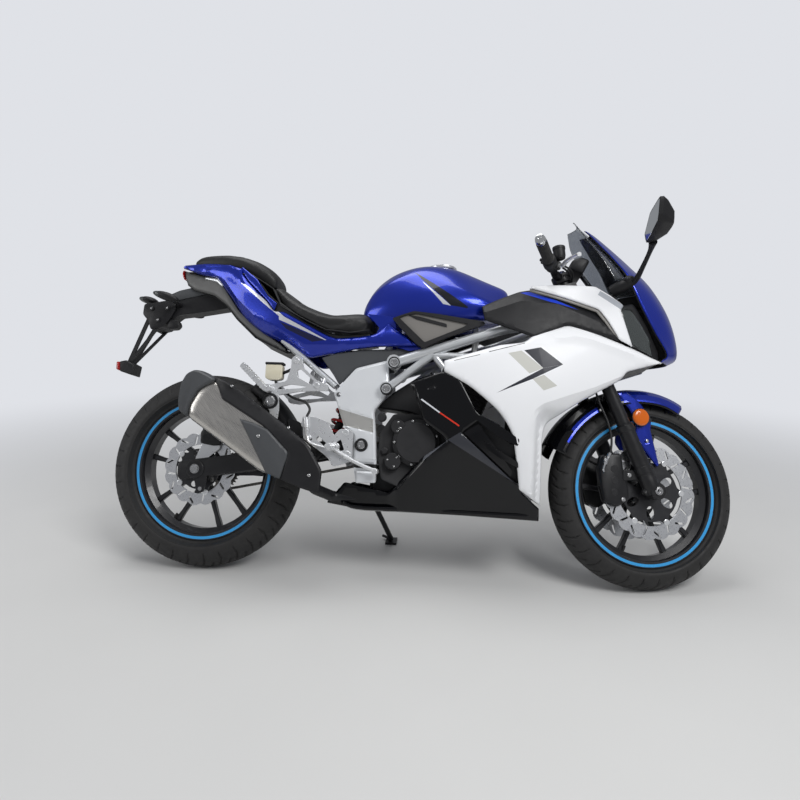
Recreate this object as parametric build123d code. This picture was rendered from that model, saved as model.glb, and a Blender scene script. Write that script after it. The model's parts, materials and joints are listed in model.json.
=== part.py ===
from build123d import *
from math import cos, radians, sin, sqrt, tan
import os

# Sport motorcycle with a full fairing, parked on its side stand.
# Everything is built upright: X forward from the rear axle, Y to the rider's left, Z up, in millimetres.
# The steered pieces are then turned, and the whole machine is leaned onto its stand.

# ---------------------------------------------------------------- driving dimensions
WHEELBASE = 1415.0
TABLE_FRONT_X = 1415.0      # front axle in the tables of points below
STRETCH_FROM = 640.0        # a change of wheelbase is taken up between these two places
STRETCH_TO = 960.0
REAR_AXLE_Z = 305.0
FRONT_AXLE_Z = 290.0
RAKE = 23.0                 # steering axis from vertical
GROUND_OFFSET = 90.0        # steering axis ahead of the front axle at z = 0
LEAN = 17.0                 # parked lean to the left
STEER_REST = 11.8           # parked steering, to the left
STEER_LOCK = 30.0           # each way from straight ahead
RUNNING_GAP = 0.5           # between a turning piece and what carries it
SEAT_GAP = 0.3              # between pieces that are bolted or rest together

REAR_TYRE_R = 319.0
REAR_TYRE_HALF = 74.0
FRONT_TYRE_R = 298.0
FRONT_TYRE_HALF = 57.0
RIM_SEAT_R = 219.0          # outside of the rim barrel, under the tyre's beads
RIM_FLANGE_R = 231.0
RIM_WALL = 9.0
SPOKE_PAIRS = 5
SPOKE_SPREAD = 13.0         # half angle between the two spokes of a pair, degrees
HUB_R = 34.0

LEG_SPACING = 98.0          # fork leg from the centre plane
LEG_LEAD = 23.0             # fork leg ahead of the steering axis
STANCHION_R = 20.0
SLIDER_R = 24.0
FORK_TOP_W = 1040.0         # along the steering axis, from its ground point
HEAD_TUBE_W = 890.0         # middle of the head tube
HEAD_TUBE_HALF = 80.0
LOWER_CLAMP_THICK = 24.0
UPPER_CLAMP_THICK = 20.0
CLAMP_FIT = 0.05            # stanchion to what is clamped on it
CLAMP_GAP = 4.0             # head tube to clamp, where the bearing seals are
SLIDER_TOP_W = 520.0
STEM_R = 18.0
AXLE_R = 8.0

FRONT_DISC_R = 147.0
FRONT_DISC_Y = 64.0
REAR_DISC_R = 118.0
REAR_DISC_Y = 78.0
DISC_THICK = 5.0
LOBE_R = 12.0               # the scallops round a disc's rim
LOBE_OUT = 6.0              # their centres outside the rim
CARRIER_ARMS = 5

PIVOT = (535.0, 401.0)      # swingarm pivot, x and z
ARM_RIGHT_Y = 118.0         # outer faces of the two arms
ARM_LEFT_Y = 126.0
SPOOL_HOLE = (92.0, 326.0)  # threaded M8 holes for a paddock stand's spools
SPOOL_HOLE_R = 3.4
SPOOL_DEPTH = 16.0
SPROCKET_Y = 88.0
SPROCKET_R = 78.0
DRIVE_SPROCKET = (615.0, 395.0)
DRIVE_SPROCKET_R = 34.0
CHAIN_WIDE = 16.0
CHAIN_DEEP = 11.0
CHAIN_GAP = 0.8             # from a sprocket's rim to the band that stands for the chain

PANEL_WALL = 4.0

STAND_PIVOT = (545.0, 122.0, 222.0)
STAND_FOOT_XY = (605.0, 262.0)
STAND_FOLD = (-0.97, 0.20, -0.14)   # where the folded leg points

# ---------------------------------------------------------------- frames
HEAD_POINT = Vector(WHEELBASE + GROUND_OFFSET, 0, 0)
HEAD_UP = Vector(-sin(radians(RAKE)), 0, cos(radians(RAKE)))
HEAD_AHEAD = Vector(cos(radians(RAKE)), 0, sin(radians(RAKE)))
STEER_PLANE = Plane(origin=HEAD_POINT, x_dir=HEAD_AHEAD, z_dir=HEAD_UP)
STEER_AXIS = Axis(HEAD_POINT, HEAD_UP)
REAR_AXLE = Vector(0, 0, REAR_AXLE_Z)
FRONT_AXLE = Vector(WHEELBASE, 0, FRONT_AXLE_Z)
AXLE_U = (FRONT_AXLE - HEAD_POINT).dot(HEAD_AHEAD)
AXLE_W = (FRONT_AXLE - HEAD_POINT).dot(HEAD_UP)


def moved(location, point):
    """A point carried by a location."""
    return (location * Location(Vector(*point))).position


def turned(location, direction):
    """A direction carried by a location."""
    return moved(location, direction) - moved(location, (0, 0, 0))


def about(axis, angle):
    """The location that turns things about an axis, by an angle in degrees."""
    here = Location(axis.position)
    turn = Plane(origin=(0, 0, 0), z_dir=axis.direction).location
    return here * turn * Location((0, 0, 0), (0, 0, angle)) * turn.inverse() * here.inverse()


STEER_TURN = about(STEER_AXIS, STEER_REST)


def lowest(carry, centre, outer_r, half_width):
    """Lowest point of a round-crowned tyre whose axle was along Y, once carried."""
    axle = turned(carry, (0, 1, 0))
    ring = outer_r - half_width
    return moved(carry, centre).Z - ring * sqrt(1 - axle.Z ** 2) - half_width


def leaned(pitch):
    """Lean about the line through the tyres, then pitch about Y."""
    return Location((0, 0, 0), (0, pitch, 0)) * Location((0, 0, 0), (-LEAN, 0, 0))


def parked():
    """The location that sets both tyres on the floor, found by stepping the pitch."""
    low, high = -5.0, 5.0
    for _ in range(50):
        pitch = (low + high) / 2
        carry = leaned(pitch)
        rear = lowest(carry, REAR_AXLE, REAR_TYRE_R, REAR_TYRE_HALF)
        front = lowest(carry * STEER_TURN, FRONT_AXLE, FRONT_TYRE_R, FRONT_TYRE_HALF)
        if front < rear:
            high = pitch
        else:
            low = pitch
    return Location((0, 0, -rear)) * leaned(pitch)


PARK = parked()


# ---------------------------------------------------------------- shape helpers
def along(x):
    """Where a tabled x lies once the wheelbase is set: the rear half stays, the front half goes with the fork."""
    share = min(max((x - STRETCH_FROM) / (STRETCH_TO - STRETCH_FROM), 0.0), 1.0)
    return x + share * (WHEELBASE - TABLE_FRONT_X)


def at(point):
    """A tabled point, with its x set along the machine."""
    x, y, z = point
    return Vector(along(x), y, z)


def rod(start, end, radius):
    """A round bar between two points."""
    start, end = at(start), at(end)
    return Solid.make_cylinder(radius, (end - start).length, Plane(origin=start, z_dir=end - start))


def disc_y(x, z, radius, y_low, y_high):
    """A round slab whose axis is along Y."""
    return rod((x, y_low, z), (x, y_high, z), radius)


def bent_tube(points, bend, radius):
    """A round tube along straight runs with equal bends."""
    points = [at(p) for p in points]
    path = FilletPolyline(*points, radius=bend)
    return sweep(Plane(origin=points[0], z_dir=points[1] - points[0]) * Circle(radius), path=path)


def block(x_span, y_span, z_span):
    """A box from its spans."""
    x_span = [along(x) for x in x_span]
    size = [span[1] - span[0] for span in (x_span, y_span, z_span)]
    centre = [(span[1] + span[0]) / 2 for span in (x_span, y_span, z_span)]
    return Pos(*centre) * Box(*size)


def ring_wire(points):
    return Wire.make_polygon([at(p) for p in points], close=True)


def inset(points, depth):
    """A closed outline moved inwards (outwards if depth is negative), with mitred corners."""
    area = sum(a[0] * b[1] - b[0] * a[1] for a, b in zip(points, points[1:] + points[:1]))
    sign = 1 if area > 0 else -1
    result = []
    for before, here, after in zip(points[-1:] + points[:-1], points, points[1:] + points[:1]):
        one = (Vector(*here) - Vector(*before)).normalized()
        two = (Vector(*after) - Vector(*here)).normalized()
        middle = Vector(-(one.Y + two.Y), one.X + two.X) * sign
        middle = middle.normalized()
        side = Vector(-one.Y, one.X) * sign
        step = depth / max(middle.dot(side), 0.5)
        result.append((here[0] + middle.X * step, here[1] + middle.Y * step))
    return result


def prism(outline, y_low, y_high):
    """A side-view outline of (x, z) points, given a width."""
    face = Face(ring_wire([(x, y_low, z) for x, z in outline]))
    return Solid.extrude(face, Vector(0, y_high - y_low, 0))


def pillow(outline, levels):
    """A side-view outline lofted through (y, inset) levels."""
    wires = [ring_wire([(x, y, z) for x, z in inset(outline, depth)]) for y, depth in levels]
    return Solid.make_loft(wires, ruled=True)


def loft_x(stations):
    """A loft through cross-sections, each an x and a list of (y, z) points."""
    wires = [ring_wire([(x, y, z) for y, z in section]) for x, section in stations]
    return Solid.make_loft(wires, ruled=True)


def both(shape):
    """The same pieces on both sides of the machine."""
    solids = list(shape.solids())
    return Compound(solids + [s.mirror(Plane.XZ) for s in solids])


def joined(*shapes):
    """Shapes fused into one."""
    result = shapes[0]
    for shape in shapes[1:]:
        result = result + shape
    return result


def ring_y(centre, y_low, y_high, outer, inner):
    x, z = centre
    return disc_y(x, z, outer, y_low, y_high) - disc_y(x, z, inner, y_low - 1, y_high + 1)


# ---------------------------------------------------------------- wheels
def tyre(axle, outer_r, half):
    """Round crown, flat sidewalls and beads that seat on the rim."""
    crown_centre = outer_r - half
    bead_half = half * 0.62
    bead_r = RIM_SEAT_R + SEAT_GAP
    corner = crown_centre + half * cos(radians(80))
    side = half * sin(radians(80))
    wall = 8.0
    lip_r = RIM_FLANGE_R + 1
    outer = Polyline((bead_half, bead_r), (bead_half, lip_r), (bead_half + 7, lip_r + 6), (side, corner))
    crown = ThreePointArc((side, corner), (0, outer_r), (-side, corner))
    other = Polyline((-side, corner), (-bead_half - 7, lip_r + 6), (-bead_half, lip_r), (-bead_half, bead_r))
    inner = Polyline(
        (-bead_half, bead_r),
        (-bead_half + wall, bead_r),
        (-side + wall, corner),
        (-side * 0.7, outer_r - half * 0.35 - wall),
        (0, outer_r - wall - 3),
        (side * 0.7, outer_r - half * 0.35 - wall),
        (side - wall, corner),
        (bead_half - wall, bead_r),
        (bead_half, bead_r),
    )
    face = make_face([*outer.edges(), crown, *other.edges(), *inner.edges()])
    section = Plane(origin=axle, x_dir=(0, 1, 0), z_dir=(1, 0, 0)) * face
    return revolve(section, Axis(axle, (0, 1, 0)))


def rim(axle, half, hub_half, bore_r):
    """Barrel with flanges, a hub, and pairs of spokes."""
    bead_half = half * 0.62
    lip = bead_half + 5
    inner_r = RIM_SEAT_R - RIM_WALL
    well = 16.0
    profile = [
        (-lip, inner_r), (-lip, RIM_FLANGE_R), (-bead_half - SEAT_GAP, RIM_FLANGE_R),
        (-bead_half - SEAT_GAP, RIM_SEAT_R), (-half * 0.3, RIM_SEAT_R), (-half * 0.2, RIM_SEAT_R - well),
        (half * 0.2, RIM_SEAT_R - well), (half * 0.3, RIM_SEAT_R), (bead_half + SEAT_GAP, RIM_SEAT_R),
        (bead_half + SEAT_GAP, RIM_FLANGE_R), (lip, RIM_FLANGE_R), (lip, inner_r),
        (half * 0.35, inner_r), (half * 0.25, inner_r - well), (-half * 0.25, inner_r - well),
        (-half * 0.35, inner_r),
    ]
    face = Face(ring_wire([(0, y, r) for y, r in profile]))
    barrel = revolve(face, Axis((0, 0, 0), (0, 1, 0)))
    hub = disc_y(0, 0, HUB_R, -hub_half, hub_half)
    wheel = barrel + hub
    reach = inner_r - well + 3
    for pair in range(SPOKE_PAIRS):
        for side in (-1, 1):
            angle = 90 + pair * 360 / SPOKE_PAIRS + side * SPOKE_SPREAD
            spoke = Solid.make_loft([
                ring_wire([(y, w, HUB_R - 6) for y, w in ((-13, -9), (13, -9), (13, 9), (-13, 9))]),
                ring_wire([(y, w, reach) for y, w in ((-9, -6), (9, -6), (9, 6), (-9, 6))]),
            ], ruled=True)
            # the spoke leans so that a pair starts together at the hub
            spoke = Rot(0, 0, 90) * spoke
            wheel = wheel + Rot(0, angle, 0) * spoke
    return Pos(*axle) * (wheel - disc_y(0, 0, bore_r, -hub_half - 1, hub_half + 1))


def wavy_disc(axle, y, radius, inner, carrier_r, bore_r, lobes):
    """Brake disc with a scalloped rim, slots and a carrier."""
    low, high = y - DISC_THICK / 2, y + DISC_THICK / 2
    plate = disc_y(0, 0, radius, low, high)
    for lobe in range(lobes):
        turn = radians(lobe * 360 / lobes)
        bite = radius + LOBE_OUT
        plate = plate - disc_y(bite * cos(turn), bite * sin(turn), LOBE_R, low - 1, high + 1)
    plate = plate - disc_y(0, 0, inner, low - 1, high + 1)
    carrier = disc_y(0, 0, carrier_r, low, high)
    for arm in range(CARRIER_ARMS):
        turn = radians((arm + 0.5) * 360 / CARRIER_ARMS)
        reach = 0.55 * inner
        carrier = carrier - disc_y(reach * cos(turn) + 8, reach * sin(turn), inner * 0.17, low - 1, high + 1)
    return Pos(*axle) * (plate + carrier - disc_y(0, 0, bore_r, low - 1, high + 1))


# ---------------------------------------------------------------- fairing surface
# Half width of the machine's skin at six heights, from nose to tail.
HULL_LEVELS = (930, 820, 700, 560, 430, 200)
#        x     z930 z820 z700 z560 z430 z200
HULL = (
    (420, 110, 128, 132, 132, 128, 92),
    (620, 120, 146, 160, 164, 156, 108),
    (760, 130, 165, 192, 200, 190, 122),
    (900, 160, 178, 208, 218, 205, 132),
    (1010, 172, 188, 212, 224, 210, 140),
    (1100, 172, 186, 208, 216, 198, 146),
    (1220, 152, 170, 186, 188, 170, 130),
    (1340, 112, 138, 152, 150, 130, 110),
    (1460, 60, 86, 104, 102, 90, 80),
)


def skin(depth, wall):
    """A sheet that follows the left half width, starting depth inside it."""
    stations = []
    for x, *halves in HULL:
        outer = [(half - depth, z) for half, z in zip(halves, HULL_LEVELS)]
        stations.append((x, outer + [(y - wall, z) for y, z in reversed(outer)]))
    return loft_x(stations)


def panel(outline, depth=0.0, wall=PANEL_WALL):
    """Left and right body panels: the skin inside a side-view outline."""
    return both(skin(depth, wall) & prism(outline, 10, 300))


# ---------------------------------------------------------------- body panels
def side_fairings():
    return panel([
        (1428, 686), (1331, 652), (1087, 487), (1070, 445), (1072, 240), (1015, 286), (1008, 340),
        (990, 451), (949, 512), (861, 586), (782, 630), (781, 664), (947, 715), (1042, 745),
        (1150, 793), (1302, 745), (1354, 725),
    ])


def upper_fairing():
    return panel([(1040, 908), (1241, 921), (1330, 868), (1318, 846), (1352, 730), (1308, 750), (1247, 842), (1040, 900)])


def intake_covers():
    return panel([(891, 845), (1004, 896), (1040, 904), (1250, 846), (1312, 744), (1151, 786), (1050, 740), (900, 796)],
                 depth=PANEL_WALL + SEAT_GAP)


def headlamps():
    return panel([(1326, 856), (1352, 858), (1416, 752), (1418, 708), (1344, 736), (1310, 844)],
                 depth=PANEL_WALL + SEAT_GAP, wall=24.0)


def bow(levels, wall):
    """A sheet that wraps round the front: z, front x, mid x and y, side x and y at each level."""
    wires = []
    for z, front, mid_x, mid_y, side_x, side_y in levels:
        outer = [(side_x, -side_y), (mid_x, -mid_y), (front, 0), (mid_x, mid_y), (side_x, side_y)]
        inner = [(side_x, side_y - wall), (mid_x - wall, mid_y - wall), (front - wall * 1.3, 0),
                 (mid_x - wall, -mid_y + wall), (side_x, -side_y + wall)]
        wires.append(ring_wire([(x, y, z) for x, y in outer + inner]))
    return Solid.make_loft(wires, ruled=True)


def nose_cowl():
    return bow((
        (700, 1500, 1492, 40, 1462, 72),
        (725, 1531, 1515, 45, 1480, 78),
        (790, 1527, 1500, 56, 1440, 92),
        (873, 1500, 1462, 62, 1392, 104),
        (962, 1448, 1408, 60, 1352, 108),
        (1032, 1382, 1352, 40, 1322, 70),
        (1128, 1274, 1258, 18, 1246, 30),
    ), PANEL_WALL)


def windscreen():
    return bow((
        (950, 1447, 1368, 88, 1304, 122),
        (1032, 1375.5, 1318, 64, 1262, 112),
        (1110, 1287, 1254, 40, 1212, 92),
        (1165, 1214, 1206, 30, 1192, 50),
    ), PANEL_WALL)


def instruments():
    """Dash behind the screen with the stay that carries it, the nose and the mirrors."""
    dash = pillow([(1180, 1000), (1215, 1040), (1238, 1030), (1215, 985)], ((-75, 6), (-68, 0), (68, 0), (75, 6)))
    stay = joined(
        rod((1190, 0, 850), (1300, 0, 900), 9),
        rod((1300, 0, 900), (1218, 0, 1012), 8),
        rod((1322, -98, 924), (1322, 98, 924), 7),
        rod((1300, 0, 900), (1492, 0, 880), 8),
        rod((1322, 0, 900), (1322, 0, 924), 7),
        rod((1390, 0, 888), (1390, 0, 800), 7),
        rod((1390, -97, 800), (1390, 97, 800), 7),
    )
    return joined(dash, stay)


def lower_fairing():
    side = skin(PANEL_WALL + SEAT_GAP, PANEL_WALL) & prism([
        (675, 598), (779, 629), (838, 585), (885, 505), (1005, 420), (1018, 347), (1028, 270), (1066, 238),
        (1066, 203), (560, 203), (440, 258), (467, 283), (631, 270), (726, 364), (798, 420), (781, 438),
    ], 10, 300)
    fins = [
        prism([(880, 512), (1006, 420), (1002, 405), (950, 440)], 190, 200),
        prism([(925, 432), (1016, 366), (1014, 350), (935, 410)], 190, 200),
    ]
    floor = loft_x([(x, [(-half, 200), (half, 200), (half, 204), (-half, 204)])
                    for x, half in ((520, 93), (760, 115), (1066, 137))])
    whole = both(side)
    notch = block((500, 595), (56, 220), (190, 262))
    return joined(*[s for s in whole.solids()], floor) - notch


def loop_section(half_low, half_high, low, shoulder, top):
    """A cross-section with a flat base and a crowned top."""
    return [(-half_low, low), (half_low, low), (half_high, shoulder), (half_high * 0.62, top - (top - shoulder) * 0.22),
            (0, top), (-half_high * 0.62, top - (top - shoulder) * 0.22), (-half_high, shoulder)]


CAP = (762.0, 1019.0)       # filler cap, x and the z of its top
CAP_R = 48.0
CAP_DEEP = 16.0
# x, half width at the base, at the shoulder, base z, shoulder z, top z
TANK = (
    (506, 70, 78, 806, 832, 862),
    (564, 100, 112, 800, 872, 952),
    (640, 128, 142, 806, 890, 1000),
    (729, 140, 154, 806, 894, 1020),
    (820, 140, 152, 806, 886, 1008),
    (905, 118, 132, 812, 872, 972),
    (983, 80, 96, 826, 870, 942),
)


def fuel_tank():
    shape = loft_x([(x, loop_section(low, high, base, shoulder, top)) for x, low, high, base, shoulder, top in TANK])
    x, z = CAP
    return shape - rod((x, 0, z - CAP_DEEP - SEAT_GAP), (x, 0, z + CAP_DEEP), CAP_R + SEAT_GAP)


def tank_cap():
    x, z = CAP
    return rod((x, 0, z - CAP_DEEP), (x, 0, z), CAP_R)


def tank_side_panels():
    return both(pillow([(612, 800), (640, 812), (900, 799), (902, 790), (716, 722)],
                       ((138, 0), (148, 0), (155, 9))))


# x, half base, half shoulder, base z, shoulder z, top z
RIDER_SEAT = (
    (214, 80, 86, 906, 914, 923),
    (246, 92, 98, 846, 868, 902),
    (330, 118, 124, 800, 824, 858),
    (400, 126, 134, 768, 800, 842),
    (480, 116, 126, 760, 800, 848),
    (545, 88, 96, 770, 796, 832),
)
PILLION_SEAT = (
    (-92, 38, 48, 986, 1012, 1038),
    (0, 66, 86, 970, 1010, 1046),
    (90, 80, 96, 964, 1000, 1040),
    (160, 78, 90, 940, 976, 1012),
    (214, 60, 66, 906, 938, 962),
)


def cushion(table):
    return loft_x([(x, loop_section(low, high, base, shoulder, top)) for x, low, high, base, shoulder, top in table])


# the deck that both seats rest on: x, half width, z
SEAT_DECK = (
    (-112, 43, 980.0), (0, 80, 969.7), (90, 100, 963.7), (160, 112, 939.7), (214, 120, 905.7), (246, 124, 845.7),
    (330, 134, 799.7), (400, 140, 767.7), (480, 142, 759.7), (540, 142, 769.0),
)
TAIL_LEVELS = (1000, 900, 800, 700)
#        x    z1000 z900 z800 z700
TAIL_HULL = (
    (-130, 44, 40, 40, 40),
    (0, 84, 76, 60, 60),
    (100, 104, 110, 92, 80),
    (250, 122, 136, 134, 112),
    (400, 128, 140, 146, 132),
    (560, 128, 140, 150, 140),
    (700, 128, 140, 156, 150),
)


def tail_fairing():
    stations = []
    for x, *halves in TAIL_HULL:
        outer = [(half, z) for half, z in zip(halves, TAIL_LEVELS)]
        stations.append((x, outer + [(y - PANEL_WALL, z) for y, z in reversed(outer)]))
    outline = [
        (-109, 986), (67, 959), (94, 967), (160, 940), (232, 905), (262, 838), (420, 757), (520, 762), (560, 790),
        (600, 788), (700, 720), (560, 712), (430, 694), (342, 672), (225, 738), (77, 876), (-4, 912),
    ]
    sides = both(loft_x(stations) & prism(outline, 10, 300))
    deck = loft_x([(x, [(-half, z - 4), (half, z - 4), (half, z), (-half, z)]) for x, half, z in SEAT_DECK])
    return joined(*sides.solids(), deck)


def tail_undertray():
    outline = [(-118, 972), (-4, 893), (62, 841), (250, 700), (300, 700), (120, 850), (40, 925), (-20, 953), (-90, 972)]
    return prism(outline, -34, 34)


def rear_lamps():
    tail = prism([(-130, 990), (-122, 974), (-98, 978), (-104, 1002)], -38, 38)
    x, z = -128.0, 838.0
    stalk = joined(rod((x, 34.5, z), (x, 90, z - 6), 6), pillow(
        [(x - 26, z - 12), (x - 20, z + 12), (x + 22, z + 14), (x + 28, z - 8)], ((88, 4), (96, 0), (120, 0), (128, 6))))
    return Compound([tail] + list(both(stalk).solids()))


def plate_bracket():
    arm = pillow([(20, 896), (-6, 890), (-226, 862), (-236, 878), (-180, 892), (0, 912)], ((-26, 4), (-20, 0), (20, 0), (26, 4)))
    arm = arm & block((-300, -2), (-40, 40), (800, 940))
    cross = block((-150, -106), (-34, 34), (826, 850))
    web = rod((-128, 0, 845), (-120, 0, 880), 10)
    struts = [rod((x, y, 868), (-300, y * 1.4, 640), 5) for x in (-212, -222) for y in (-16, 16)]
    foot = pillow([(-351, 650), (-345, 664), (-300, 640), (-303, 618)], ((-70, 3), (-66, 0), (66, 0), (70, 3)))
    return joined(arm, cross, web, *struts, foot)


# ---------------------------------------------------------------- frame and engine
def main_frame():
    upper = [(624, 132, 664), (968, 134, 781), (1128, 30, 828)]
    lower = [(604, 132, 580), (745, 133, 694)]
    side = joined(
        bent_tube(upper, 60, 16),
        rod(lower[0], lower[1], 13),
        rod((745, 133, 690), (905, 128, 690), 11),
        rod((905, 128, 690), (1140, 30, 790), 11),
        rod((745, 133, 695), (790, 126, 640), 11),
        disc_y(624, 664, 22, 112, 152),
        disc_y(603, 580, 20, 112, 152),
        disc_y(790, 640, 17, 112, 138),
    )
    middle = STEER_PLANE * Pos(0, 0, HEAD_TUBE_W)
    head = middle * Cylinder(STEM_R + 12, 2 * HEAD_TUBE_HALF)
    bore = middle * Cylinder(STEM_R + RUNNING_GAP, 2 * HEAD_TUBE_HALF + 20)
    rests = [rod((880, -133, 752), (880, 133, 752), 10)]
    rests += [rod((880, y, 752), (880, y, 825), 8) for y in (-60, 60)]
    return joined(side, side.mirror(Plane.XZ), head, rod((1120, -40, 830), (1120, 40, 830), 14), *rests) - bore


def pivot_plates():
    outline = [
        (437, 568), (503, 643), (604, 676), (600, 640), (585, 575), (566, 512), (580, 420), (580, 290), (520, 285),
        (508, 350), (478, 457), (437, 514),
    ]
    plate = pillow(outline, ((102, 0), (126, 0), (131, 6)))
    plate = plate - disc_y(PIVOT[0], PIVOT[1], 9 + SEAT_GAP, 90, 140)
    plate = plate - disc_y(452, 556, 8, 90, 140)
    cross = [rod((x, -103, z), (x, 103, z), 12) for x, z in ((490, 600), (545, 300))]
    return joined(plate, plate.mirror(Plane.XZ), *cross)


def swingarm():
    arm = prism([(-62, 322), (-58, 274), (180, 312), (500, 374), (552, 380), (556, 420), (500, 428), (180, 368)], 92, 98)
    right = prism([(-62, 322), (-58, 274), (180, 312), (500, 374), (552, 380), (556, 420), (500, 428), (180, 368)],
                  -101.5, -92)
    right = right + prism([(-62, 322), (-58, 274), (180, 312), (400, 354), (400, 410), (180, 368)], -ARM_RIGHT_Y, -92)
    left = prism([(-62, 322), (-58, 274), (180, 312), (400, 354), (400, 410), (180, 368)], 100, ARM_LEFT_Y)
    left = left + prism([(380, 350), (500, 374), (552, 380), (556, 418), (500, 414), (380, 406)], 98.5, 101.5)
    barrel = disc_y(PIVOT[0], PIVOT[1], 18, -93, 99)
    bridge = rod((395, -93, 385), (395, 74, 385), 16)
    axle = disc_y(0, REAR_AXLE_Z, AXLE_R, -126, 134)
    nut = joined(disc_y(0, REAR_AXLE_Z, 15, -128, -118), disc_y(0, REAR_AXLE_Z, 15, 126, 136))
    pin = disc_y(PIVOT[0], PIVOT[1], 9, -138, 138)
    whole = joined(right, left, barrel, bridge, axle, nut, pin)
    x, z = SPOOL_HOLE
    for face, side in ((-ARM_RIGHT_Y, -1), (ARM_LEFT_Y, 1)):
        whole = whole - disc_y(x, z, SPOOL_HOLE_R, min(face, face - side * SPOOL_DEPTH), max(face, face - side * SPOOL_DEPTH))
    return whole


def shock():
    low, high = (402, 0, 388), (488, 0, 596)
    body = rod(low, high, 14)
    line = Vector(*high) - Vector(*low)
    coils = [rod(Vector(*low) + line * t, Vector(*low) + line * (t + 0.045), 30) for t in (0.22, 0.33, 0.44, 0.55, 0.66, 0.77)]
    return joined(body, *coils)


def engine():
    """Crankcase with its covers, and a cylinder that leans forward."""
    case = pillow([(588, 360), (600, 300), (700, 262), (850, 262), (890, 330), (870, 440), (760, 500), (630, 500), (590, 440)],
                  ((-112, 14), (-98, 0), (98, 0), (112, 14)))
    cylinder = pillow([(740, 470), (862, 430), (930, 580), (808, 640)], ((-92, 8), (-84, 0), (84, 0), (92, 8)))
    head = pillow([(806, 630), (932, 576), (962, 650), (836, 706)], ((-104, 8), (-96, 0), (96, 0), (104, 8)))
    covers = joined(
        disc_y(703, 414, 72, -134, -100), disc_y(703, 414, 60, -150, -100), disc_y(633, 355, 24, -140, -100),
        disc_y(645, 462, 20, -138, -100), disc_y(703, 414, 66, 104, 150),
    )
    mounts = joined(disc_y(590, 455, 14, -101.7, 75), disc_y(790, 640, 10, -111.7, 111.7),
                    prism([(776, 640), (790, 654), (814, 640), (800, 615)], -60, 60))
    block_ = joined(case, cylinder, head, covers, mounts) - block((540, 668), (76, 100), (340, 452))
    x, z = DRIVE_SPROCKET
    drive = joined(disc_y(x, z, 12, 70, SPROCKET_Y), disc_y(x, z, DRIVE_SPROCKET_R, SPROCKET_Y - 3, SPROCKET_Y + 3))
    return joined(block_, drive)


def radiator():
    core = block((1034, 1060), (-128, 128), (448, 690))
    tanks = [block((1030, 1064), (y, y + 22), (440, 698)) for y in (-150, 128)]
    hangers = [rod((1046, y, 690), (1043, y, 742), 6) for y in (-71.5, 71.5)]
    stays = [rod((1047, side * 140, 640), (1047, side * 213, 640), 6) for side in (-1, 1)]
    return joined(core, *tanks, *hangers, *stays)


def exhaust_pipe():
    return bent_tube([(948, -30, 600), (1000, -34, 520), (985, -40, 300), (900, -50, 234), (600, -62, 230),
                      (440, -66, 236), (392, -150, 262), (362, -184, 372)], 30, 17)


def muffler_body():
    return pillow([(74, 582), (-6, 465), (246, 300), (330, 300), (388, 380), (372, 398)],
                  ((-136, 22), (-150, 4), (-160, 0), (-206, 0), (-218, 8)))


def muffler_end_cap():
    return pillow([(14, 608), (-38, 541), (-35, 478), (-8, 466), (72, 583)],
                  ((-134, 20), (-150, 3), (-160, -3), (-206, -3), (-222, 10)))


def muffler_shield():
    return pillow([(86, 582), (378, 400), (430, 308), (417, 242), (246, 296), (165, 462)],
                  ((-218.5, 0), (-232, 6)))


def subframe():
    rail = bent_tube([(600, 96, 742), (420, 104, 724), (240, 84, 760), (40, 44.5, 905)], 60, 10)
    brace = joined(rod((253, 98, 733), (438, 112, 584), 10), rod((240, 84, 760), (256, 98, 730), 10))
    riser = rod((600, 96, 742), (612, 112, 672), 10)
    side = joined(rail, brace, riser)
    post = joined(rod((420, 104, 724), (420, 104, 764), 7), rod((120, 60, 847), (120, 60, 950), 7))
    side = joined(side, post)
    cross = [rod((x, -y, z), (x, y, z), 8) for x, y, z in ((420, 104, 724), (240, 84, 760))]
    return joined(side, side.mirror(Plane.XZ), *cross)


def rider_footrests():
    plate = pillow([(346, 480), (437, 456), (492, 442), (500, 356), (470, 350), (430, 384)], ((134, 0), (142, 0), (146, 4)))
    post = joined(disc_y(484, 430, 8, 131, 136), disc_y(490, 372, 8, 131, 136))
    peg = joined(rod((455, 140, 392), (448, 228, 388), 11))
    left = joined(plate, post, peg, rod((440, 150, 384), (590, 156, 372), 6), rod((590, 150, 372), (590, 192, 372), 8))
    right = joined(plate, post, peg, rod((440, 150, 384), (585, 158, 320), 6), rod((585, 150, 320), (585, 190, 320), 9))
    return Compound(list(left.solids()) + [s.mirror(Plane.XZ) for s in right.solids()])


def passenger_footrests():
    bracket = pillow([(308, 665), (223, 571), (232, 560), (412, 566), (416, 582), (330, 668)], ((126, 0), (134, 0), (138, 4)))
    bracket = bracket - prism([(305, 630), (262, 584), (350, 584)], 120, 150)
    bosses = joined(rod((322, 103, 678), (316, 130, 655), 7), rod((404, 110, 612), (398, 130, 576), 7))
    peg = joined(rod((232, 130, 572), (232, 176, 568), 9), rod((228, 170, 560), (154, 192, 632), 11))
    hanger = prism([(238, 572), (264, 572), (262, 452), (244, 452)], -144, -137)
    side = joined(bracket, bosses, peg)
    return Compound(list(side.solids()) + list(joined(side.mirror(Plane.XZ), hanger).solids()))


def mirrors():
    stem = rod((1330, 112, 930), (1352, 296, 1002), 8)
    base = rod((1322, 92, 922), (1336, 122, 934), 15)
    back = Solid.make_loft([
        ring_wire([(1342, y, z) for y, z in ((286, 1016), (296, 968), (410, 1008), (432, 1106), (346, 1092))]),
        ring_wire([(1352, y, z) for y, z in ((282, 1018), (292, 964), (414, 1006), (437, 1110), (342, 1096))]),
        ring_wire([(1388, y, z) for y, z in ((318, 1022), (322, 990), (392, 1018), (402, 1080), (350, 1072))]),
    ], ruled=True)
    return both(joined(stem, base, back))


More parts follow.
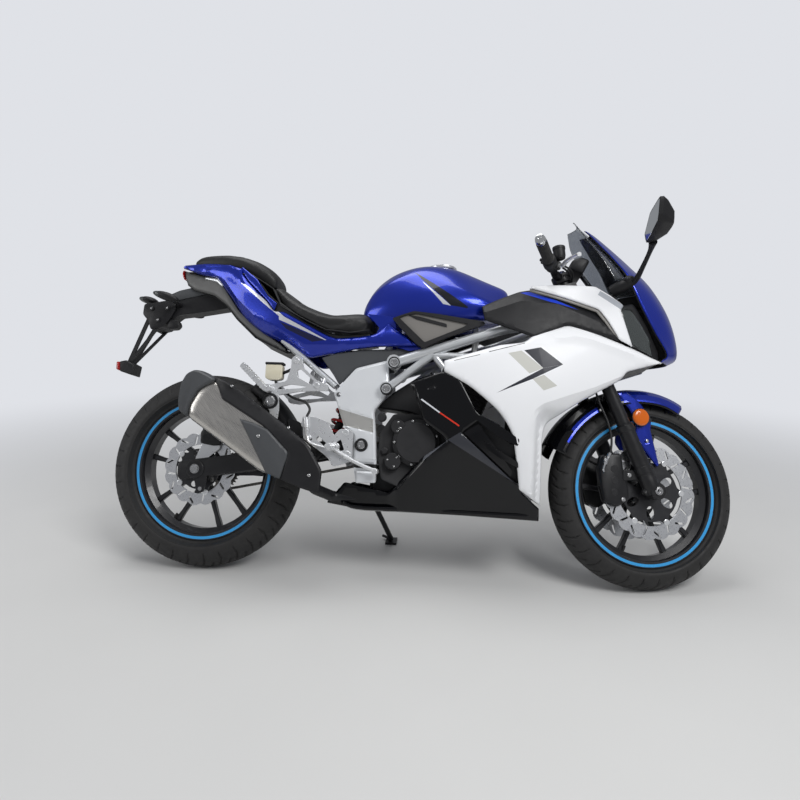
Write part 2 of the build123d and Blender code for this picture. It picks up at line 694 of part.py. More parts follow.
def rear_caliper():
    """Caliper over the top of the rear disc, with the reservoir that feeds it."""
    body = block((4, 70), (-102, -60), (384, 438))
    slot = block((-4, 80), (-REAR_DISC_Y - 5.5, -REAR_DISC_Y + 5.5), (370, REAR_AXLE_Z + REAR_DISC_R + 5.5))
    hanger = block((30, 60), (-101.9, -92), (330, 392))
    return body - slot + hanger


def chain():
    """Roller chain round both sprockets, as one closed band."""
    def band(extra):
        rings = [
            Pos(0, REAR_AXLE_Z) * Circle(SPROCKET_R + extra),
            Pos(*DRIVE_SPROCKET) * Circle(DRIVE_SPROCKET_R + extra),
        ]
        return make_hull([edge for ring in rings for edge in ring.edges()])
    flat = band(CHAIN_DEEP + CHAIN_GAP) - band(CHAIN_GAP)
    face = Plane(origin=(0, SPROCKET_Y + CHAIN_WIDE / 2, 0), x_dir=(1, 0, 0), z_dir=(0, -1, 0)) * flat
    return extrude(face, CHAIN_WIDE)


# ---------------------------------------------------------------- steering
def local(shape):
    """From the steering axis's own frame (ahead, left, up) into the machine's."""
    return STEER_PLANE * shape


def fork_legs():
    def leg(y):
        upper = Pos(LEG_LEAD, y, (FORK_TOP_W + SLIDER_TOP_W) / 2) * Cylinder(STANCHION_R, FORK_TOP_W - SLIDER_TOP_W)
        low = AXLE_W - 6
        lower = Pos(LEG_LEAD, y, (SLIDER_TOP_W + low) / 2) * Cylinder(SLIDER_R, SLIDER_TOP_W - low)
        side = 1 if y > 0 else -1
        foot = Pos(AXLE_U, y, AXLE_W) * Rot(90, 0, 0) * Cylinder(25, 46)
        return joined(upper, lower, foot)
    axle = Pos(AXLE_U, 0, AXLE_W) * Rot(90, 0, 0) * Cylinder(AXLE_R, 2 * LEG_SPACING + 52)
    return local(joined(leg(LEG_SPACING), leg(-LEG_SPACING), axle))


def triple_clamps():
    def clamp(w, thick, back):
        plate = Pos((back + LEG_LEAD + 26) / 2, 0, w) * Box(LEG_LEAD + 26 - back, 2 * LEG_SPACING + 58, thick)
        return plate
    low = HEAD_TUBE_W - HEAD_TUBE_HALF - CLAMP_GAP - LOWER_CLAMP_THICK / 2
    high = HEAD_TUBE_W + HEAD_TUBE_HALF + CLAMP_GAP + UPPER_CLAMP_THICK / 2
    stem = Pos(0, 0, (low + high) / 2) * Cylinder(STEM_R, high - low + 8)
    whole = joined(clamp(low, LOWER_CLAMP_THICK, -26), clamp(high, UPPER_CLAMP_THICK, -26), stem)
    for y in (-LEG_SPACING, LEG_SPACING):
        whole = whole - Pos(LEG_LEAD, y, HEAD_TUBE_W) * Cylinder(STANCHION_R + CLAMP_FIT, 4 * HEAD_TUBE_HALF)
    return local(whole)


# the bars lie in the steering axis's own frame: ahead, left, up from the fork's top
BAR_INNER = Vector(-3.5, 122, FORK_TOP_W - 6.5)
BAR_OUTER = Vector(-115.3, 338, FORK_TOP_W + 47.5)
BAR_R = 11.0


def handlebars():
    """Clip-on bars with their clamps and grips."""
    ring = Cylinder(STANCHION_R + 9, 24) - Cylinder(STANCHION_R + CLAMP_FIT, 30)
    ring = Pos(LEG_LEAD, LEG_SPACING, FORK_TOP_W - 20) * ring
    line = BAR_OUTER - BAR_INNER
    bar = rod(BAR_INNER - line * 0.1, BAR_OUTER, BAR_R)
    grip = rod(BAR_INNER + line * 0.5, BAR_INNER + line * 0.955, BAR_R + 5.5)
    weight = rod(BAR_INNER + line * 0.965, BAR_OUTER + line * 0.03, BAR_R + 4)
    clear = Pos(LEG_LEAD, LEG_SPACING, FORK_TOP_W - 140) * Cylinder(STANCHION_R + CLAMP_FIT, 300)
    return both(local(joined(ring, bar - clear, grip, weight) - clear))


def controls():
    """Levers, switch blocks and the brake reservoir, clamped on the bars."""
    line = BAR_OUTER - BAR_INNER
    ahead = Vector(0.658, 0.5, -0.497).normalized()
    start = BAR_INNER + line * 0.3
    block_ = rod(start, BAR_INNER + line * 0.47, 21) - rod(BAR_INNER, BAR_OUTER, BAR_R + SEAT_GAP)
    pivot = start + ahead * 20
    knee = pivot + ahead * 30 + line * 0.14
    lever = joined(rod(pivot, knee, 7), rod(knee, knee + line * 0.62, 6))
    side = joined(block_, lever)
    reservoir = rod(start + Vector(25.7, 16, 4.3), start + Vector(40, 16, 48.2), 19)
    left, right = local(side), local(joined(side, reservoir))
    return Compound(list(left.solids()) + [s.mirror(Plane.XZ) for s in right.solids()])


def front_fender():
    centre = Vector(WHEELBASE - 14, 0, FRONT_AXLE_Z)
    profile = [(-74, 288), (-69, 312), (-40, 326), (0, 331), (40, 326), (69, 312), (74, 288),
               (71, 287), (66, 310), (38, 322.5), (0, 327.5), (-38, 322.5), (-66, 310), (-71, 287)]
    face = Pos(*centre) * Face(ring_wire([(0, y, r) for y, r in profile]))
    arch = revolve(face, Axis(centre, (0, 1, 0)), 95)
    arch = arch.rotate(Axis(centre, (0, 1, 0)), 26 - 95)
    blade = prism([(1352, 470), (1330, 560), (1350, 588), (1412, 584), (1440, 366), (1424, 360), (1396, 430)], 71.8, 76.5)
    blade = joined(blade, disc_y(1357, 480, 11, 72, 90))
    blade = blade - local(Pos(LEG_LEAD, LEG_SPACING, 600) * Cylinder(SLIDER_R + SEAT_GAP, 700))
    return joined(arch, blade, blade.mirror(Plane.XZ))


def front_calipers():
    """A caliper behind each leg, open over its disc, with a lug to the leg."""
    body = prism([(1250, 300), (1256, 390), (1322, 402), (1338, 262), (1300, 236), (1264, 252)], 48, 88)
    slot = ring_y((TABLE_FRONT_X, FRONT_AXLE_Z), FRONT_DISC_Y - 5.5, FRONT_DISC_Y + 5.5, FRONT_DISC_R + 3, 20)
    lug = prism([(1320, 402), (1330, 340), (1384, 300), (1376, 400)], 78, 90)
    leg = local(Pos(LEG_LEAD, LEG_SPACING, 600) * Cylinder(SLIDER_R + SEAT_GAP, 700))
    return both(body - slot + lug - leg)


def brake_hose():
    return bent_tube([(1216, -70, 735), (1232, -74, 640), (1262, -84, 560), (1283, -86, 470), (1280, -82, 384)], 60, 3.5)


# ---------------------------------------------------------------- side stand
def fold_axis():
    """Hinge of the stand: square to the leg both down and folded."""
    leg = (stand_foot() - Vector(*STAND_PIVOT)).normalized()
    folded = Vector(*STAND_FOLD).normalized()
    return leg.cross(folded).normalized()


def stand_foot():
    """The point under which the foot meets the floor, in the upright frame."""
    x, y = STAND_FOOT_XY
    here = moved(PARK, (x, y, 0))
    rise = turned(PARK, (0, 0, 1)).Z
    return Vector(x, y, -here.Z / rise)


def side_stand():
    pivot = Vector(*STAND_PIVOT)
    hinge = fold_axis()
    foot = stand_foot()
    up = turned(PARK.inverse(), (0, 0, 1))
    ankle = foot + up * 12
    leg = joined(
        rod(pivot - hinge * 9, pivot + hinge * 9, 15),
        rod(pivot, ankle, 9),
        rod(ankle, ankle + Vector(-34, 26, 8), 5),
    )
    pad = Plane(origin=foot, z_dir=up).location * Pos(0, 0, 4) * Box(52, 40, 8)
    return joined(leg, pad) - rod(pivot - hinge * 20, pivot + hinge * 20, 6 + RUNNING_GAP)


def stand_bracket():
    """The lug and bolt that carry the stand, on the pivot plate's lower end."""
    pivot = Vector(*STAND_PIVOT)
    hinge = fold_axis()
    bolt = rod(pivot - hinge * 30, pivot + hinge * 12, 6)
    head = rod(pivot + hinge * 9.5, pivot + hinge * 14, 11)
    cheek = rod(pivot - hinge * 30, pivot - hinge * 9.5, 15)
    arm = rod(pivot - hinge * 29, (545, 82, 300), 7)
    return joined(bolt, head, cheek, arm)


# ---------------------------------------------------------------- assembly
REAR_HUB_HALF = 66.0
FRONT_HUB_HALF = 56.0


def build():
    """Every node's solids in the upright frame, with the body that it belongs to."""
    rear_bore = AXLE_R + RUNNING_GAP
    parts = {
        "rear_tyre": ("rear_wheel", tyre(REAR_AXLE, REAR_TYRE_R, REAR_TYRE_HALF)),
        "rear_rim": ("rear_wheel", rim(REAR_AXLE, REAR_TYRE_HALF, REAR_HUB_HALF, rear_bore)),
        "rear_disc": ("rear_wheel", wavy_disc(REAR_AXLE, -REAR_DISC_Y, REAR_DISC_R, 78, 79, rear_bore, 18)
                      + disc_y(0, REAR_AXLE_Z, 30, -REAR_DISC_Y, -REAR_HUB_HALF) - disc_y(0, REAR_AXLE_Z, rear_bore, -99, 0)),
        "rear_sprocket": ("rear_wheel", disc_y(0, REAR_AXLE_Z, SPROCKET_R, SPROCKET_Y - 3.5, SPROCKET_Y + 3.5)
                          + disc_y(0, REAR_AXLE_Z, 44, REAR_HUB_HALF, SPROCKET_Y)
                          - disc_y(0, REAR_AXLE_Z, rear_bore, 0, 120)),
        "front_tyre": ("front_wheel", tyre(FRONT_AXLE, FRONT_TYRE_R, FRONT_TYRE_HALF)),
        "front_rim": ("front_wheel", rim(FRONT_AXLE, FRONT_TYRE_HALF, FRONT_HUB_HALF, rear_bore)),
    }
    right_disc = wavy_disc(FRONT_AXLE, FRONT_DISC_Y, FRONT_DISC_R, 104, 105, rear_bore, 20)
    spacer = ring_y((TABLE_FRONT_X, FRONT_AXLE_Z), FRONT_HUB_HALF, FRONT_DISC_Y, 30, rear_bore)
    parts["front_discs"] = ("front_wheel", both(right_disc + spacer))

    chassis = {
        "main_frame": main_frame, "pivot_plates": pivot_plates, "swingarm": swingarm, "shock": shock,
        "engine": engine, "radiator": radiator, "exhaust_pipe": exhaust_pipe, "muffler_body": muffler_body,
        "muffler_end_cap": muffler_end_cap, "muffler_shield": muffler_shield, "subframe": subframe,
        "fuel_tank": fuel_tank, "tank_cap": tank_cap, "tank_side_panels": tank_side_panels,
        "tail_fairing": tail_fairing, "tail_undertray": tail_undertray,
        "rear_lamps": rear_lamps, "plate_bracket": plate_bracket, "side_fairings": side_fairings,
        "upper_fairing": upper_fairing, "intake_covers": intake_covers, "headlamps": headlamps,
        "nose_cowl": nose_cowl, "windscreen": windscreen, "instruments": instruments,
        "lower_fairing": lower_fairing, "mirrors": mirrors, "rider_footrests": rider_footrests,
        "passenger_footrests": passenger_footrests, "rear_caliper": rear_caliper, "chain": chain,
        "stand_bracket": stand_bracket,
    }
    for name, make in chassis.items():
        parts[name] = ("chassis", make())
    parts["rider_seat"] = ("chassis", cushion(RIDER_SEAT))
    parts["pillion_seat"] = ("chassis", cushion(PILLION_SEAT))

    steering = {
        "fork_legs": fork_legs, "triple_clamps": triple_clamps, "handlebars": handlebars, "controls": controls,
        "front_fender": front_fender, "front_calipers": front_calipers, "brake_hose": brake_hose,
    }
    for name, make in steering.items():
        parts[name] = ("steering", make())
    parts["side_stand"] = ("side_stand", side_stand())
    return parts


TRIMS = (
    # a piece, and the piece that it is cut back to
    ("exhaust_pipe", "engine"), ("exhaust_pipe", "muffler_body"), ("rider_seat", "fuel_tank"),
    ("pivot_plates", "main_frame"), ("subframe", "main_frame"), ("muffler_end_cap", "muffler_body"),
    ("stand_bracket", "pivot_plates"), ("subframe", "pivot_plates"), ("rear_lamps", "plate_bracket"),
    ("plate_bracket", "tail_undertray"), ("passenger_footrests", "subframe"), ("tail_undertray", "subframe"),
    ("lower_fairing", "engine"), ("radiator", "main_frame"), ("radiator", "side_fairings"),
    ("brake_hose", "front_calipers"), ("brake_hose", "triple_clamps"), ("subframe", "tail_fairing"),
    ("front_fender", "fork_legs"), ("instruments", "mirrors"), ("instruments", "nose_cowl"),
    ("instruments", "headlamps"), ("windscreen", "nose_cowl"), ("shock", "swingarm"), ("shock", "pivot_plates"),
    ("rear_caliper", "swingarm"), ("main_frame", "fuel_tank"), ("tank_side_panels", "fuel_tank"),
    ("tail_undertray", "tail_fairing"), ("rear_lamps", "tail_undertray"), ("passenger_footrests", "muffler_body"),
    ("rear_lamps", "tail_fairing"), ("rider_seat", "tail_fairing"), ("rider_seat", "pillion_seat"),
)


CRUMB = 1.0                 # a cut's leftovers, in cubic millimetres


def carry(body):
    """How a body goes from the upright frame to where it parks."""
    return PARK * STEER_TURN if body in ("steering", "front_wheel") else PARK


PARTS = build()
for piece, against in TRIMS:
    body, shape = PARTS[piece]
    cut = shape - PARTS[against][1]
    PARTS[piece] = (body, cut)
placed = {}
for name, (body, shape) in PARTS.items():
    placed[name] = Compound([carry(body) * solid for solid in shape.solids() if solid.volume > CRUMB])

lows = [shape.bounding_box(optimal=True).min for shape in placed.values()]
highs = [shape.bounding_box(optimal=True).max for shape in placed.values()]
CENTRE = Location((-(min(p.X for p in lows) + max(p.X for p in highs)) / 2,
                   -(min(p.Y for p in lows) + max(p.Y for p in highs)) / 2, 0))

os.makedirs("parts", exist_ok=True)
for name, shape in placed.items():
    solids = [CENTRE * solid for solid in shape.solids()]
    export_step(solids[0] if len(solids) == 1 else Compound(solids), f"parts/{name}.step")
print("nodes", len(placed), "lowest", round(min(p.Z for p in lows), 2))
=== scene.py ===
# %% [markdown]
# # A sport motorcycle on its side stand
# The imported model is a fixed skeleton: every node has its place, and the machine
# already leans on its stand with its handlebars turned a little. This lesson
# dresses that skeleton. First come the frame, the measures and the camera,
# then the finishes, then the wheels, the bodywork, the seats and the machinery.

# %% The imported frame
import json
from math import asin, atan2, cos, degrees, hypot, pi, radians, sin, sqrt

import bmesh
import bpy
import numpy as np
from mathutils import Matrix, Vector
from mathutils.geometry import delaunay_2d_cdt

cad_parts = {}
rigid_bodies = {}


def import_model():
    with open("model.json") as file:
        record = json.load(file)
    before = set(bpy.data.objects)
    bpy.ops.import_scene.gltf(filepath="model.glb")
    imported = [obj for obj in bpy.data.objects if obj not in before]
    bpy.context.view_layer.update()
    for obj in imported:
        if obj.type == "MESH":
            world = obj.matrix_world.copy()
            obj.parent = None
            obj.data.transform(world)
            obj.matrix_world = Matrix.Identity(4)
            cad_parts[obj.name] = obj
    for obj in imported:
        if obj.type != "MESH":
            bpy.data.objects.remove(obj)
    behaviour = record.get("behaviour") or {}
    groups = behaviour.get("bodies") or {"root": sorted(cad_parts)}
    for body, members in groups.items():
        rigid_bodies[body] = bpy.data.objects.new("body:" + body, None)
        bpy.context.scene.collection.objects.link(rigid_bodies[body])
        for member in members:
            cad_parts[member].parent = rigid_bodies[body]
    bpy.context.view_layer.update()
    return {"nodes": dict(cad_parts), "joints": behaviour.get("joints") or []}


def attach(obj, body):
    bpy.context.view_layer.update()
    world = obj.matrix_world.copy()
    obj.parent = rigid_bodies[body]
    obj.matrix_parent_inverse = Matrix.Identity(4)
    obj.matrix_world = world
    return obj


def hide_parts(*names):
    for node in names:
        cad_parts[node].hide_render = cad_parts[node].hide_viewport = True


for leftover in list(bpy.data.objects):
    bpy.data.objects.remove(leftover)
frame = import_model()

# %% [markdown]
# A motorcycle is drawn upright and straight: X forward, Y to the rider's left,
# Z up, in millimetres, with the origin on the floor under the rear axle. The
# parked machine leans, so every shape here is drawn upright and then carried by
# one matrix. The joints give that matrix: the rear axle is Y, and the steering
# axis lies a known rake back from vertical. A second matrix also turns the
# fork, the handlebars and the front wheel about the steering axis.

# %% From the drawing to the parked machine
RAKE = 23.0
REAR_AXLE_Z = 305.0
FRONT_AXLE = (1415.0, 290.0)
joints = {joint["name"]: joint for joint in frame["joints"]}


def joint_line(name):
    return Vector(joints[name]["pos_m"]), Vector(joints[name]["axis"]).normalized()


rear_axle, across = joint_line("rear_wheel_spin")
steer_point, steer_line = joint_line("steering_turn")
_, front_across = joint_line("front_wheel_spin")
ahead_of_steering = across.cross(steer_line)
forward = cos(radians(RAKE)) * ahead_of_steering - sin(radians(RAKE)) * steer_line
upward = sin(radians(RAKE)) * ahead_of_steering + cos(radians(RAKE)) * steer_line
origin = rear_axle - REAR_AXLE_Z * 0.001 * upward
PARKED = Matrix.Translation(origin) @ Matrix((forward, across, upward)).transposed().to_4x4()
turn = atan2(steer_line.dot(across.cross(front_across)), across.dot(front_across))
about_steering = (Matrix.Translation(steer_point) @ Matrix.Rotation(turn, 4, steer_line)
                  @ Matrix.Translation(-steer_point))
MM = Matrix.Scale(0.001, 4)
PLACES = {"chassis": PARKED @ MM, "rear_wheel": PARKED @ MM, "side_stand": PARKED @ MM,
          "steering": about_steering @ PARKED @ MM, "front_wheel": about_steering @ PARKED @ MM}
print("steering turned", round(degrees(turn), 2), "degrees; rear wheel on",
      [round(v, 4) for v in origin])

# %% [markdown]
# The camera stands at the machine's right side, a little ahead of its middle
# and at about chest height, looking slightly down, with a wide lens. Its place
# was measured in a frame that only leans 17 degrees, so one rotation takes that
# frame to the upright drawing and the parked matrix does the rest.

# %% The camera
PAN, TILT, ROLL = radians(-4.83), radians(10.08), radians(1.09)
sight = Vector((sin(PAN) * cos(TILT), cos(PAN) * cos(TILT), -sin(TILT)))
right = Vector((cos(PAN), -sin(PAN), 0))
top = right.cross(sight)
right, top = right * cos(ROLL) + top * sin(ROLL), top * cos(ROLL) - right * sin(ROLL)
camera_turn = Matrix((right, top, -sight)).transposed().to_4x4()
camera_data = bpy.data.cameras.new("camera")
camera_data.sensor_width = 36
camera_data.lens = 36 * 613 / 800
camera = bpy.data.objects.new("camera", camera_data)
camera.matrix_world = (PARKED @ Matrix.Rotation(radians(17), 4, "X")
                       @ Matrix.Translation((0.806, -1.846, 0.896)) @ camera_turn)
bpy.context.scene.collection.objects.link(camera)
bpy.context.scene.camera = camera
print("camera at", [round(v, 3) for v in camera.matrix_world.translation])

# %% [markdown]
# Shapes are kept as simple lists until they are whole: a shape is its points
# in drawing millimetres, its faces, and for each face the number of its finish.
# These helpers make the outlines and curves that all pieces share.

# %% Lines and outlines
def smooth_line(points, steps):
    """A curve through points, with a number of steps between each two."""
    p = np.array(points, float)
    p = np.vstack([2 * p[0] - p[1], p, 2 * p[-1] - p[-2]])
    out = []
    for i in range(1, len(p) - 2):
        for t in np.arange(steps) / steps:
            a, b, c, d = p[i - 1:i + 3]
            out.append(0.5 * (2 * b + (c - a) * t + (2 * a - 5 * b + 4 * c - d) * t ** 2
                              + (3 * b - a - 3 * c + d) * t ** 3))
    return np.array(out + [p[-2]])


def rounded(outline, radius, steps=4):
    """A closed outline with its corners rounded; radius is one number or one for each corner."""
    count = len(outline)
    radii = radius if isinstance(radius, (list, tuple)) else [radius] * count
    out = []
    for i, here in enumerate(outline):
        here = Vector(here)
        one, two = Vector(outline[i - 1]) - here, Vector(outline[(i + 1) % count]) - here
        reach = min(radii[i], one.length * 0.45, two.length * 0.45)
        start, end = here + one.normalized() * reach, here + two.normalized() * reach
        if reach < 0.05:
            out.append(tuple(here))
            continue
        for k in range(steps + 1):
            t = k / steps
            out.append(tuple(start * (1 - t) ** 2 + here * 2 * t * (1 - t) + end * t * t))
    return out


def turns(count):
    """Equal steps of angle round a circle."""
    return [2 * pi * k / count for k in range(count)]


def circle(x, z, radius, count):
    return [(x + radius * cos(a), z + radius * sin(a)) for a in turns(count)]


def on_line(line, value):
    """Height of a line of (x, height) points at x."""
    xs, ys = zip(*sorted(line))
    return np.interp(value, xs, ys)


def inside(outline, x, z):
    """Whether points are inside a closed outline."""
    x, z = np.asarray(x, float), np.asarray(z, float)
    result = np.zeros(x.shape, bool)
    for (x0, z0), (x1, z1) in zip(outline, outline[1:] + outline[:1]):
        if z0 == z1:
            continue
        crosses = ((z0 > z) != (z1 > z)) & (x < (x1 - x0) * (z - z0) / (z1 - z0) + x0)
        result ^= crosses
    return result


def edge_distance(outline, x, z, closed=True):
    """Distance of points from the nearest edge of an outline."""
    x, z = np.asarray(x, float), np.asarray(z, float)
    best = np.full(x.shape, 1e9)
    ends = outline[1:] + outline[:1] if closed else outline[1:]
    for (x0, z0), (x1, z1) in zip(outline, ends):
        dx, dz = x1 - x0, z1 - z0
        t = np.clip(((x - x0) * dx + (z - z0) * dz) / max(dx * dx + dz * dz, 1e-9), 0, 1)
        best = np.minimum(best, np.hypot(x - x0 - t * dx, z - z0 - t * dz))
    return best


# %% [markdown]
# Four makers' shapes cover most of a motorcycle: things turned on a lathe
# (wheels, discs, covers), tubes along a curve, flat plates cut to an outline,
# and sections joined along a line. Each helper returns a shape, so they can be
# mixed, mirrored and merged before they become one mesh.

# %% Turned, drawn, cut and joined shapes
def merge(*shapes):
    points, faces, finishes = [], [], []
    for p, f, m in shapes:
        faces += [[i + len(points) for i in face] for face in f]
        points += [tuple(v) for v in p]
        finishes += list(m)
    return points, faces, finishes


def painted(shape, number):
    points, faces, _ = shape
    return points, faces, [number] * len(faces)


def mirrored(shape):
    points, faces, finishes = shape
    return [(x, -y, z) for x, y, z in points], [list(reversed(face)) for face in faces], finishes


def both(shape):
    return merge(shape, mirrored(shape))


def moved(shape, x, z):
    points, faces, finishes = shape
    return [(px + x, py, pz + z) for px, py, pz in points], faces, finishes


def carried(shape, matrix):
    points, faces, finishes = shape
    return [tuple(matrix @ Vector(p)) for p in points], faces, finishes


def grid(rows, closed=False, round_rows=False):
    """Faces over rows of points. closed joins each row, round_rows the last row to the first."""
    wide = len(rows[0])
    points = [tuple(p) for row in rows for p in row]
    faces = []
    for i in range(len(rows) if round_rows else len(rows) - 1):
        for j in range(wide if closed else wide - 1):
            k, n = (i + 1) % len(rows), (j + 1) % wide
            faces.append([i * wide + j, i * wide + n, k * wide + n, k * wide + j])
    return points, faces, [0] * len(faces)


def capped(shape, wide):
    """Closes the first and last ring of a net of closed rows."""
    points, faces, finishes = shape
    ends = [list(reversed(range(wide))), list(range(len(points) - wide, len(points)))]
    return points, faces + ends, list(finishes) + [0, 0]


def lathe(profile, x, z, count, closed=True):
    """A profile of (radius, y) points turned about the line along Y through (x, z)."""
    rows = [[(x + r * cos(a), y, z + r * sin(a)) for r, y in profile] for a in turns(count)]
    return grid(rows, closed=closed, round_rows=True)


def ring_round(centre, side, other, radius, count):
    """Points of a circle round a centre, in the plane of two directions."""
    return [tuple(centre + (side * cos(a) + other * sin(a)) * radius) for a in turns(count)]


def turned_on(start, end, profile, count):
    """A profile of (radius, distance) turned about any line, from distance 0 to 1."""
    start, end = Vector(start), Vector(end)
    line = end - start
    side = line.orthogonal().normalized()
    other = line.normalized().cross(side)
    rows = [ring_round(start + line * d, side, other, r, count) for r, d in profile]
    return capped(grid(rows, closed=True), count)


def tube(path, radius, sides, steps):
    """A round tube along a smooth path; radius is one number or one for each point."""
    radii = radius if isinstance(radius, (list, tuple)) else [radius] * len(path)
    line = smooth_line([tuple(p) + (r,) for p, r in zip(path, radii)], steps)
    rows, side = [], None
    for i, (x, y, z, r) in enumerate(line):
        before, after = line[max(i - 1, 0)][:3], line[min(i + 1, len(line) - 1)][:3]
        along = Vector(after - before).normalized()
        if side is None:
            side = along.orthogonal().normalized()
        else:
            side = (side - along * side.dot(along)).normalized()
        other = along.cross(side)
        rows.append(ring_round(Vector((x, y, z)), side, other, r, sides))
    return capped(grid(rows, closed=True), sides)


def triangles(outline, holes):
    """Points and triangles that fill an outline, without its holes."""
    points, edges = [], []
    for loop in (outline, *holes):
        first = len(points)
        points += [Vector(p) for p in loop]
        edges += [(first + k, first + (k + 1) % len(loop)) for k in range(len(loop))]
    out, _, faces, *_ = delaunay_2d_cdt(points, edges, [], 0, 1e-5)
    middle = np.array([sum((out[i] for i in face), Vector((0, 0))) / len(face) for face in faces])
    keep = inside(list(outline), middle[:, 0], middle[:, 1])
    for hole in holes:
        keep &= ~inside(list(hole), middle[:, 0], middle[:, 1])
    faces = [face for face, good in zip(faces, keep) if good]
    used = sorted({i for face in faces for i in face})
    number = {old: new for new, old in enumerate(used)}
    flat = []
    for face in faces:
        a, b, c = (out[i] for i in face[:3])
        turn_ = (b - a).cross(c - a)
        flat.append([number[i] for i in (face if turn_ > 0 else reversed(face))])
    return [tuple(out[i]) for i in used], flat


def plate(outline, y_low, y_high, holes=()):
    """A side-view outline cut from a sheet between two y."""
    flat, faces = triangles(outline, holes)
    count = len(flat)
    points = [(x, y_low, z) for x, z in flat] + [(x, y_high, z) for x, z in flat]
    low = [list(face) for face in faces]
    high = [[i + count for i in reversed(face)] for face in faces]
    edges = dict.fromkeys(edge for face in faces for edge in zip(face, face[1:] + face[:1]))
    walls = [[b, a, a + count, b + count] for a, b in edges if (b, a) not in edges]
    faces = low + high + walls
    return points, faces, [0] * len(faces)


def sections(rows):
    """Closed sections joined in a row, with both ends closed."""
    return capped(grid(rows, closed=True), len(rows[0]))


# %% [markdown]
# A shape becomes a Blender object in one place. The points are carried to the
# parked machine, doubles are merged, faces are turned outwards, edges sharper
# than a given angle stay crisp, and modifiers for walls, bevels or subdivision
# are added. Each piece then gets its finishes, rides on its body, and hides the
# imported nodes it stands for.

# %% From a shape to a piece
def make_piece(name, shape, body, finishes, instead_of=(), sharp=32.0, bevel=0.0, wall=0.0,
               levels=0, turn_out=True, bevel_steps=2, crease=None):
    """Makes one piece of a shape: mesh, finishes, modifiers and body, and hides the replaced nodes.
    """
    points, faces, numbers = shape
    mesh = bpy.data.meshes.new(name)
    bm = bmesh.new()
    verts = [bm.verts.new(p) for p in points]
    for face, number in zip(faces, numbers):
        face = [i for k, i in enumerate(face) if i != face[k - 1]]
        try:
            made = bm.faces.new([verts[i] for i in face])
            made.material_index = number
        except ValueError:
            pass
    bmesh.ops.remove_doubles(bm, verts=bm.verts, dist=0.02)
    if turn_out:
        bmesh.ops.recalc_face_normals(bm, faces=bm.faces)
    if crease:
        layer = bm.edges.layers.float.new("crease_edge")
        for edge in bm.edges:
            edge[layer] = crease(edge)
    bm.transform(PLACES[body])
    bm.to_mesh(mesh)
    bm.free()
    for material in finishes if isinstance(finishes, (list, tuple)) else [finishes]:
        mesh.materials.append(material)
    mesh.shade_smooth()
    mesh.set_sharp_from_angle(angle=radians(sharp))
    piece = bpy.data.objects.new(name, mesh)
    bpy.context.scene.collection.objects.link(piece)
    if wall:
        solid = piece.modifiers.new("wall", "SOLIDIFY")
        solid.thickness, solid.offset = wall * 0.001, -1
        solid.use_even_offset = True
        solid.thickness_clamp = 1.0
    if bevel:
        edge = piece.modifiers.new("bevel", "BEVEL")
        edge.width, edge.segments, edge.limit_method = bevel * 0.001, bevel_steps, "ANGLE"
        edge.angle_limit = radians(sharp)
        edge.harden_normals = False
    if levels:
        soft = piece.modifiers.new("soft", "SUBSURF")
        soft.levels = soft.render_levels = levels
    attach(piece, body)
    if instead_of:
        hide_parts(*([instead_of] if isinstance(instead_of, str) else instead_of))
    print(f"{name}: {len(mesh.vertices)} points, {len(mesh.polygons)} faces on {body}")
    return piece


# %% [markdown]
# ## Finishes
# Paint, plastic, cast metal and rubber differ less in colour than in how they
# break up a reflection. One helper makes a Principled finish: its colour and
# metal are set on the shader's own sockets, and noise gives the roughness and
# the bump at the scale of the real surface. Object coordinates are in metres,
# so a scale of 900 is a grain of about a millimetre.

# %% The finish helper
def fill(node, values):
    """Sets a node's inputs from {name: value}."""
    for name, value in values.items():
        node.inputs[name].default_value = value


def finish(name, colour, metal=0.0, rough=(0.4, 0.5), rough_scale=60.0, bump=0.0, bump_scale=900.0,
           coat=0.0, blotch=None, blotch_scale=12.0, specular=0.5):
    """A material of one colour, with small changes of roughness, height and tone."""
    material = bpy.data.materials.new(name)
    material.use_nodes = True
    nodes, links = material.node_tree.nodes, material.node_tree.links
    shader = nodes["Principled BSDF"]
    shader.inputs["Base Color"].default_value = (*colour, 1)
    shader.inputs["Metallic"].default_value = metal
    shader.inputs["Specular IOR Level"].default_value = specular
    shader.inputs["Coat Weight"].default_value = coat
    shader.inputs["Coat Roughness"].default_value = 0.04
    place = nodes.new("ShaderNodeTexCoord")
    grain = nodes.new("ShaderNodeTexNoise")
    fill(grain, {"Scale": rough_scale, "Detail": 3.0})
    links.new(place.outputs["Object"], grain.inputs["Vector"])
    span = nodes.new("ShaderNodeMapRange")
    fill(span, {"From Min": 0.3, "From Max": 0.7})
    span.inputs["To Min"].default_value, span.inputs["To Max"].default_value = rough
    links.new(grain.outputs["Fac"], span.inputs["Value"])
    links.new(span.outputs["Result"], shader.inputs["Roughness"])
    if bump:
        fine = nodes.new("ShaderNodeTexNoise")
        fill(fine, {"Scale": bump_scale, "Detail": 2.0})
        links.new(place.outputs["Object"], fine.inputs["Vector"])
        raised = nodes.new("ShaderNodeBump")
        raised.name = "raised"
        fill(raised, {"Strength": bump, "Distance": 0.0004})
        links.new(fine.outputs["Fac"], raised.inputs["Height"])
        links.new(raised.outputs["Normal"], shader.inputs["Normal"])
    if blotch:
        wide = nodes.new("ShaderNodeTexNoise")
        wide.inputs["Scale"].default_value = blotch_scale
        links.new(place.outputs["Object"], wide.inputs["Vector"])
        mix = nodes.new("ShaderNodeMix")
        mix.data_type, mix.name = "RGBA", "body colour"
        fill(mix, {"A": (*colour, 1), "B": (*blotch, 1)})
        links.new(wide.outputs["Fac"], mix.inputs["Factor"])
        links.new(mix.outputs["Result"], shader.inputs["Base Color"])
    return material


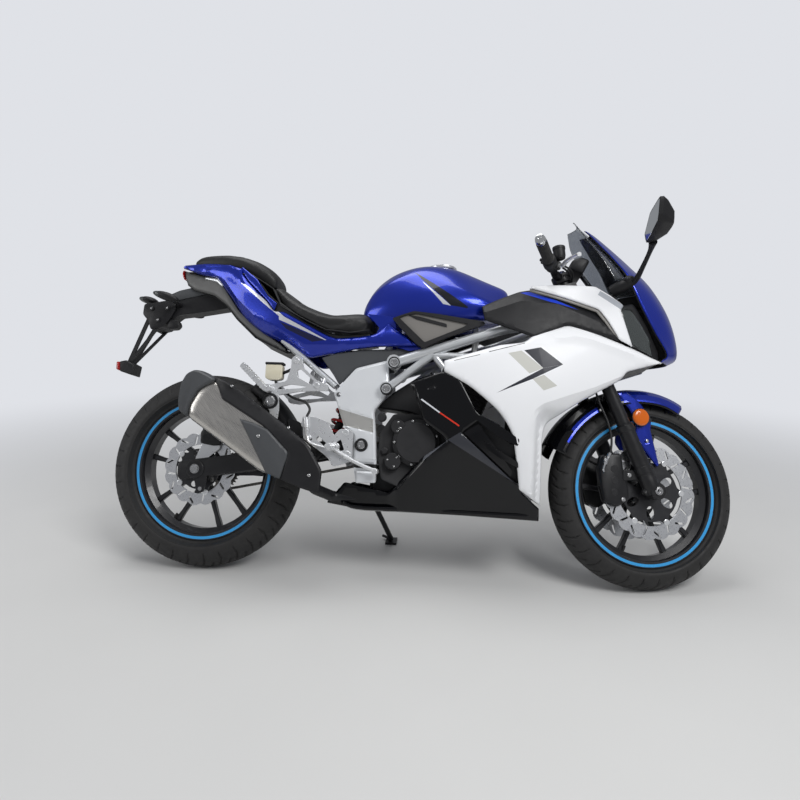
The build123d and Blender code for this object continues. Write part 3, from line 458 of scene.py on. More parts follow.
# %% [markdown]
# The plain finishes come first. Black paint is never quite black, moulded
# plastic has a fine even grain, and cast alloy is a little patchy, which is
# what keeps the many dark parts of the machine from melting together.

# %% Plain finishes
FINISHES = {
    "rubber": finish("tyre rubber", (0.016, 0.016, 0.017), rough=(0.55, 0.75), bump=0.25,
                     bump_scale=700, specular=0.35, blotch=(0.03, 0.029, 0.028), blotch_scale=9),
    "black alloy": finish("satin black alloy", (0.012, 0.012, 0.014), rough=(0.28, 0.38), bump=0.08,
                          coat=0.25, blotch=(0.02, 0.02, 0.023), blotch_scale=30),
    "black metal": finish("satin black metal", (0.009, 0.009, 0.01), rough=(0.32, 0.46), bump=0.15,
                          bump_scale=500, specular=0.35, blotch=(0.016, 0.016, 0.018),
                          blotch_scale=25),
    "engine black": finish("cast engine black", (0.014, 0.014, 0.015), rough=(0.42, 0.6), bump=0.45,
                           bump_scale=420, specular=0.35, blotch=(0.022, 0.022, 0.024),
                           blotch_scale=18),
    "gloss black": finish("gloss black paint", (0.0012, 0.0014, 0.0022), rough=(0.14, 0.18),
                          coat=0.25, specular=0.25, bump=0.02, bump_scale=60,
                          blotch=(0.002, 0.002, 0.003)),
    "dark plastic": finish("moulded dark plastic", (0.01, 0.01, 0.011), rough=(0.42, 0.52),
                           bump=0.3, bump_scale=1400, specular=0.3, blotch=(0.015, 0.015, 0.017),
                           blotch_scale=15),
    "grey plastic": finish("grey satin plastic", (0.062, 0.065, 0.07), rough=(0.38, 0.48),
                           bump=0.25, bump_scale=1500, specular=0.4, blotch=(0.066, 0.07, 0.075),
                           blotch_scale=10),
    "frame silver": finish("silver frame paint", (0.62, 0.64, 0.66), metal=0.55, rough=(0.28, 0.36),
                           coat=0.4, bump=0.05, bump_scale=300, blotch=(0.7, 0.72, 0.74),
                           blotch_scale=20),
    "stone plastic": finish("light grey plastic", (0.19, 0.18, 0.168), rough=(0.38, 0.48),
                            bump=0.25, bump_scale=1500),
    "tail plastic": finish("mid grey plastic", (0.1, 0.1, 0.098), rough=(0.36, 0.46), bump=0.25,
                           bump_scale=1500),
    "bare alloy": finish("machined alloy", (0.90, 0.91, 0.92), metal=0.7, rough=(0.26, 0.33),
                         rough_scale=60, bump=0.04, bump_scale=900, blotch=(0.68, 0.69, 0.71)),
    "white plate": finish("white silver plate", (0.72, 0.74, 0.77), metal=0.25, rough=(0.3, 0.4),
                          coat=0.3, bump=0.08, bump_scale=500, blotch=(0.8, 0.82, 0.84),
                          blotch_scale=14),
    "disc steel": finish("ground disc steel", (0.80, 0.81, 0.83), metal=1.0, rough=(0.26, 0.34),
                         rough_scale=200, bump=0.06, bump_scale=1300, blotch=(0.72, 0.73, 0.75),
                         blotch_scale=60),
    "chain steel": finish("oiled chain steel", (0.34, 0.32, 0.3), metal=1.0, rough=(0.3, 0.5),
                          bump=0.2, bump_scale=700, blotch=(0.2, 0.19, 0.18), blotch_scale=40),
    "bolt steel": finish("zinc bolt steel", (0.6, 0.6, 0.6), metal=1.0, rough=(0.2, 0.34),
                         rough_scale=300, bump=0.1, blotch=(0.45, 0.45, 0.46), blotch_scale=90),
    "white paint": finish("white paint", (0.84, 0.85, 0.87), rough=(0.34, 0.4), coat=0.1,
                          specular=0.3, bump=0.02, bump_scale=45, blotch=(0.87, 0.88, 0.9),
                          blotch_scale=4),
    "hose": finish("hose rubber", (0.013, 0.013, 0.014), rough=(0.45, 0.6), bump=0.2,
                   bump_scale=900),
    "rim tape": finish("light blue rim tape", (0.03, 0.33, 0.75), rough=(0.25, 0.35), coat=0.5,
                       bump=0.03, blotch=(0.05, 0.4, 0.82), blotch_scale=20),
    "cream plastic": finish("cream reservoir plastic", (0.72, 0.68, 0.55), rough=(0.3, 0.42),
                            bump=0.05, blotch=(0.62, 0.57, 0.42), blotch_scale=30),
    "red dot": finish("red enamel", (0.6, 0.02, 0.02), rough=(0.2, 0.3), coat=0.6),
    "fork gold": finish("dark anodised cap", (0.02, 0.025, 0.05), metal=0.8, rough=(0.25, 0.35),
                        bump=0.05),
}
print(len(FINISHES), "plain finishes")

# %% [markdown]
# The blue is a metallic paint: flakes under a clear coat. A fine cell pattern
# turns each flake a little by a bump, and a slow noise lets the blue drift
# between two close shades, as a sprayed coat does.

# %% Blue metallic paint
def blue_metallic(name):
    """Blue paint with a fine sparkle under its clear coat."""
    material = finish(name, (0.004, 0.026, 0.4), metal=0.6, rough=(0.24, 0.27), coat=0.6,
                      blotch=(0.004, 0.02, 0.33), blotch_scale=5)
    nodes, links = material.node_tree.nodes, material.node_tree.links
    flakes = nodes.new("ShaderNodeTexVoronoi")
    flakes.inputs["Scale"].default_value = 2600
    links.new(nodes["Texture Coordinate"].outputs["Object"], flakes.inputs["Vector"])
    sparkle = nodes.new("ShaderNodeBump")
    fill(sparkle, {"Strength": 0.015, "Distance": 0.0002})
    links.new(flakes.outputs["Color"], sparkle.inputs["Height"])
    links.new(sparkle.outputs["Normal"], nodes["Principled BSDF"].inputs["Normal"])
    return material


# %% [markdown]
# Stripes are cut into the paint of the panels, as decals are. A stripe is a
# convex outline in the side view. Each of its edges is a plane through the
# machine, so one dot product per edge tells on which side a point lies, and
# the smallest of them is positive only inside the stripe. The planes are
# carried to the parked machine, so the stripes stay crisp at any distance.

# %% Stripes in a paint
def add_stripes(material, stripes):
    """stripes: a list of (outline of (x, z) points, colour)."""
    nodes, links = material.node_tree.nodes, material.node_tree.links
    shader = nodes["Principled BSDF"]
    place = nodes["Texture Coordinate"]
    base = nodes.get("body colour")
    colour = base.outputs["Result"] if base else None
    for outline, tint in stripes:
        area = sum(a[0] * b[1] - b[0] * a[1] for a, b in zip(outline, outline[1:] + outline[:1]))
        loop = outline if area > 0 else outline[::-1]
        smallest = None
        for (ax, az), (bx, bz) in zip(loop, loop[1:] + loop[:1]):
            turned = PARKED.to_3x3() @ Vector((az - bz, 0, bx - ax)).normalized()
            offset = turned.dot(PARKED @ Vector((ax * 0.001, 0, az * 0.001)))
            dot = nodes.new("ShaderNodeVectorMath")
            dot.operation = "DOT_PRODUCT"
            dot.inputs[1].default_value = turned
            links.new(place.outputs["Object"], dot.inputs[0])
            ahead = nodes.new("ShaderNodeMath")
            ahead.operation = "SUBTRACT"
            ahead.inputs[1].default_value = offset
            links.new(dot.outputs["Value"], ahead.inputs[0])
            if smallest is None:
                smallest = ahead
            else:
                least = nodes.new("ShaderNodeMath")
                least.operation = "MINIMUM"
                links.new(smallest.outputs[0], least.inputs[0])
                links.new(ahead.outputs[0], least.inputs[1])
                smallest = least
        mask = nodes.new("ShaderNodeMapRange")
        fill(mask, {"From Min": -0.0002, "From Max": 0.0003})
        links.new(smallest.outputs[0], mask.inputs["Value"])
        mix = nodes.new("ShaderNodeMix")
        mix.data_type = "RGBA"
        mix.inputs["A"].default_value = shader.inputs["Base Color"].default_value
        mix.inputs["B"].default_value = (*tint, 1)
        if colour is not None:
            links.new(colour, mix.inputs["A"])
        links.new(mask.outputs["Result"], mix.inputs["Factor"])
        colour = mix.outputs["Result"]
    links.new(colour, shader.inputs["Base Color"])
    return material


# %% [markdown]
# Glass and clear plastic let light through, so their finish is transmission
# with a tint. The stainless muffler is brushed along its length, which a
# noise stretched along one direction gives.

# %% Clear and brushed finishes
def clear_finish(name, colour, amount, rough=0.03):
    material = finish(name, colour, rough=(rough, rough + 0.03), coat=0.3)
    shader = material.node_tree.nodes["Principled BSDF"]
    shader.inputs["Transmission Weight"].default_value = amount
    shader.inputs["IOR"].default_value = 1.45
    return material


def brushed(name, colour, direction):
    """Brushed metal, with fine lines along one direction."""
    material = finish(name, colour, metal=1.0, rough=(0.2, 0.42))
    nodes, links = material.node_tree.nodes, material.node_tree.links
    turned = PARKED.to_3x3() @ Vector(direction).normalized()
    pose = nodes.new("ShaderNodeMapping")
    facing = turned.to_track_quat("X", "Z").to_matrix()
    pose.inputs["Rotation"].default_value = facing.inverted().to_euler()
    stretch = nodes.new("ShaderNodeVectorMath")
    stretch.operation = "MULTIPLY"
    stretch.inputs[1].default_value = (20, 900, 900)
    links.new(nodes["Texture Coordinate"].outputs["Object"], pose.inputs["Vector"])
    links.new(pose.outputs["Vector"], stretch.inputs[0])
    noise = nodes["Noise Texture"]
    noise.inputs["Scale"].default_value = 1
    links.new(stretch.outputs["Vector"], noise.inputs["Vector"])
    lines = nodes.new("ShaderNodeBump")
    fill(lines, {"Strength": 0.12, "Distance": 0.0003})
    links.new(noise.outputs["Fac"], lines.inputs["Height"])
    links.new(lines.outputs["Normal"], nodes["Principled BSDF"].inputs["Normal"])
    return material


FINISHES["smoked screen"] = clear_finish("smoked clear screen", (0.52, 0.56, 0.62), amount=0.93)
FINISHES["lamp lens"] = clear_finish("clear lamp lens", (0.16, 0.18, 0.18), amount=0.7)
FINISHES["red lens"] = clear_finish("red lamp lens", (0.5, 0.008, 0.008), rough=0.08, amount=0.35)
FINISHES["amber lens"] = clear_finish("amber reflector", (0.9, 0.18, 0.01), rough=0.12, amount=0.25)
FINISHES["mirror glass"] = finish("mirror glass", (0.75, 0.78, 0.8), metal=1.0, rough=(0.02, 0.04))
FINISHES["chrome"] = finish("lamp reflector", (0.8, 0.81, 0.82), metal=1.0, rough=(0.06, 0.12),
                            rough_scale=90)
FINISHES["brushed steel"] = brushed("brushed stainless steel", (0.55, 0.53, 0.5), (250, 0, -280))

# %% [markdown]
# ## Floor and light
# Three big soft lamps show the shape without strong shadows. The world is
# pale, so gloss and metal have something bright to reflect, and the camera
# sees it brighter than the machine is lit by it.

# %% Lamps and world
# the backdrop's colour, its strength as light, and its strength as the camera sees it
BACKDROP, LIT_STRENGTH, SEEN_STRENGTH = (0.93, 0.95, 1.0, 1), 0.3, 0.8


def soft_lamp(name, place, aim, size, power):
    data = bpy.data.lights.new(name, "AREA")
    data.shape, data.size, data.energy = "SQUARE", size, power
    lamp = bpy.data.objects.new(name, data)
    aimed = (Vector(place) - Vector(aim)).to_track_quat("Z", "Y")
    lamp.matrix_world = Matrix.Translation(place) @ aimed.to_matrix().to_4x4()
    bpy.context.scene.collection.objects.link(lamp)


soft_lamp("key lamp", (1.9, -2.4, 3.4), (0.1, 0, 0.5), 1.7, 95)
soft_lamp("top lamp", (-0.6, 0.4, 4.0), (0, 0, 0.4), 2.4, 60)
soft_lamp("tail lamp", (-3.4, -1.6, 1.6), (-0.3, 0, 0.5), 1.4, 22)
world = bpy.data.worlds.new("studio")
bpy.context.scene.world = world
world.use_nodes = True
sky = world.node_tree.nodes["Background"]
sky.inputs["Color"].default_value = BACKDROP
paths = world.node_tree.nodes.new("ShaderNodeLightPath")
seen = world.node_tree.nodes.new("ShaderNodeMapRange")
fill(seen, {"To Min": LIT_STRENGTH, "To Max": SEEN_STRENGTH})
world.node_tree.links.new(paths.outputs["Is Camera Ray"], seen.inputs["Value"])
world.node_tree.links.new(seen.outputs["Result"], sky.inputs["Strength"])
bpy.context.scene.view_settings.view_transform = "Standard"

# %% [markdown]
# Far from the machine the camera sees the floor in the colour of the backdrop,
# so that no horizon shows. Only the camera's own rays see it so. The light on
# the machine comes from the true floor.

# %% The floor
def fade_far_floor(material):
    """Lets the far floor fade into the backdrop where the camera sees it."""
    nodes, links = material.node_tree.nodes, material.node_tree.links
    distance = nodes.new("ShaderNodeVectorMath")
    distance.operation = "LENGTH"
    links.new(nodes["Texture Coordinate"].outputs["Object"], distance.inputs[0])
    far = nodes.new("ShaderNodeMapRange")
    far.interpolation_type = "SMOOTHSTEP"
    fill(far, {"From Min": 0.9, "From Max": 4.2})
    links.new(distance.outputs["Value"], far.inputs["Value"])
    path = nodes.new("ShaderNodeLightPath")
    amount = nodes.new("ShaderNodeMath")
    amount.operation = "MULTIPLY"
    links.new(far.outputs["Result"], amount.inputs[0])
    links.new(path.outputs["Is Camera Ray"], amount.inputs[1])
    plain = nodes.new("ShaderNodeEmission")
    plain.inputs["Color"].default_value = BACKDROP
    plain.inputs["Strength"].default_value = SEEN_STRENGTH
    mix = nodes.new("ShaderNodeMixShader")
    links.new(amount.outputs[0], mix.inputs["Fac"])
    links.new(nodes["Principled BSDF"].outputs["BSDF"], mix.inputs[1])
    links.new(plain.outputs["Emission"], mix.inputs[2])
    links.new(mix.outputs["Shader"], nodes["Material Output"].inputs["Surface"])


floor_mesh = bpy.data.meshes.new("floor")
floor_mesh.from_pydata([(-40, -40, 0), (40, -40, 0), (40, 40, 0), (-40, 40, 0)], [], [(0, 1, 2, 3)])
floor_finish = finish("pale floor", (0.62, 0.62, 0.61), rough=(0.6, 0.75), rough_scale=3, bump=0.1,
                      bump_scale=120, blotch=(0.66, 0.66, 0.65), blotch_scale=2)
fade_far_floor(floor_finish)
floor_mesh.materials.append(floor_finish)
floor_object = bpy.data.objects.new("floor", floor_mesh)
bpy.context.scene.collection.objects.link(floor_object)

# %% [markdown]
# ## Wheels
# A sport tyre is round from shoulder to shoulder, so its profile is a wide
# arc, with flat sidewalls down to the rim. The tread is a pattern of slanted
# grooves that mirrors about the middle. The tyre is one fine net, turned about
# its axle, and the grooves are pressed into it by a rule, because a real mould
# does the same.

# %% Tyres
BEAD_R, LIP_R = 219.3, 232.0
TYRE_STEPS, TREAD_PITCHES, GROOVE_DEPTH = 864, 34, 3.6
# each groove's shift round the tyre, its start and end across it, its slant and its half width
GROOVES = ((0.0, 0.08, 0.62, 0.9, 0.055), (0.5, 0.3, 0.86, 0.75, 0.05),
           (0.25, 0.7, 0.97, 0.35, 0.04))
EDGE_ANGLE = 80


def groove(u, v):
    """Share of the grooves' depth at u (round, in pitches) and v (across, -1 to 1)."""
    depth = 0.0
    for shift, start, end, slant, wide in GROOVES:
        for side in (-1, 1):
            w = v * side
            t = (u + (0.5 if side > 0 else 0.0) + shift - slant * w) % 1.0
            t = np.minimum(t, 1 - t)
            along = np.clip((w - start) / 0.06, 0, 1) * np.clip((end - w) / 0.06, 0, 1)
            depth = np.maximum(depth, np.clip((wide - t) / 0.018, 0, 1) * along)
    return depth


def tyre_profile(outer, half):
    """Points (radius, y, place across) round a tyre; only the tread has a place."""
    crown = outer - half
    tread = [(crown + half * cos(a), half * sin(a), sin(a) / sin(radians(EDGE_ANGLE)))
             for a in (radians(d) for d in np.linspace(-EDGE_ANGLE, EDGE_ANGLE, 61))]
    side_r, side_y, _ = tread[-1]
    bead = half * 0.62
    wall = [(side_r - 5, side_y - 0.4), (side_r - 6.2, side_y - 1.6), (side_r - 7.6, side_y - 1.6),
            (side_r - 9, side_y - 1.0), (side_r * 0.5 + LIP_R * 0.5, (side_y + bead + 8) / 2 + 1.6),
            (LIP_R + 9, bead + 9.5), (LIP_R + 7.5, bead + 7.4), (LIP_R + 3, bead + 5.4),
            (LIP_R + 1, bead), (BEAD_R, bead)]
    profile = [(r, -y, None) for r, y in reversed(wall)] + tread + [(r, y, None) for r, y in wall]
    return profile + [(BEAD_R, bead - 8, None), (outer - 20, 0.0, None), (BEAD_R, -bead + 8, None)]


def tyre_shape(x, z, outer, half):
    """A tyre as one fine net about its axle, with the grooves pressed in."""
    profile = tyre_profile(outer, half)
    points = np.zeros((TYRE_STEPS, len(profile), 3))
    turned = 2 * pi * np.arange(TYRE_STEPS) / TYRE_STEPS
    for j, (r, y, v) in enumerate(profile):
        radius, across_y = np.full(TYRE_STEPS, r), np.full(TYRE_STEPS, y)
        if v is not None:
            sink = groove(turned / (2 * pi) * TREAD_PITCHES, v) * GROOVE_DEPTH
            a = asin(max(-1, min(1, y / half)))
            radius, across_y = r - sink * cos(a), y - sink * sin(a)
        points[:, j, 0], points[:, j, 1] = x + radius * np.cos(turned), across_y
        points[:, j, 2] = z + radius * np.sin(turned)
    return grid(points.tolist(), closed=True, round_rows=True)


for wheel, middle, outer, half in (("rear", (0.0, REAR_AXLE_Z), 318.6, 73.6),
                                   ("front", FRONT_AXLE, 297.6, 56.6)):
    make_piece("tyre_" + wheel, tyre_shape(*middle, outer, half), wheel + "_wheel",
               FINISHES["rubber"], instead_of=wheel + "_tyre", sharp=50)

# %% [markdown]
# The cast rims have a deep barrel, a light blue tape round each outer lip and
# five pairs of slim spokes that start together at the hub and spread apart
# towards the barrel. The barrel and hub are turned; each spoke is a run of
# sections whose edges are bevelled, so light catches them.

# %% Rims
BEVELLED_BOX = ((-1, -0.72), (-0.72, -1), (0.72, -1), (1, -0.72), (1, 0.72), (0.72, 1), (-0.72, 1),
                (-1, 0.72))


def spoke_shape(angle, hub_r, reach, lean, wide, deep):
    """A tapering spoke: stations along its radius, each a bevelled box."""
    rows = []
    for t in (0.0, 0.12, 0.4, 0.75, 0.93, 1.0):
        r = hub_r + (reach - hub_r) * t
        w = wide[0] + (wide[1] - wide[0]) * t + (2.5 if t > 0.9 else 0) + (3 if t < 0.05 else 0)
        d = deep[0] + (deep[1] - deep[0]) * t
        drift = lean * (t - 1) * 10
        ca, sa = cos(angle), sin(angle)
        ring = []
        for a, b in BEVELLED_BOX:
            s, y = a * w + drift, b * d
            ring.append((r * ca - s * sa, y, r * sa + s * ca))
        rows.append(ring)
    return sections(rows)


HUB_R, SPOKE_PAIRS, PAIR_SPREAD = 34.0, 5, 14


def rim_shape(x, z, half, hub_half, start):
    """A rim: turned barrel with its tape, turned hub and the pairs of spokes."""
    bead, lip = half * 0.62, half * 0.62 + 4.6
    inner, seat, flange, well = 210.0, 219.0, 230.8, 16.0
    tape = [(flange - 0.6, lip - 0.2), (flange - 3.6, lip), (inner + 8.5, lip)]
    outer_side = [(inner + 7, lip), (inner + 2, lip - 0.6), (inner, lip - 4),
                  (inner, half * 0.35 + 4), (inner - well, half * 0.25)]
    profile = ([(flange, bead + 1), (flange, lip - 1.2)] + tape + outer_side
               + [(r, -y) for r, y in reversed(outer_side)] + [(r, -y) for r, y in reversed(tape)]
               + [(flange, -lip + 1.2), (flange, -bead - 1), (flange - 2, -bead - 0.3),
                  (seat, -bead - 0.3), (seat, -half * 0.3), (seat - well, -half * 0.2),
                  (seat - well, half * 0.2), (seat, half * 0.3),
                  (seat, bead + 0.3), (flange - 2, bead + 0.3)])
    barrel = lathe(profile, 0, 0, 144)
    wide = len(profile)
    taped = []
    for number in range(len(barrel[1])):
        j = number % wide
        r = (profile[j][0] + profile[(j + 1) % wide][0]) / 2
        y = (profile[j][1] + profile[(j + 1) % wide][1]) / 2
        taped.append(1 if abs(y) > lip - 0.4 and inner + 8 < r < flange - 2.5 else 0)
    barrel = (barrel[0], barrel[1], taped)
    hub = lathe([(8.6, -hub_half), (20, -hub_half), (23, -hub_half + 2), (23, -hub_half + 9),
                 (HUB_R - 2, -24), (HUB_R, -20), (HUB_R, 20), (HUB_R - 2, 24), (23, hub_half - 9),
                 (23, hub_half - 2), (20, hub_half), (8.6, hub_half)], 0, 0, 48)
    parts = [barrel, hub]
    for pair in range(SPOKE_PAIRS):
        for side in (-1, 1):
            angle = radians(start + pair * 360 / SPOKE_PAIRS + side * PAIR_SPREAD)
            parts.append(spoke_shape(angle, HUB_R - 4, inner - well + 4, -side * 1.1, (9.0, 6.2),
                                     (14, 9.5)))
    return moved(merge(*parts), x, z)


make_piece("rim_rear", rim_shape(0, REAR_AXLE_Z, 74.0, 66.0, start=84.0), "rear_wheel",
           [FINISHES["black alloy"], FINISHES["rim tape"]], instead_of="rear_rim",
           sharp=28)
make_piece("rim_front", rim_shape(*FRONT_AXLE, 57.0, 56.0, start=90.0), "front_wheel",
           [FINISHES["black alloy"], FINISHES["rim tape"]], instead_of="front_rim",
           sharp=28)

# %% [markdown]
# Brake discs are cut from sheet steel with a scalloped edge, slots that cool
# the pads and a lighter carrier inside, fixed by round bobbins. A disc is a
# flat outline, so it is drawn once in the side view and given its thickness.

# %% Brake discs
def slot_outline(centre, angle, length, wide, tilt):
    ca, sa = cos(angle + tilt), sin(angle + tilt)
    out = []
    for a in turns(12):
        u, v = cos(a) * wide + (length if cos(a) > 0 else -length), sin(a) * wide
        out.append((centre[0] + u * ca - v * sa, centre[1] + u * sa + v * ca))
    return out


def disc_outline(radius, lobes, deep, start):
    out = []
    for a in turns(lobes * 10):
        wave = abs(sin((a - start) * lobes / 2)) ** 0.7
        r = radius - deep * (1 - wave)
        out.append((r * cos(a), r * sin(a)))
    return out


DISC_THICK = 4.6


def brake_disc(x, z, y, radius, inner, lobes, bobbins):
    """A slotted brake ring with its carrier and a round bobbin at each joint."""
    holes = []
    for k in range(lobes):
        a = 2 * pi * (k + 0.5) / lobes
        r = (radius + inner) / 2 + (4 if k % 2 else -5)
        holes.append(slot_outline((r * cos(a), r * sin(a)), a, (radius - inner) * 0.25, 3.2,
                                  0.75 if k % 2 else -0.35))
    ring = plate(disc_outline(radius - 0.4, lobes, 8.5, 0.1), y - DISC_THICK / 2,
                 y + DISC_THICK / 2, holes=[circle(0, 0, inner, 72)] + holes)
    carrier_out = []
    for a in turns(bobbins * 12):
        tab = max(0.0, cos((a * bobbins))) ** 3
        r = inner - 13 + tab * 16
        carrier_out.append((r * cos(a), r * sin(a)))
    windows = []
    for k in range(bobbins):
        a = 2 * pi * (k + 0.5) / bobbins
        r = (inner + 40) / 2 - 8
        windows.append([(r * cos(a) + (inner - 62) * 0.5 * cos(b) * cos(a) - 13 * sin(b) * sin(a),
                         r * sin(a) + (inner - 62) * 0.5 * cos(b) * sin(a) + 13 * sin(b) * cos(a))
                        for b in np.linspace(0, 2 * pi, 15)[:-1]] if inner > 85 else
                       circle(r * cos(a), r * sin(a), 9.5, 16))
    inner_plate = plate(carrier_out, y - DISC_THICK / 2 + 0.5, y + DISC_THICK / 2 - 0.5,
                        holes=[circle(0, 0, 9.0, 32)] + windows)
    buttons = []
    for a in turns(bobbins):
        bx, bz = (inner - 1) * cos(a), (inner - 1) * sin(a)
        buttons.append(turned_on((bx, y - DISC_THICK / 2 - 1.2, bz),
                                 (bx, y + DISC_THICK / 2 + 1.2, bz),
                                 [(3, 0), (8.0, 0), (9.0, 0.12), (9.0, 0.88), (8.0, 1), (3, 1)],
                                 18))
    return moved(merge(ring, painted(inner_plate, 1), painted(merge(*buttons), 2)), x, z)


def spacer(x, z, low, high, radius=30.0):
    return lathe([(9, low), (radius - 1, low), (radius, low + 1), (radius, high - 1),
                  (radius - 1, high), (9, high)], x, z, 40)


DISC_FINISHES = [FINISHES["disc steel"], FINISHES["black alloy"], FINISHES["bare alloy"]]
make_piece("disc_rear", merge(brake_disc(0, REAR_AXLE_Z, -78, 118, 79, 16, 5),
                              painted(spacer(0, REAR_AXLE_Z, -76, -66), 1)),
           "rear_wheel", DISC_FINISHES, instead_of="rear_disc", bevel=0.5,
           bevel_steps=1)
make_piece("discs_front", both(merge(brake_disc(*FRONT_AXLE, -64, 147, 104, 20, 6),
                                     painted(spacer(*FRONT_AXLE, -62, -56), 1))),
           "front_wheel", DISC_FINISHES, instead_of="front_discs", bevel=0.5,
           bevel_steps=1)

# %% [markdown]
# Each rim has a short rubber valve stem with a cap. It is a turned profile
# that starts at the rim's well and points to the hub.

# %% Valve stems
def valve(x, z, y, angle):
    way = Vector((cos(radians(angle)), 0, sin(radians(angle))))
    foot = Vector((x, y, z)) + way * 212
    return turned_on(foot, foot - way * 36, [(1, 0), (7, 0.0), (5, 0.15), (3.6, 0.35), (3.6, 0.66),
                                             (4.4, 0.68), (4.4, 0.98), (3, 1), (1, 1)], 14)


make_piece("valve_rear", valve(0, REAR_AXLE_Z, -14, 239), "rear_wheel", FINISHES["rubber"],
           sharp=30)
make_piece("valve_front", valve(*FRONT_AXLE, -12, 250), "front_wheel", FINISHES["rubber"],
           sharp=30)

# %% [markdown]
# ## Fairings
# Thin moulded panels follow one common surface: the skin of the machine. A
# table gives its half width at stations along the machine and at six heights,
# and smooth interpolation fills in the rest. Each panel is the part of that
# skin inside its side-view outline. The sheet is filled with small triangles,
# pushed out to the skin, creased along its styling lines, rolled in at its
# edge and then given a wall by Solidify. The tail has a skin table of its own.

# %% The skin of the machine
SKIN_HEIGHTS = (930, 820, 700, 560, 430, 200)
SKIN = (
    (420, 110, 128, 132, 132, 128, 92), (620, 120, 146, 160, 164, 156, 108),
        (760, 130, 165, 192, 200, 190, 122),
    (900, 160, 178, 208, 218, 205, 132), (1010, 172, 188, 212, 222, 210, 140),
        (1100, 172, 186, 208, 215, 198, 146),
    (1220, 152, 170, 186, 188, 170, 130), (1340, 112, 138, 152, 150, 130, 110),
        (1460, 60, 86, 104, 102, 90, 80),
)
TAIL_HEIGHTS = (1000, 900, 800, 700)
TAIL_SKIN = (
    (-130, 44, 40, 40, 40), (0, 84, 76, 60, 60), (100, 104, 110, 92, 80), (250, 122, 136, 134, 112),
    (400, 128, 140, 146, 132), (560, 128, 140, 150, 140), (700, 128, 140, 150, 146),
)


def cubic(knots, values, at):
    """Smooth interpolation through knots that rise."""
    knots, values, at = np.array(knots, float), np.array(values, float), np.asarray(at, float)
    slope = np.gradient(values, knots, axis=0)
    i = np.clip(np.searchsorted(knots, at) - 1, 0, len(knots) - 2)
    h = knots[i + 1] - knots[i]
    t = np.clip((at - knots[i]) / h, 0, 1)
    a, b = (2 * t ** 3 - 3 * t ** 2 + 1), (t ** 3 - 2 * t ** 2 + t) * h
    c, d = (3 * t ** 2 - 2 * t ** 3), (t ** 3 - t ** 2) * h
    if values.ndim == 1:
        return a * values[i] + b * slope[i] + c * values[i + 1] + d * slope[i + 1]
    return (a[:, None] * values[i] + b[:, None] * slope[i] + c[:, None] * values[i + 1]
            + d[:, None] * slope[i + 1])


def half_width(table, heights, x, z):
    """Half width of a skin table at points of the side view."""
    rows = cubic([r[0] for r in table], [r[1:] for r in table], x)
    rise = np.array(heights[::-1], float)
    return np.array([cubic(rise, row[::-1], [height])[0]
                     for row, height in zip(rows, np.clip(z, rise[0], rise[-1]))])


def skin_at(x, z):
    """Half width of the fairings' skin at one point of the side view."""
    return float(half_width(SKIN, SKIN_HEIGHTS, [x], [z])[0])


def split_edges(loop, step):
    """A closed outline with its long edges divided."""
    out = []
    for a, b in zip(loop, loop[1:] + loop[:1]):
        pieces = max(1, round(hypot(b[0] - a[0], b[1] - a[1]) / step))
        out += [(a[0] + (b[0] - a[0]) * k / pieces, a[1] + (b[1] - a[1]) * k / pieces)
                for k in range(pieces)]
    return out


# %% [markdown]
# A panel is filled with triangles from four kinds of points: its edge, two
# rings just inside the edge, its styling lines, and an even net elsewhere.
# The rings let the edge roll in smoothly, and the lines keep creases straight.

# %% Panels cut from the skin
def rings_inside(loop, roll_wide):
    """Two rings of points just inside a closed outline."""
    area = sum(a[0] * b[1] - b[0] * a[1] for a, b in zip(loop, loop[1:] + loop[:1]))
    out = []
    for reach in (roll_wide * 0.35, roll_wide):
        ring = []
        for k, here in enumerate(loop):
            before, here, after = Vector(loop[k - 1]), Vector(here), Vector(loop[(k
                                                                                  + 1) % len(loop)])
            one, two = (here - before).normalized(), (after - here).normalized()
            middle = Vector((-(one.y + two.y), one.x + two.x))
            if middle.length < 1e-6:
                continue
            ring.append(here + middle.normalized() * (1 if area > 0 else -1) * reach)
        x, z = np.array([p.x for p in ring]), np.array([p.y for p in ring])
        good = inside(loop, x, z) & (edge_distance(loop, x, z) > reach * 0.93)
        out += [p for p, g in zip(ring, good) if g]
    return out


def even_net(loop, step, margin, lines, holes):
    """An even net of points inside a closed outline, clear of its edge, lines and holes."""
    xs, zs = np.array([p[0] for p in loop]), np.array([p[1] for p in loop])
    x, z = np.meshgrid(np.arange(xs.min() + step / 2, xs.max(), step),
                       np.arange(zs.min() + step / 2, zs.max(), step))
    x = x + (np.arange(x.shape[0]) % 2)[:, None] * step / 2
    x, z = x.ravel(), z.ravel()
    keep = inside(loop, x, z) & (edge_distance(loop, x, z) > margin)
    for line in lines:
        keep &= edge_distance(line, x, z, closed=False) > step * 0.35
    for hole in holes:
        keep &= edge_distance(hole, x, z) > step * 0.35
    return [Vector(p) for p in zip(x[keep], z[keep])]


def divided(line, step):
    """Points along an open line, about one step apart."""
    out = []
    for a, b in zip(line, line[1:]):
        a, b = Vector(a), Vector(b)
        pieces = max(1, int((b - a).length / step))
        out += [a.lerp(b, k / pieces) for k in range(pieces)]
    return out + [Vector(line[-1])]


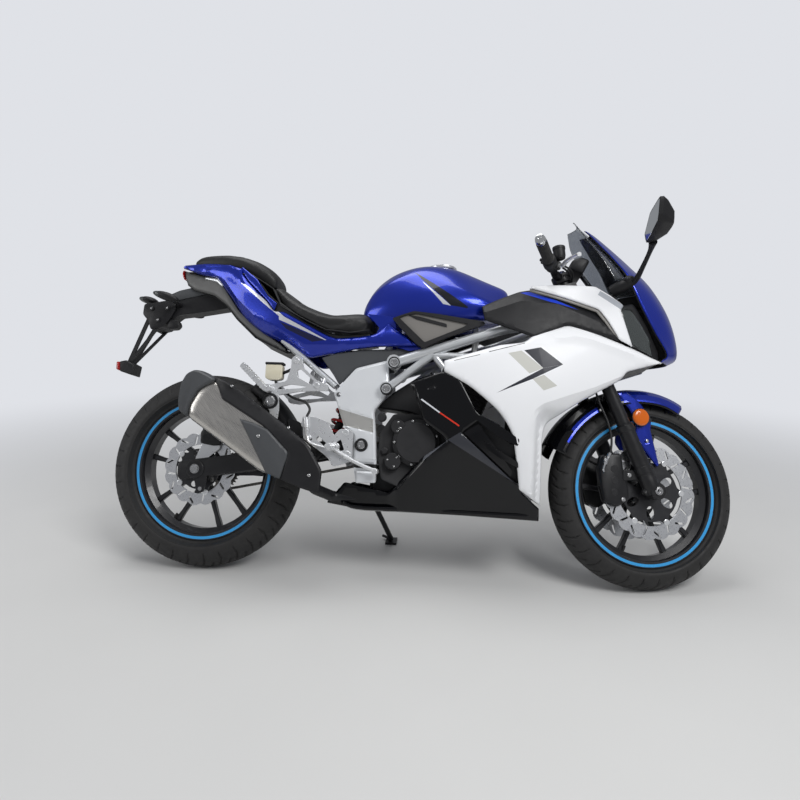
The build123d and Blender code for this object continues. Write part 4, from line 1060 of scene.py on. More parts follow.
def skin_panel(outline, table, heights, shaping=None, depth=0.0, roll=5.0, step=13.0, lines=(),
               radius=5.0, holes=(), roll_wide=9.0):
    """One side's panel: the part of the skin inside an outline, creased along lines."""
    loop = split_edges(rounded(outline, radius, 3) if radius else list(outline), step)
    points = [Vector(p) for p in loop]
    edges = [(k, (k + 1) % len(loop)) for k in range(len(loop))]
    inner = even_net(loop, step, roll_wide + 2, lines, holes) + rings_inside(loop, roll_wide)
    for line in lines:
        first, fine = len(points), divided(line, step)
        points += fine
        edges += [(first + k, first + k + 1) for k in range(len(fine) - 1)]
    for hole in holes:
        first = len(points)
        points += [Vector(p) for p in hole]
        edges += [(first + k, first + (k + 1) % len(hole)) for k in range(len(hole))]
    flat, _, faces, *_ = delaunay_2d_cdt(points + inner, edges, [], 0, 1e-4)
    x, z = np.array([p.x for p in flat]), np.array([p.y for p in flat])
    middle_x = np.array([sum(x[i] for i in face) / 3 for face in faces])
    middle_z = np.array([sum(z[i] for i in face) / 3 for face in faces])
    keep = inside(loop, middle_x, middle_z)
    for hole in holes:
        keep &= ~inside(hole, middle_x, middle_z)
    y = half_width(table, heights, x, z) - depth
    if shaping:
        y = shaping(x, z, y)
    y = y - roll * np.clip(1 - edge_distance(loop, x, z) / roll_wide, 0, 1) ** 2
    kept = []
    for face in (face for face, good in zip(faces, keep) if good):
        a, b, c = (flat[i] for i in face[:3])
        kept.append(list(face) if (b - a).cross(c - a) < 0 else list(reversed(face)))
    used = sorted({i for face in kept for i in face})
    rename = {old: new for new, old in enumerate(used)}
    return [(x[i], y[i], z[i]) for i in used], [[rename[i] for i in face]
                                                for face in kept], [0] * len(kept)


# %% [markdown]
# The big white side fairing is shaped by two lines: a ridge that runs forward
# to the headlamp, above which the sheet leans in, and a lower crease, beyond
# which it turns in sharply towards the front wheel. Behind its front edge a
# third line lifts the broad middle a little.

# %% White side fairings
RIDGE = [(781, 648), (947, 700), (1042, 730), (1135, 741), (1173, 749), (1210, 745), (1353, 706),
         (1428, 681)]
LOWER_CREASE = [(1018, 300), (1030, 435), (1041, 482), (1052, 520), (1077, 540), (1229, 597),
                (1321, 640), (1405, 672)]


def fairing_shape(x, z, y):
    ridge = on_line(RIDGE, x)
    y = y - 0.34 * np.clip(z - ridge, 0, 60)
    beyond = np.clip(on_line([(1018, 300), (1052, 520), (1077, 540), (1229, 597), (1321, 640),
                              (1428, 678)], x) - z, 0, 60)
    ahead = np.clip((x - 1040) / 30, 0, 1)
    y = y - 0.62 * beyond * ahead * np.clip((x - 1052) / 20, 0, 1)
    back = np.clip((x - np.interp(z, [240, 435, 520], [1052, 1032, 1054])) / 30, 0,
                   1.2) * np.clip((530 - z) / 30, 0, 1)
    y = y - 14 * back
    return y + 3.5 * np.exp(-((z - ridge) / 12) ** 2) * np.clip((x - 1050) / 60, 0, 1)


SIDE_OUTLINE = [
    (1456, 693), (1331, 652), (1315, 627), (1200, 560), (1092, 487), (1084, 445), (1088, 238),
                (1015, 286), (1008, 340),
    (990, 451), (949, 512), (905, 550), (861, 586), (782, 630), (781, 664), (947, 715), (1021, 724),
                (1042, 744),
    (1150, 793), (1225, 772), (1302, 746), (1366, 725),
]
SIDE_RADII = [6, 12, 14, 0, 30, 18, 3, 3, 20, 40, 30, 0, 30, 6, 4, 0, 12, 8, 14, 0, 0, 8]
white_with_stripes = add_stripes(FINISHES["white paint"].copy(), [
    ([(971, 688), (1010, 697), (1074, 645), (1034, 627)], (0.56, 0.56, 0.52)),
    ([(1043, 611), (1076, 625), (1116, 594), (1076, 578)], (0.56, 0.56, 0.52)),
    ([(1018, 698), (1067, 709), (1133, 659), (1074, 645)], (0.012, 0.014, 0.024)),
    ([(1074, 645), (1133, 659), (1043, 611), (939, 566)], (0.012, 0.014, 0.024)),
    ([(812, 662), (811, 664), (888, 683), (888, 681)], (0.02, 0.02, 0.02)),
    ([(915, 690), (914, 692), (1020, 722), (1021, 720)], (0.02, 0.02, 0.02)),
])
white_with_stripes.name = "white paint with slashes"
side_sheet = skin_panel(SIDE_OUTLINE, SKIN, SKIN_HEIGHTS, fairing_shape, radius=SIDE_RADII, step=11,
                        lines=[[p for p in RIDGE if p[0] > 1050 and p[0] < 1420],
                               LOWER_CREASE[1:-1]], roll=6)
make_piece("side_panels", both(side_sheet), "chassis", white_with_stripes,
           instead_of="side_fairings", turn_out=False, wall=3.6, sharp=24)
under_rows = []
for x, z in ((1342, 662), (1380, 674), (1418, 686), (1450, 696)):
    half = skin_at(x, z) - 9
    under_rows.append([(x, half * t, z + 3 * (1 - t * t)) for t in np.linspace(-1, 1, 9)])
make_piece("nose_underside", grid(under_rows), "chassis", FINISHES["dark plastic"],
           wall=2.5, sharp=40)

# %% [markdown]
# Above it sits a narrow white panel with a grey slash, which carries the
# surface up to the headlamp and the nose. The dark intake cover fills the gap
# between the two: a long wedge with a lighter upper facet, set back a little.

# %% Upper fairing, intake covers and headlamps
def upper_shape(x, z, y):
    return y - 0.5 * np.clip(z - on_line([(1040, 903), (1241, 905), (1335, 850)], x), 0, 40)


upper_outline = [(1040, 908), (1140, 916), (1241, 921), (1290, 897), (1332, 868), (1318, 846),
                 (1352, 731), (1309, 750), (1275, 806), (1247, 842), (1140, 872), (1040, 899)]
white_with_slash = add_stripes(FINISHES["white paint"].copy(), [
    ([(1254, 906), (1334, 866), (1318, 848), (1245, 890)], (0.4, 0.42, 0.46)),
])
white_with_slash.name = "white paint with a grey slash"
upper_sheet = skin_panel(upper_outline, SKIN, SKIN_HEIGHTS, upper_shape, step=9, roll=4,
                         roll_wide=6, radius=[3, 0, 10, 0, 6, 6, 4, 6, 0, 10, 0, 3], depth=-1.0)
edge_strip = skin_panel([(1036, 901), (1140, 874), (1247, 844), (1275, 808), (1311, 754),
                         (1301, 750), (1266, 801), (1240, 833), (1138, 863), (1036, 890)], SKIN,
                        SKIN_HEIGHTS, lambda x, z, y: y - 5, step=9, roll=2, radius=1, depth=-1.0)
make_piece("panel_edge_trim", both(edge_strip), "chassis", FINISHES["stone plastic"],
           turn_out=False, wall=2.0, sharp=30)
make_piece("upper_panels", both(upper_sheet), "chassis", white_with_slash,
           instead_of="upper_fairing", turn_out=False, wall=3.2, sharp=24)

COVER_FOLD = [(905, 822), (1010, 858), (1120, 850), (1250, 800), (1300, 760)]


def cover_shape(x, z, y):
    fold = on_line(COVER_FOLD, x)
    return y - 0.55 * np.clip(z - fold, 0, 60) - 0.1 * np.clip(fold - z, 0, 60) + 2


cover_outline = [(891, 846), (945, 871), (1004, 895), (1040, 903), (1140, 876), (1250, 846),
                 (1280, 800), (1312, 745), (1230, 766), (1151, 787), (1100, 765), (1050, 741),
                 (900, 797)]
cover_sheet = skin_panel(cover_outline, SKIN, SKIN_HEIGHTS, cover_shape, depth=3.5, step=10,
                         lines=[COVER_FOLD[:-1]], roll=5, radius=[6, 0, 10, 0, 0, 10, 0, 4, 0, 10,
                                                                  0, 8, 8])
dark_with_stripe = add_stripes(FINISHES["dark plastic"].copy(), [
    ([(1008, 890), (1034, 895), (1102, 871), (1184, 838), (1098, 858)], (0.01, 0.05, 0.6)),
])
dark_with_stripe.name = "dark plastic with a blue stripe"
make_piece("intake_cover_pair", both(cover_sheet), "chassis", dark_with_stripe,
           instead_of="intake_covers", turn_out=False, wall=3.2, sharp=20)

lamp_outline = [(1326, 856), (1352, 858), (1390, 802), (1416, 754), (1418, 710), (1344, 738),
                (1328, 780), (1316, 842)]
lamp_sheet = skin_panel(lamp_outline, SKIN, SKIN_HEIGHTS, depth=5.0, step=9, roll=3, roll_wide=6,
                        radius=5)
make_piece("headlamp_lenses", both(lamp_sheet), "chassis", FINISHES["lamp lens"],
           turn_out=False, wall=2.4, instead_of="headlamps", sharp=30)
bowl_sheet = skin_panel([(x * 0.94 + 1370 * 0.06, z * 0.94 + 785 * 0.06) for x, z in lamp_outline],
                        SKIN, SKIN_HEIGHTS, lambda x, z,
                        y: y - 12 - 16 * np.exp(-((z - 795) / 26) ** 2) + 4 * np.sin(z / 9),
                        depth=6.0, step=7, roll=-14, roll_wide=5, radius=5)
make_piece("headlamp_bowls", both(bowl_sheet), "chassis", FINISHES["dark plastic"],
           turn_out=False, wall=1.5, sharp=30)
surround = skin_panel([(1312, 846), (1330, 868), (1366, 880), (1412, 812), (1452, 730), (1452, 704),
                       (1400, 706), (1344, 734), (1330, 776)], SKIN, SKIN_HEIGHTS, lambda x, z,
                      y: y - 14 - 0.28 * np.clip(x - 1380, 0, 80), step=12, roll=4, radius=6)
make_piece("headlamp_surrounds", both(surround), "chassis", FINISHES["dark plastic"],
           turn_out=False, wall=2.0, sharp=30)

# %% [markdown]
# The gloss black lower fairing wraps the engine. Its rear facet stands proud,
# a long fold runs forward and down, and slanted fins with dark gaps let hot
# air out. The floor under it joins the two sides. On the left a notch in both
# leaves room for the side stand.

# %% Lower fairing
STAND_GAP = (500, 595)
RECESS = [(840, 446), (889, 484), (998, 420), (1004, 350), (1014, 300), (988, 318)]
LOWER_FOLD = [(630, 268), (725, 372), (801, 421), (892, 368), (976, 312), (1062, 240)]
SCREW_DIP = circle(746, 589, 15, 14)


def lower_shape(x, z, y):
    fold = on_line(LOWER_FOLD, x)
    below = np.clip(fold - z, 0, 60) * np.clip((x - 760) / 60, 0, 1)
    y = y - 0.12 * below
    behind = np.clip(np.interp(z, [268, 372, 425], [652, 741, 806]) - x, 0,
                     40) * np.clip((425 - z) / 30, 0, 1)
    y = y - 0.5 * behind
    dip = np.where(inside(SCREW_DIP, x, z), np.clip(edge_distance(SCREW_DIP, x, z) / 4, 0, 1), 0)
    return y - 5 * dip


lower_outline = [
    (676, 594), (779, 631), (835, 602), (885, 509), (1005, 423), (1012, 350), (1028, 274),
                 (1078, 232), (1080, 194),
    (780, 200), (560, 202), (505, 204), (420, 216), (478, 284), (620, 259), (632, 270), (726, 372),
                 (798, 421), (781, 438),
    (725, 478), (709, 525), (692, 573),
]
lower_sheet = skin_panel(lower_outline, SKIN, SKIN_HEIGHTS, lower_shape, depth=4.3, step=11, roll=5,
                         lines=[LOWER_FOLD[2:5] + [(1050, 250)],
                                [(655, 272), (741, 370), (800, 418)]],
                         holes=[rounded(RECESS, 5, 3)],
                         radius=[5, 8, 10, 10, 4, 10, 6, 3, 3, 0, 6, 6, 6, 8, 5, 5, 14, 6, 6, 12,
                                 10, 8])
black_lines_and_painted_highlights = add_stripes(FINISHES["gloss black"].copy(), [
    ([(714, 543), (718, 546), (775, 506), (772, 503)], (0.7, 0.72, 0.76)),
    ([(772, 503), (775, 506), (834, 468), (832, 464)], (0.7, 0.04, 0.02)),
    # the last two stripes are painted highlights: a lighter grey on the facet behind the fold, and
    # a lighter band along the lower edge of the vent recess
    ([(730, 372), (779, 438), (800, 422), (726, 358)], (0.1, 0.105, 0.12)),
    ([(800, 424), (837, 448), (1000, 306)], (0.04, 0.042, 0.05)),
])
black_lines_and_painted_highlights.name = "gloss black with a thin line"


def notched(shape, axis, low, high):
    """Takes out faces where the side stand passes, between low and high on one axis."""
    points, faces, _ = shape
    middles = [np.mean([points[i] for i in face], axis=0) for face in faces]
    kept = [face for face, m in zip(faces, middles) if not (STAND_GAP[0] < m[0] < STAND_GAP[1]
                                                            and low < m[axis] < high)]
    return points, kept, [0] * len(kept)


make_piece("lower_fairing_sides", merge(mirrored(lower_sheet), notched(lower_sheet, 2, -1, 262)),
           "chassis", black_lines_and_painted_highlights, instead_of="lower_fairing", turn_out=False,
           wall=3.4, sharp=22)
belly_rows = []
for x, half in ((470, 78), (520, 93), (640, 105), (760, 116), (900, 127), (1000, 134), (1062, 136)):
    lift = 14 * max(0, (520 - x) / 50)
    belly_rows.append([(x, y, z + lift) for y, z in ((-half, 213), (-half + 6, 203.5),
                                                     (-half + 22, 200.5), (0, 200.3),
                                                     (half - 22, 200.5), (half - 6, 203.5),
                                                     (half, 213))])
belly = grid(smooth_line(np.array(belly_rows).reshape(7, -1), 4).reshape(-1, 7, 3).tolist())
make_piece("belly_floor", notched(belly, 1, 50, 200), "chassis", FINISHES["gloss black"],
           turn_out=True, wall=2.5, sharp=40)


def fin_shape(outline, lean):
    """A blade that follows the skin; lean is how far its rear stands out more than its front."""
    points, faces, finishes = plate(rounded(outline, 5), -3, 3)
    loop_x = [p[0] for p in outline]
    span = max(loop_x) - min(loop_x)
    out = []
    for x, y, z in points:
        out.append((x, skin_at(x, z) + lean * (1 - (x - min(loop_x)) / span) - 3 + y, z))
    return out, faces, finishes


fins = merge(fin_shape([(893, 500), (940, 478), (1010, 432), (1006, 412), (950, 436), (905, 468),
                        (880, 486)], 1),
             fin_shape([(905, 424), (1008, 366), (1010, 348), (948, 380), (920, 400)], -1),
             fin_shape([(848, 446), (889, 474), (900, 462), (992, 340), (990, 322)], -3))
make_piece("lower_fairing_fins", both(fins), "chassis", FINISHES["gloss black"],
           bevel=1.2, sharp=35)
recess_back = skin_panel([(826, 440), (885, 498), (1012, 432), (1014, 350), (1026, 290),
                          (984, 304)], SKIN, SKIN_HEIGHTS,
                         lambda x, z, y: y - 22, radius=4, step=14, roll=3)
make_piece("lower_fairing_liner", both(recess_back), "chassis", FINISHES["dark plastic"],
           turn_out=False, wall=2.5, sharp=40)

# %% [markdown]
# ## Tank, tail and nose
# The tank is a blown shell with three kinds of surface: a broad top, a crease
# that falls forward on each side, and a flank that is pressed in for the
# rider's knees. It is a cage of sections along the machine. Subdivision rounds
# it, and the edges along the crease and the base keep a weight, so that they
# stay tight.

# %% Fuel tank
# x, then (half width, height) at the base, flank, crease, upper side and shoulder,
# then the height of the top
TANK_CAGE = (
    (507, (68, 812), (76, 830), (62, 846), (40, 854), (18, 858), 860),
    (528, (84, 806), (94, 840), (80, 884), (54, 902), (26, 910), 913),
    (560, (100, 803), (112, 852), (92, 916), (62, 940), (30, 951), 954),
    (610, (118, 803), (134, 866), (106, 944), (74, 972), (38, 986), 989),
    (678, (130, 806), (149, 874), (112, 960), (84, 992), (44, 1009), 1013),
    (735, (136, 807), (155, 874), (120, 944), (88, 992), (48, 1014), 1019),
    (800, (136, 807), (155, 866), (130, 918), (90, 976), (48, 1007), 1012),
    (862, (128, 809), (149, 856), (138, 888), (88, 946), (46, 982), 988),
    (908, (116, 813), (134, 848), (128, 872), (80, 928), (44, 962), 969),
    (950, (98, 820), (114, 848), (106, 866), (68, 920), (40, 946), 953),
    (984, (78, 828), (90, 850), (84, 862), (54, 914), (34, 932), 938),
)


def tank_shape():
    """The tank as a closed net over its cage, with an inset ring at both ends."""
    rows = []
    for x, *side, top_z in TANK_CAGE:
        base_y, base_z = side[0]
        ring = [(x, -y, z) for y, z in side] + [(x, 0, top_z)] + [(x, y, z)
                                                                  for y, z in reversed(side)]
        rows.append(ring + [(x, base_y * 0.55, base_z - 2), (x, 0, base_z - 3),
                            (x, -base_y * 0.55, base_z - 2)])
    wide = len(rows[0])
    points, faces, _ = grid(rows, closed=True)
    for r in (0, len(rows) - 1):
        centre = np.mean(rows[r], axis=0)
        start, base = r * wide, len(points)
        points += [tuple(np.array(p) * 0.5 + centre * 0.5) for p in rows[r]] + [tuple(centre)]
        for k in range(wide):
            n = (k + 1) % wide
            faces.append([start + k, start + n, base + n, base + k])
            faces.append([base + k, base + n, base + wide])
    return points, faces, [0] * len(faces)


BASE_LEVEL, CREASE_LEVEL = 0, 2


def tank_crease(edge):
    """The subdivision weight of a cage edge."""
    def on(p, level):
        return any(abs(p.x - row[0]) < 0.5 and abs(abs(p.y) - row[1 + level][0]) < 0.5
                   and abs(p.z - row[1 + level][1]) < 0.5 for row in TANK_CAGE)
    a, b = (v.co for v in edge.verts)
    for level, weight in ((CREASE_LEVEL, 0.55), (BASE_LEVEL, 0.5)):
        if on(a, level) and on(b, level):
            return weight
    return 0.0


blue_paint = blue_metallic("metallic blue paint")
tank_blue = add_stripes(blue_paint.copy(), [
    ([(672, 972), (703, 936), (796, 849), (848, 842), (850, 846)], (0.008, 0.009, 0.014)),
    ([(700, 934), (796, 848), (771, 853)], (0.8, 0.82, 0.85)),
])
tank_blue.name = "tank blue paint"
make_piece("tank_shell", tank_shape(), "chassis", tank_blue, instead_of="fuel_tank",
           levels=3, crease=tank_crease, sharp=60)

# %% [markdown]
# The filler cap is a turned ring with a lock cover in its middle. It sits in
# the top of the tank.

# %% Filler cap
cap_x, cap_z = 762.0, 1019.0
cap = lathe([(0.5, -10), (47, -10), (48, -8), (48, -1.5), (46.5, 0), (38, 0), (37, -1.2),
             (35, -1.2), (34, 0.4), (20, 1.2), (0.5, 1.4)],
            0, 0, 64, closed=False)
upright = Matrix.Translation((cap_x, 0, cap_z - 1.5)) @ Matrix.Rotation(radians(90), 4, "X")
make_piece("filler_cap", carried(cap, upright), "chassis", FINISHES["bare alloy"],
           instead_of="tank_cap")

# %% [markdown]
# Each tank side panel is a black frame round a satin grey inlay with a dark
# slot, pressed into the tank's flank. All three are plates with a bevel, and
# the inlay lies 6 mm deeper than its frame.

# %% Tank side panels
frame_outline = [(613, 801), (640, 812), (681, 826), (760, 818), (900, 797), (904, 790), (780, 742),
                 (716, 708), (690, 722)]
inlay = [(636, 803), (656, 812), (690, 818), (850, 789), (842, 781), (718, 727)]
panel_frame = plate(rounded(frame_outline, 6), -155.5, -138, holes=[rounded(inlay, 4)])
panel_floor = plate(rounded(inlay, 4), -149, -140)
slot_bar = plate(rounded([(662, 814), (700, 809), (784, 788), (786, 777), (770, 781), (690, 800)],
                         3), -151.5, -148)
make_piece("tank_inlays", both(merge(painted(panel_frame, 1), panel_floor, painted(slot_bar, 1))),
           "chassis", [FINISHES["stone plastic"], FINISHES["dark plastic"]],
           instead_of="tank_side_panels", bevel=1.4)

tank_skirt = plate(rounded([(531, 821), (619, 812), (626, 766), (709, 711), (669, 703), (602, 724),
                            (555, 746), (572, 775)], 5), -128, -122)
make_piece("tank_skirts", both(tank_skirt), "chassis", blue_paint, bevel=1.5)

# %% [markdown]
# The tail is two blue side panels that narrow upwards to the tail lamp, with a
# silver slash and a darker lower facet. A deck under the seats joins them.

# %% Tail panels
TAIL_OUTLINE = [
    (-132, 990), (-134, 997), (-128, 1002), (-37, 1000), (54, 989), (100, 972), (100, 955),
                (125, 925), (165, 886), (196, 856), (222, 824), (258, 820),
    (331, 782), (412, 742), (438, 738), (509, 745), (556, 752), (600, 792), (690, 724), (696, 717),
                (560, 712),
    (510, 706), (430, 690), (346, 675), (270, 716), (182, 755), (114, 804), (72, 862), (51, 889),
                (36, 905), (17, 931), (4, 948), (-55, 961),
]


def tail_shape(x, z, y):
    y = y - 0.5 * np.clip(z - on_line([(230, 826), (262, 822), (330, 784), (445, 726), (511, 728),
                                       (600, 745)], x), 0, 30) * np.clip((x - 200) / 60, 0, 1)
    low = on_line([(-100, 972), (28, 948), (90, 870), (150, 815), (240, 770), (330, 716),
                   (512, 720), (690, 724)], x)
    y = y - 0.4 * np.clip(low - z, 0, 60)
    ridge = on_line([(-100, 980), (60, 962), (150, 890), (262, 800), (330, 760), (445, 734)], x)
    return y + 2.5 * np.exp(-((z - ridge) / 7) ** 2) * np.clip((200 - x) / 60, 0, 1)


tail_blue = add_stripes(blue_paint.copy(), [
    ([(100, 921), (120, 913), (190, 862), (262, 803), (252, 799), (183, 852)], (0.85, 0.86, 0.9)),
    ([(243, 808), (262, 803), (404, 730), (400, 729), (244, 794)], (0.85, 0.86, 0.9)),
    ([(246, 788), (398, 729), (357, 724), (270, 764)], (0.012, 0.014, 0.07)),
])
tail_blue.name = "tail blue paint"
tail_sheet = skin_panel(TAIL_OUTLINE, TAIL_SKIN, TAIL_HEIGHTS, tail_shape, step=10, roll=7,
                        roll_wide=9, lines=[[(-60, 965), (28, 948), (90, 870), (150, 815),
                                             (240, 770), (330, 716), (512, 720), (660, 723)],
                               [(262, 822), (330, 784), (445, 727), (511, 728)]],
                        radius=[2, 2, 3, 0, 0, 5, 8, 0, 0, 0, 8, 6, 0, 12, 0, 0, 12, 6, 3, 3, 0, 0,
                                0, 12, 0, 0, 10, 0, 10, 0, 8, 5, 4])
make_piece("tail_panels", both(tail_sheet), "chassis", tail_blue,
           instead_of="tail_fairing", turn_out=False, wall=3.4, sharp=22)
DECK = ((-110, 41, 979), (0, 78, 969), (90, 98, 963), (160, 110, 939), (214, 118, 905),
        (246, 122, 845), (330, 132, 799), (400, 138, 767), (480, 140, 759), (540, 140, 768))
deck = grid([[(x, y * half, z - 1.5 * abs(y)) for y in np.linspace(-1, 1, 9)]
             for x, half, z in DECK])
make_piece("seat_deck", deck, "chassis", FINISHES["dark plastic"], turn_out=True,
           wall=3.0, sharp=40)
skirt = skin_panel([(96, 982), (156, 934), (199, 875), (232, 850), (222, 826), (196, 858),
                    (165, 888), (125, 927), (100, 957), (88, 970)],
                   TAIL_SKIN, TAIL_HEIGHTS, depth=9.0, step=9, roll=3, roll_wide=5, radius=3)
make_piece("seat_skirts", both(skirt), "chassis", blue_paint, turn_out=False,
           wall=3.0, sharp=30)
edge = skin_panel([(70, 972), (92, 984), (156, 940), (199, 885), (226, 862), (250, 850), (331, 792),
                   (412, 756), (445, 750), (540, 756), (548, 744), (440, 728), (330, 766),
                   (240, 806), (190, 846), (120, 915)], TAIL_SKIN, TAIL_HEIGHTS, lambda x, z,
                  y: y - 17, step=12, roll=3, radius=3)
make_piece("seat_edge_trim", both(edge), "chassis", FINISHES["dark plastic"],
           turn_out=False, wall=2.4, sharp=30)

# %% [markdown]
# The nose is a blue bow that wraps round the front between the lamps, and the
# smoked screen is a second bow above it. A bow is a table of levels: where its
# front, its middle and its side edge lie. Smooth interpolation in both
# directions makes the sheet, Solidify gives it a wall.

# %% Nose and screen
def bow(levels):
    """A sheet round the front from levels (height, front x, middle x and y, side x and y)."""
    rows = []
    for z, front, mid_x, mid_y, side_x, side_y in levels:
        half = [(side_x, side_y), (mid_x, mid_y), (front, 0)]
        line = half + [(x, -y) for x, y in half[-2::-1]]
        rows.append([(x, y, z) for x, y in smooth_line(line, 6)])
    rows = smooth_line(np.array(rows).reshape(len(rows), -1), 5).reshape(-1, len(rows[0]), 3)
    return grid(rows.tolist())


nose = bow(((701, 1499, 1486, 34, 1460, 68), (725, 1529, 1512, 40, 1478, 76),
            (790, 1525, 1500, 50, 1438, 90), (873, 1499, 1464, 58, 1392, 102),
            (962, 1447, 1410, 58, 1352, 106), (1032, 1381, 1350, 45, 1312, 80),
            (1080, 1331, 1308, 36, 1277, 64), (1127, 1279, 1264, 25, 1243, 46),
            (1142, 1260, 1248, 20, 1231, 38)))
make_piece("blue_nose", nose, "chassis", blue_paint, instead_of="nose_cowl", wall=2.0,
           sharp=35)
inside_nose = [(x - 4.2, y * 0.985, z) for x, y, z in nose[0]]
make_piece("nose_liner", (inside_nose, nose[1], nose[2]), "chassis", FINISHES["dark plastic"],
           wall=1.6, sharp=35)
screen = bow(((951, 1443, 1372, 84, 1305, 121), (1032, 1366, 1312, 62, 1263, 111),
              (1110, 1278, 1246, 42, 1213, 91), (1150, 1229, 1214, 32, 1196, 64),
              (1166, 1210, 1202, 28, 1190, 49)))
make_piece("screen", screen, "chassis", FINISHES["smoked screen"],
           instead_of="windscreen", wall=3.0, sharp=40)

# %% [markdown]
# ## Screws and other things that repeat
# A motorcycle is held together by dozens of screws. One button head with a
# hexagon socket is modelled, and a Geometry Nodes tree sets a copy of it on
# every point of a small cloud of points. Each point carries the direction in
# which its screw faces and its size. The tree ends in real geometry with its
# finish set, and the result is turned into a plain mesh.

# %% A tree that sets copies on points
def copies_tree():
    """The node tree that sets a pattern on points by their facing, sideways and size."""
    tree = bpy.data.node_groups.new("copies on points", "GeometryNodeTree")
    for name, kind in (("Geometry", "NodeSocketGeometry"), ("Pattern", "NodeSocketObject"),
                       ("Overall size", "NodeSocketFloat"), ("Finish", "NodeSocketMaterial")):
        tree.interface.new_socket(name, in_out="INPUT", socket_type=kind)
    tree.interface.new_socket("Geometry", in_out="OUTPUT", socket_type="NodeSocketGeometry")
    n, link = tree.nodes, tree.links.new
    start, end = n.new("NodeGroupInput"), n.new("NodeGroupOutput")
    info, place = n.new("GeometryNodeObjectInfo"), n.new("GeometryNodeInstanceOnPoints")
    info.inputs["As Instance"].default_value = True
    facing, spin, size = (n.new("GeometryNodeInputNamedAttribute") for _ in range(3))
    facing.data_type = spin.data_type = "FLOAT_VECTOR"
    facing.inputs["Name"].default_value = "facing"
    spin.inputs["Name"].default_value = "sideways"
    size.inputs["Name"].default_value = "size"
    one, two = (n.new("FunctionNodeAlignRotationToVector") for _ in range(2))
    one.axis, two.axis, two.pivot_axis = "Z", "X", "Z"
    scale = n.new("ShaderNodeMath")
    scale.operation = "MULTIPLY"
    real, paint = n.new("GeometryNodeRealizeInstances"), n.new("GeometryNodeSetMaterial")
    link(start.outputs["Pattern"], info.inputs["Object"])
    link(start.outputs["Geometry"], place.inputs["Points"])
    link(info.outputs["Geometry"], place.inputs["Instance"])
    link(facing.outputs["Attribute"], one.inputs["Vector"])
    link(one.outputs["Rotation"], two.inputs["Rotation"])
    link(spin.outputs["Attribute"], two.inputs["Vector"])
    link(two.outputs["Rotation"], place.inputs["Rotation"])
    link(size.outputs["Attribute"], scale.inputs[0])
    link(start.outputs["Overall size"], scale.inputs[1])
    link(scale.outputs[0], place.inputs["Scale"])
    link(place.outputs["Instances"], real.inputs["Geometry"])
    link(real.outputs["Geometry"], paint.inputs["Geometry"])
    link(start.outputs["Finish"], paint.inputs["Material"])
    link(paint.outputs["Geometry"], end.inputs["Geometry"])
    return tree


COPIES = copies_tree()
ANY_SIDEWAYS = (0.9, 0.1, 0.42)


def evaluated_mesh(piece):
    """A new mesh of the piece as its modifiers leave it."""
    bpy.context.view_layer.update()
    shown = piece.evaluated_get(bpy.context.evaluated_depsgraph_get())
    return bpy.data.meshes.new_from_object(shown)


def set_copies(name, pattern, spots, body, finish_name, sharp=35.0):
    """Sets a pattern (in mm, facing +Z) at spots (place, facing, size, sideways)."""
    points, faces, _ = pattern
    mesh = bpy.data.meshes.new("pattern")
    mesh.from_pydata([tuple(p) for p in points], [], [tuple(f) for f in faces])
    pattern_object = bpy.data.objects.new("pattern", mesh)
    bpy.context.scene.collection.objects.link(pattern_object)
    place = PLACES[body]
    cloud = bpy.data.meshes.new(name)
    cloud.from_pydata([tuple(place @ Vector(s[0])) for s in spots], [], [])
    for label, kind in (("facing", "FLOAT_VECTOR"), ("sideways", "FLOAT_VECTOR"),
                        ("size", "FLOAT")):
        cloud.attributes.new(label, kind, "POINT")
    facing, sideways, size = (cloud.attributes[label] for label in ("facing", "sideways", "size"))
    turned = place.to_3x3().normalized()
    for i, spot in enumerate(spots):
        facing.data[i].vector = (turned @ Vector(spot[1])).normalized()
        sideways.data[i].vector = (turned @ Vector(spot[3] if len(spot) > 3
                                                   else ANY_SIDEWAYS)).normalized()
        size.data[i].value = spot[2]
    carrier = bpy.data.objects.new(name + " points", cloud)
    bpy.context.scene.collection.objects.link(carrier)
    modifier = carrier.modifiers.new("copies", "NODES")
    sockets = {item.name: item.identifier for item in COPIES.interface.items_tree
               if item.in_out == "INPUT"}
    modifier.node_group = COPIES
    modifier[sockets["Pattern"]] = pattern_object
    modifier[sockets["Overall size"]] = 0.001
    modifier[sockets["Finish"]] = FINISHES[finish_name]
    real = evaluated_mesh(carrier)
    piece = bpy.data.objects.new(name, real)
    real.name = name
    bpy.data.objects.remove(carrier)
    bpy.data.objects.remove(pattern_object)
    for label in ("facing", "sideways", "size"):
        if label in real.attributes:
            real.attributes.remove(real.attributes[label])
    real.shade_smooth()
    real.set_sharp_from_angle(angle=radians(sharp))
    bpy.context.scene.collection.objects.link(piece)
    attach(piece, body)
    print(f"{name}: {len(spots)} copies, {len(real.polygons)} faces on {body}")
    return piece


HEXAGON = 6


def head_pattern(rows, count):
    """A screw head of radius 1. Rows are (radius, height, sides), sides 0 for a round row."""
    rings = []
    for r, z, sides in rows:
        flats = [cos(pi / 6) / cos((a % (pi / 3)) - pi / 6) if sides == HEXAGON else 1.0
                 for a in turns(count)]
        rings.append([(r * flat * cos(a), r * flat * sin(a), z) for a, flat in zip(turns(count),
                                                                                   flats)])
    return capped(grid(rings, closed=True), count)


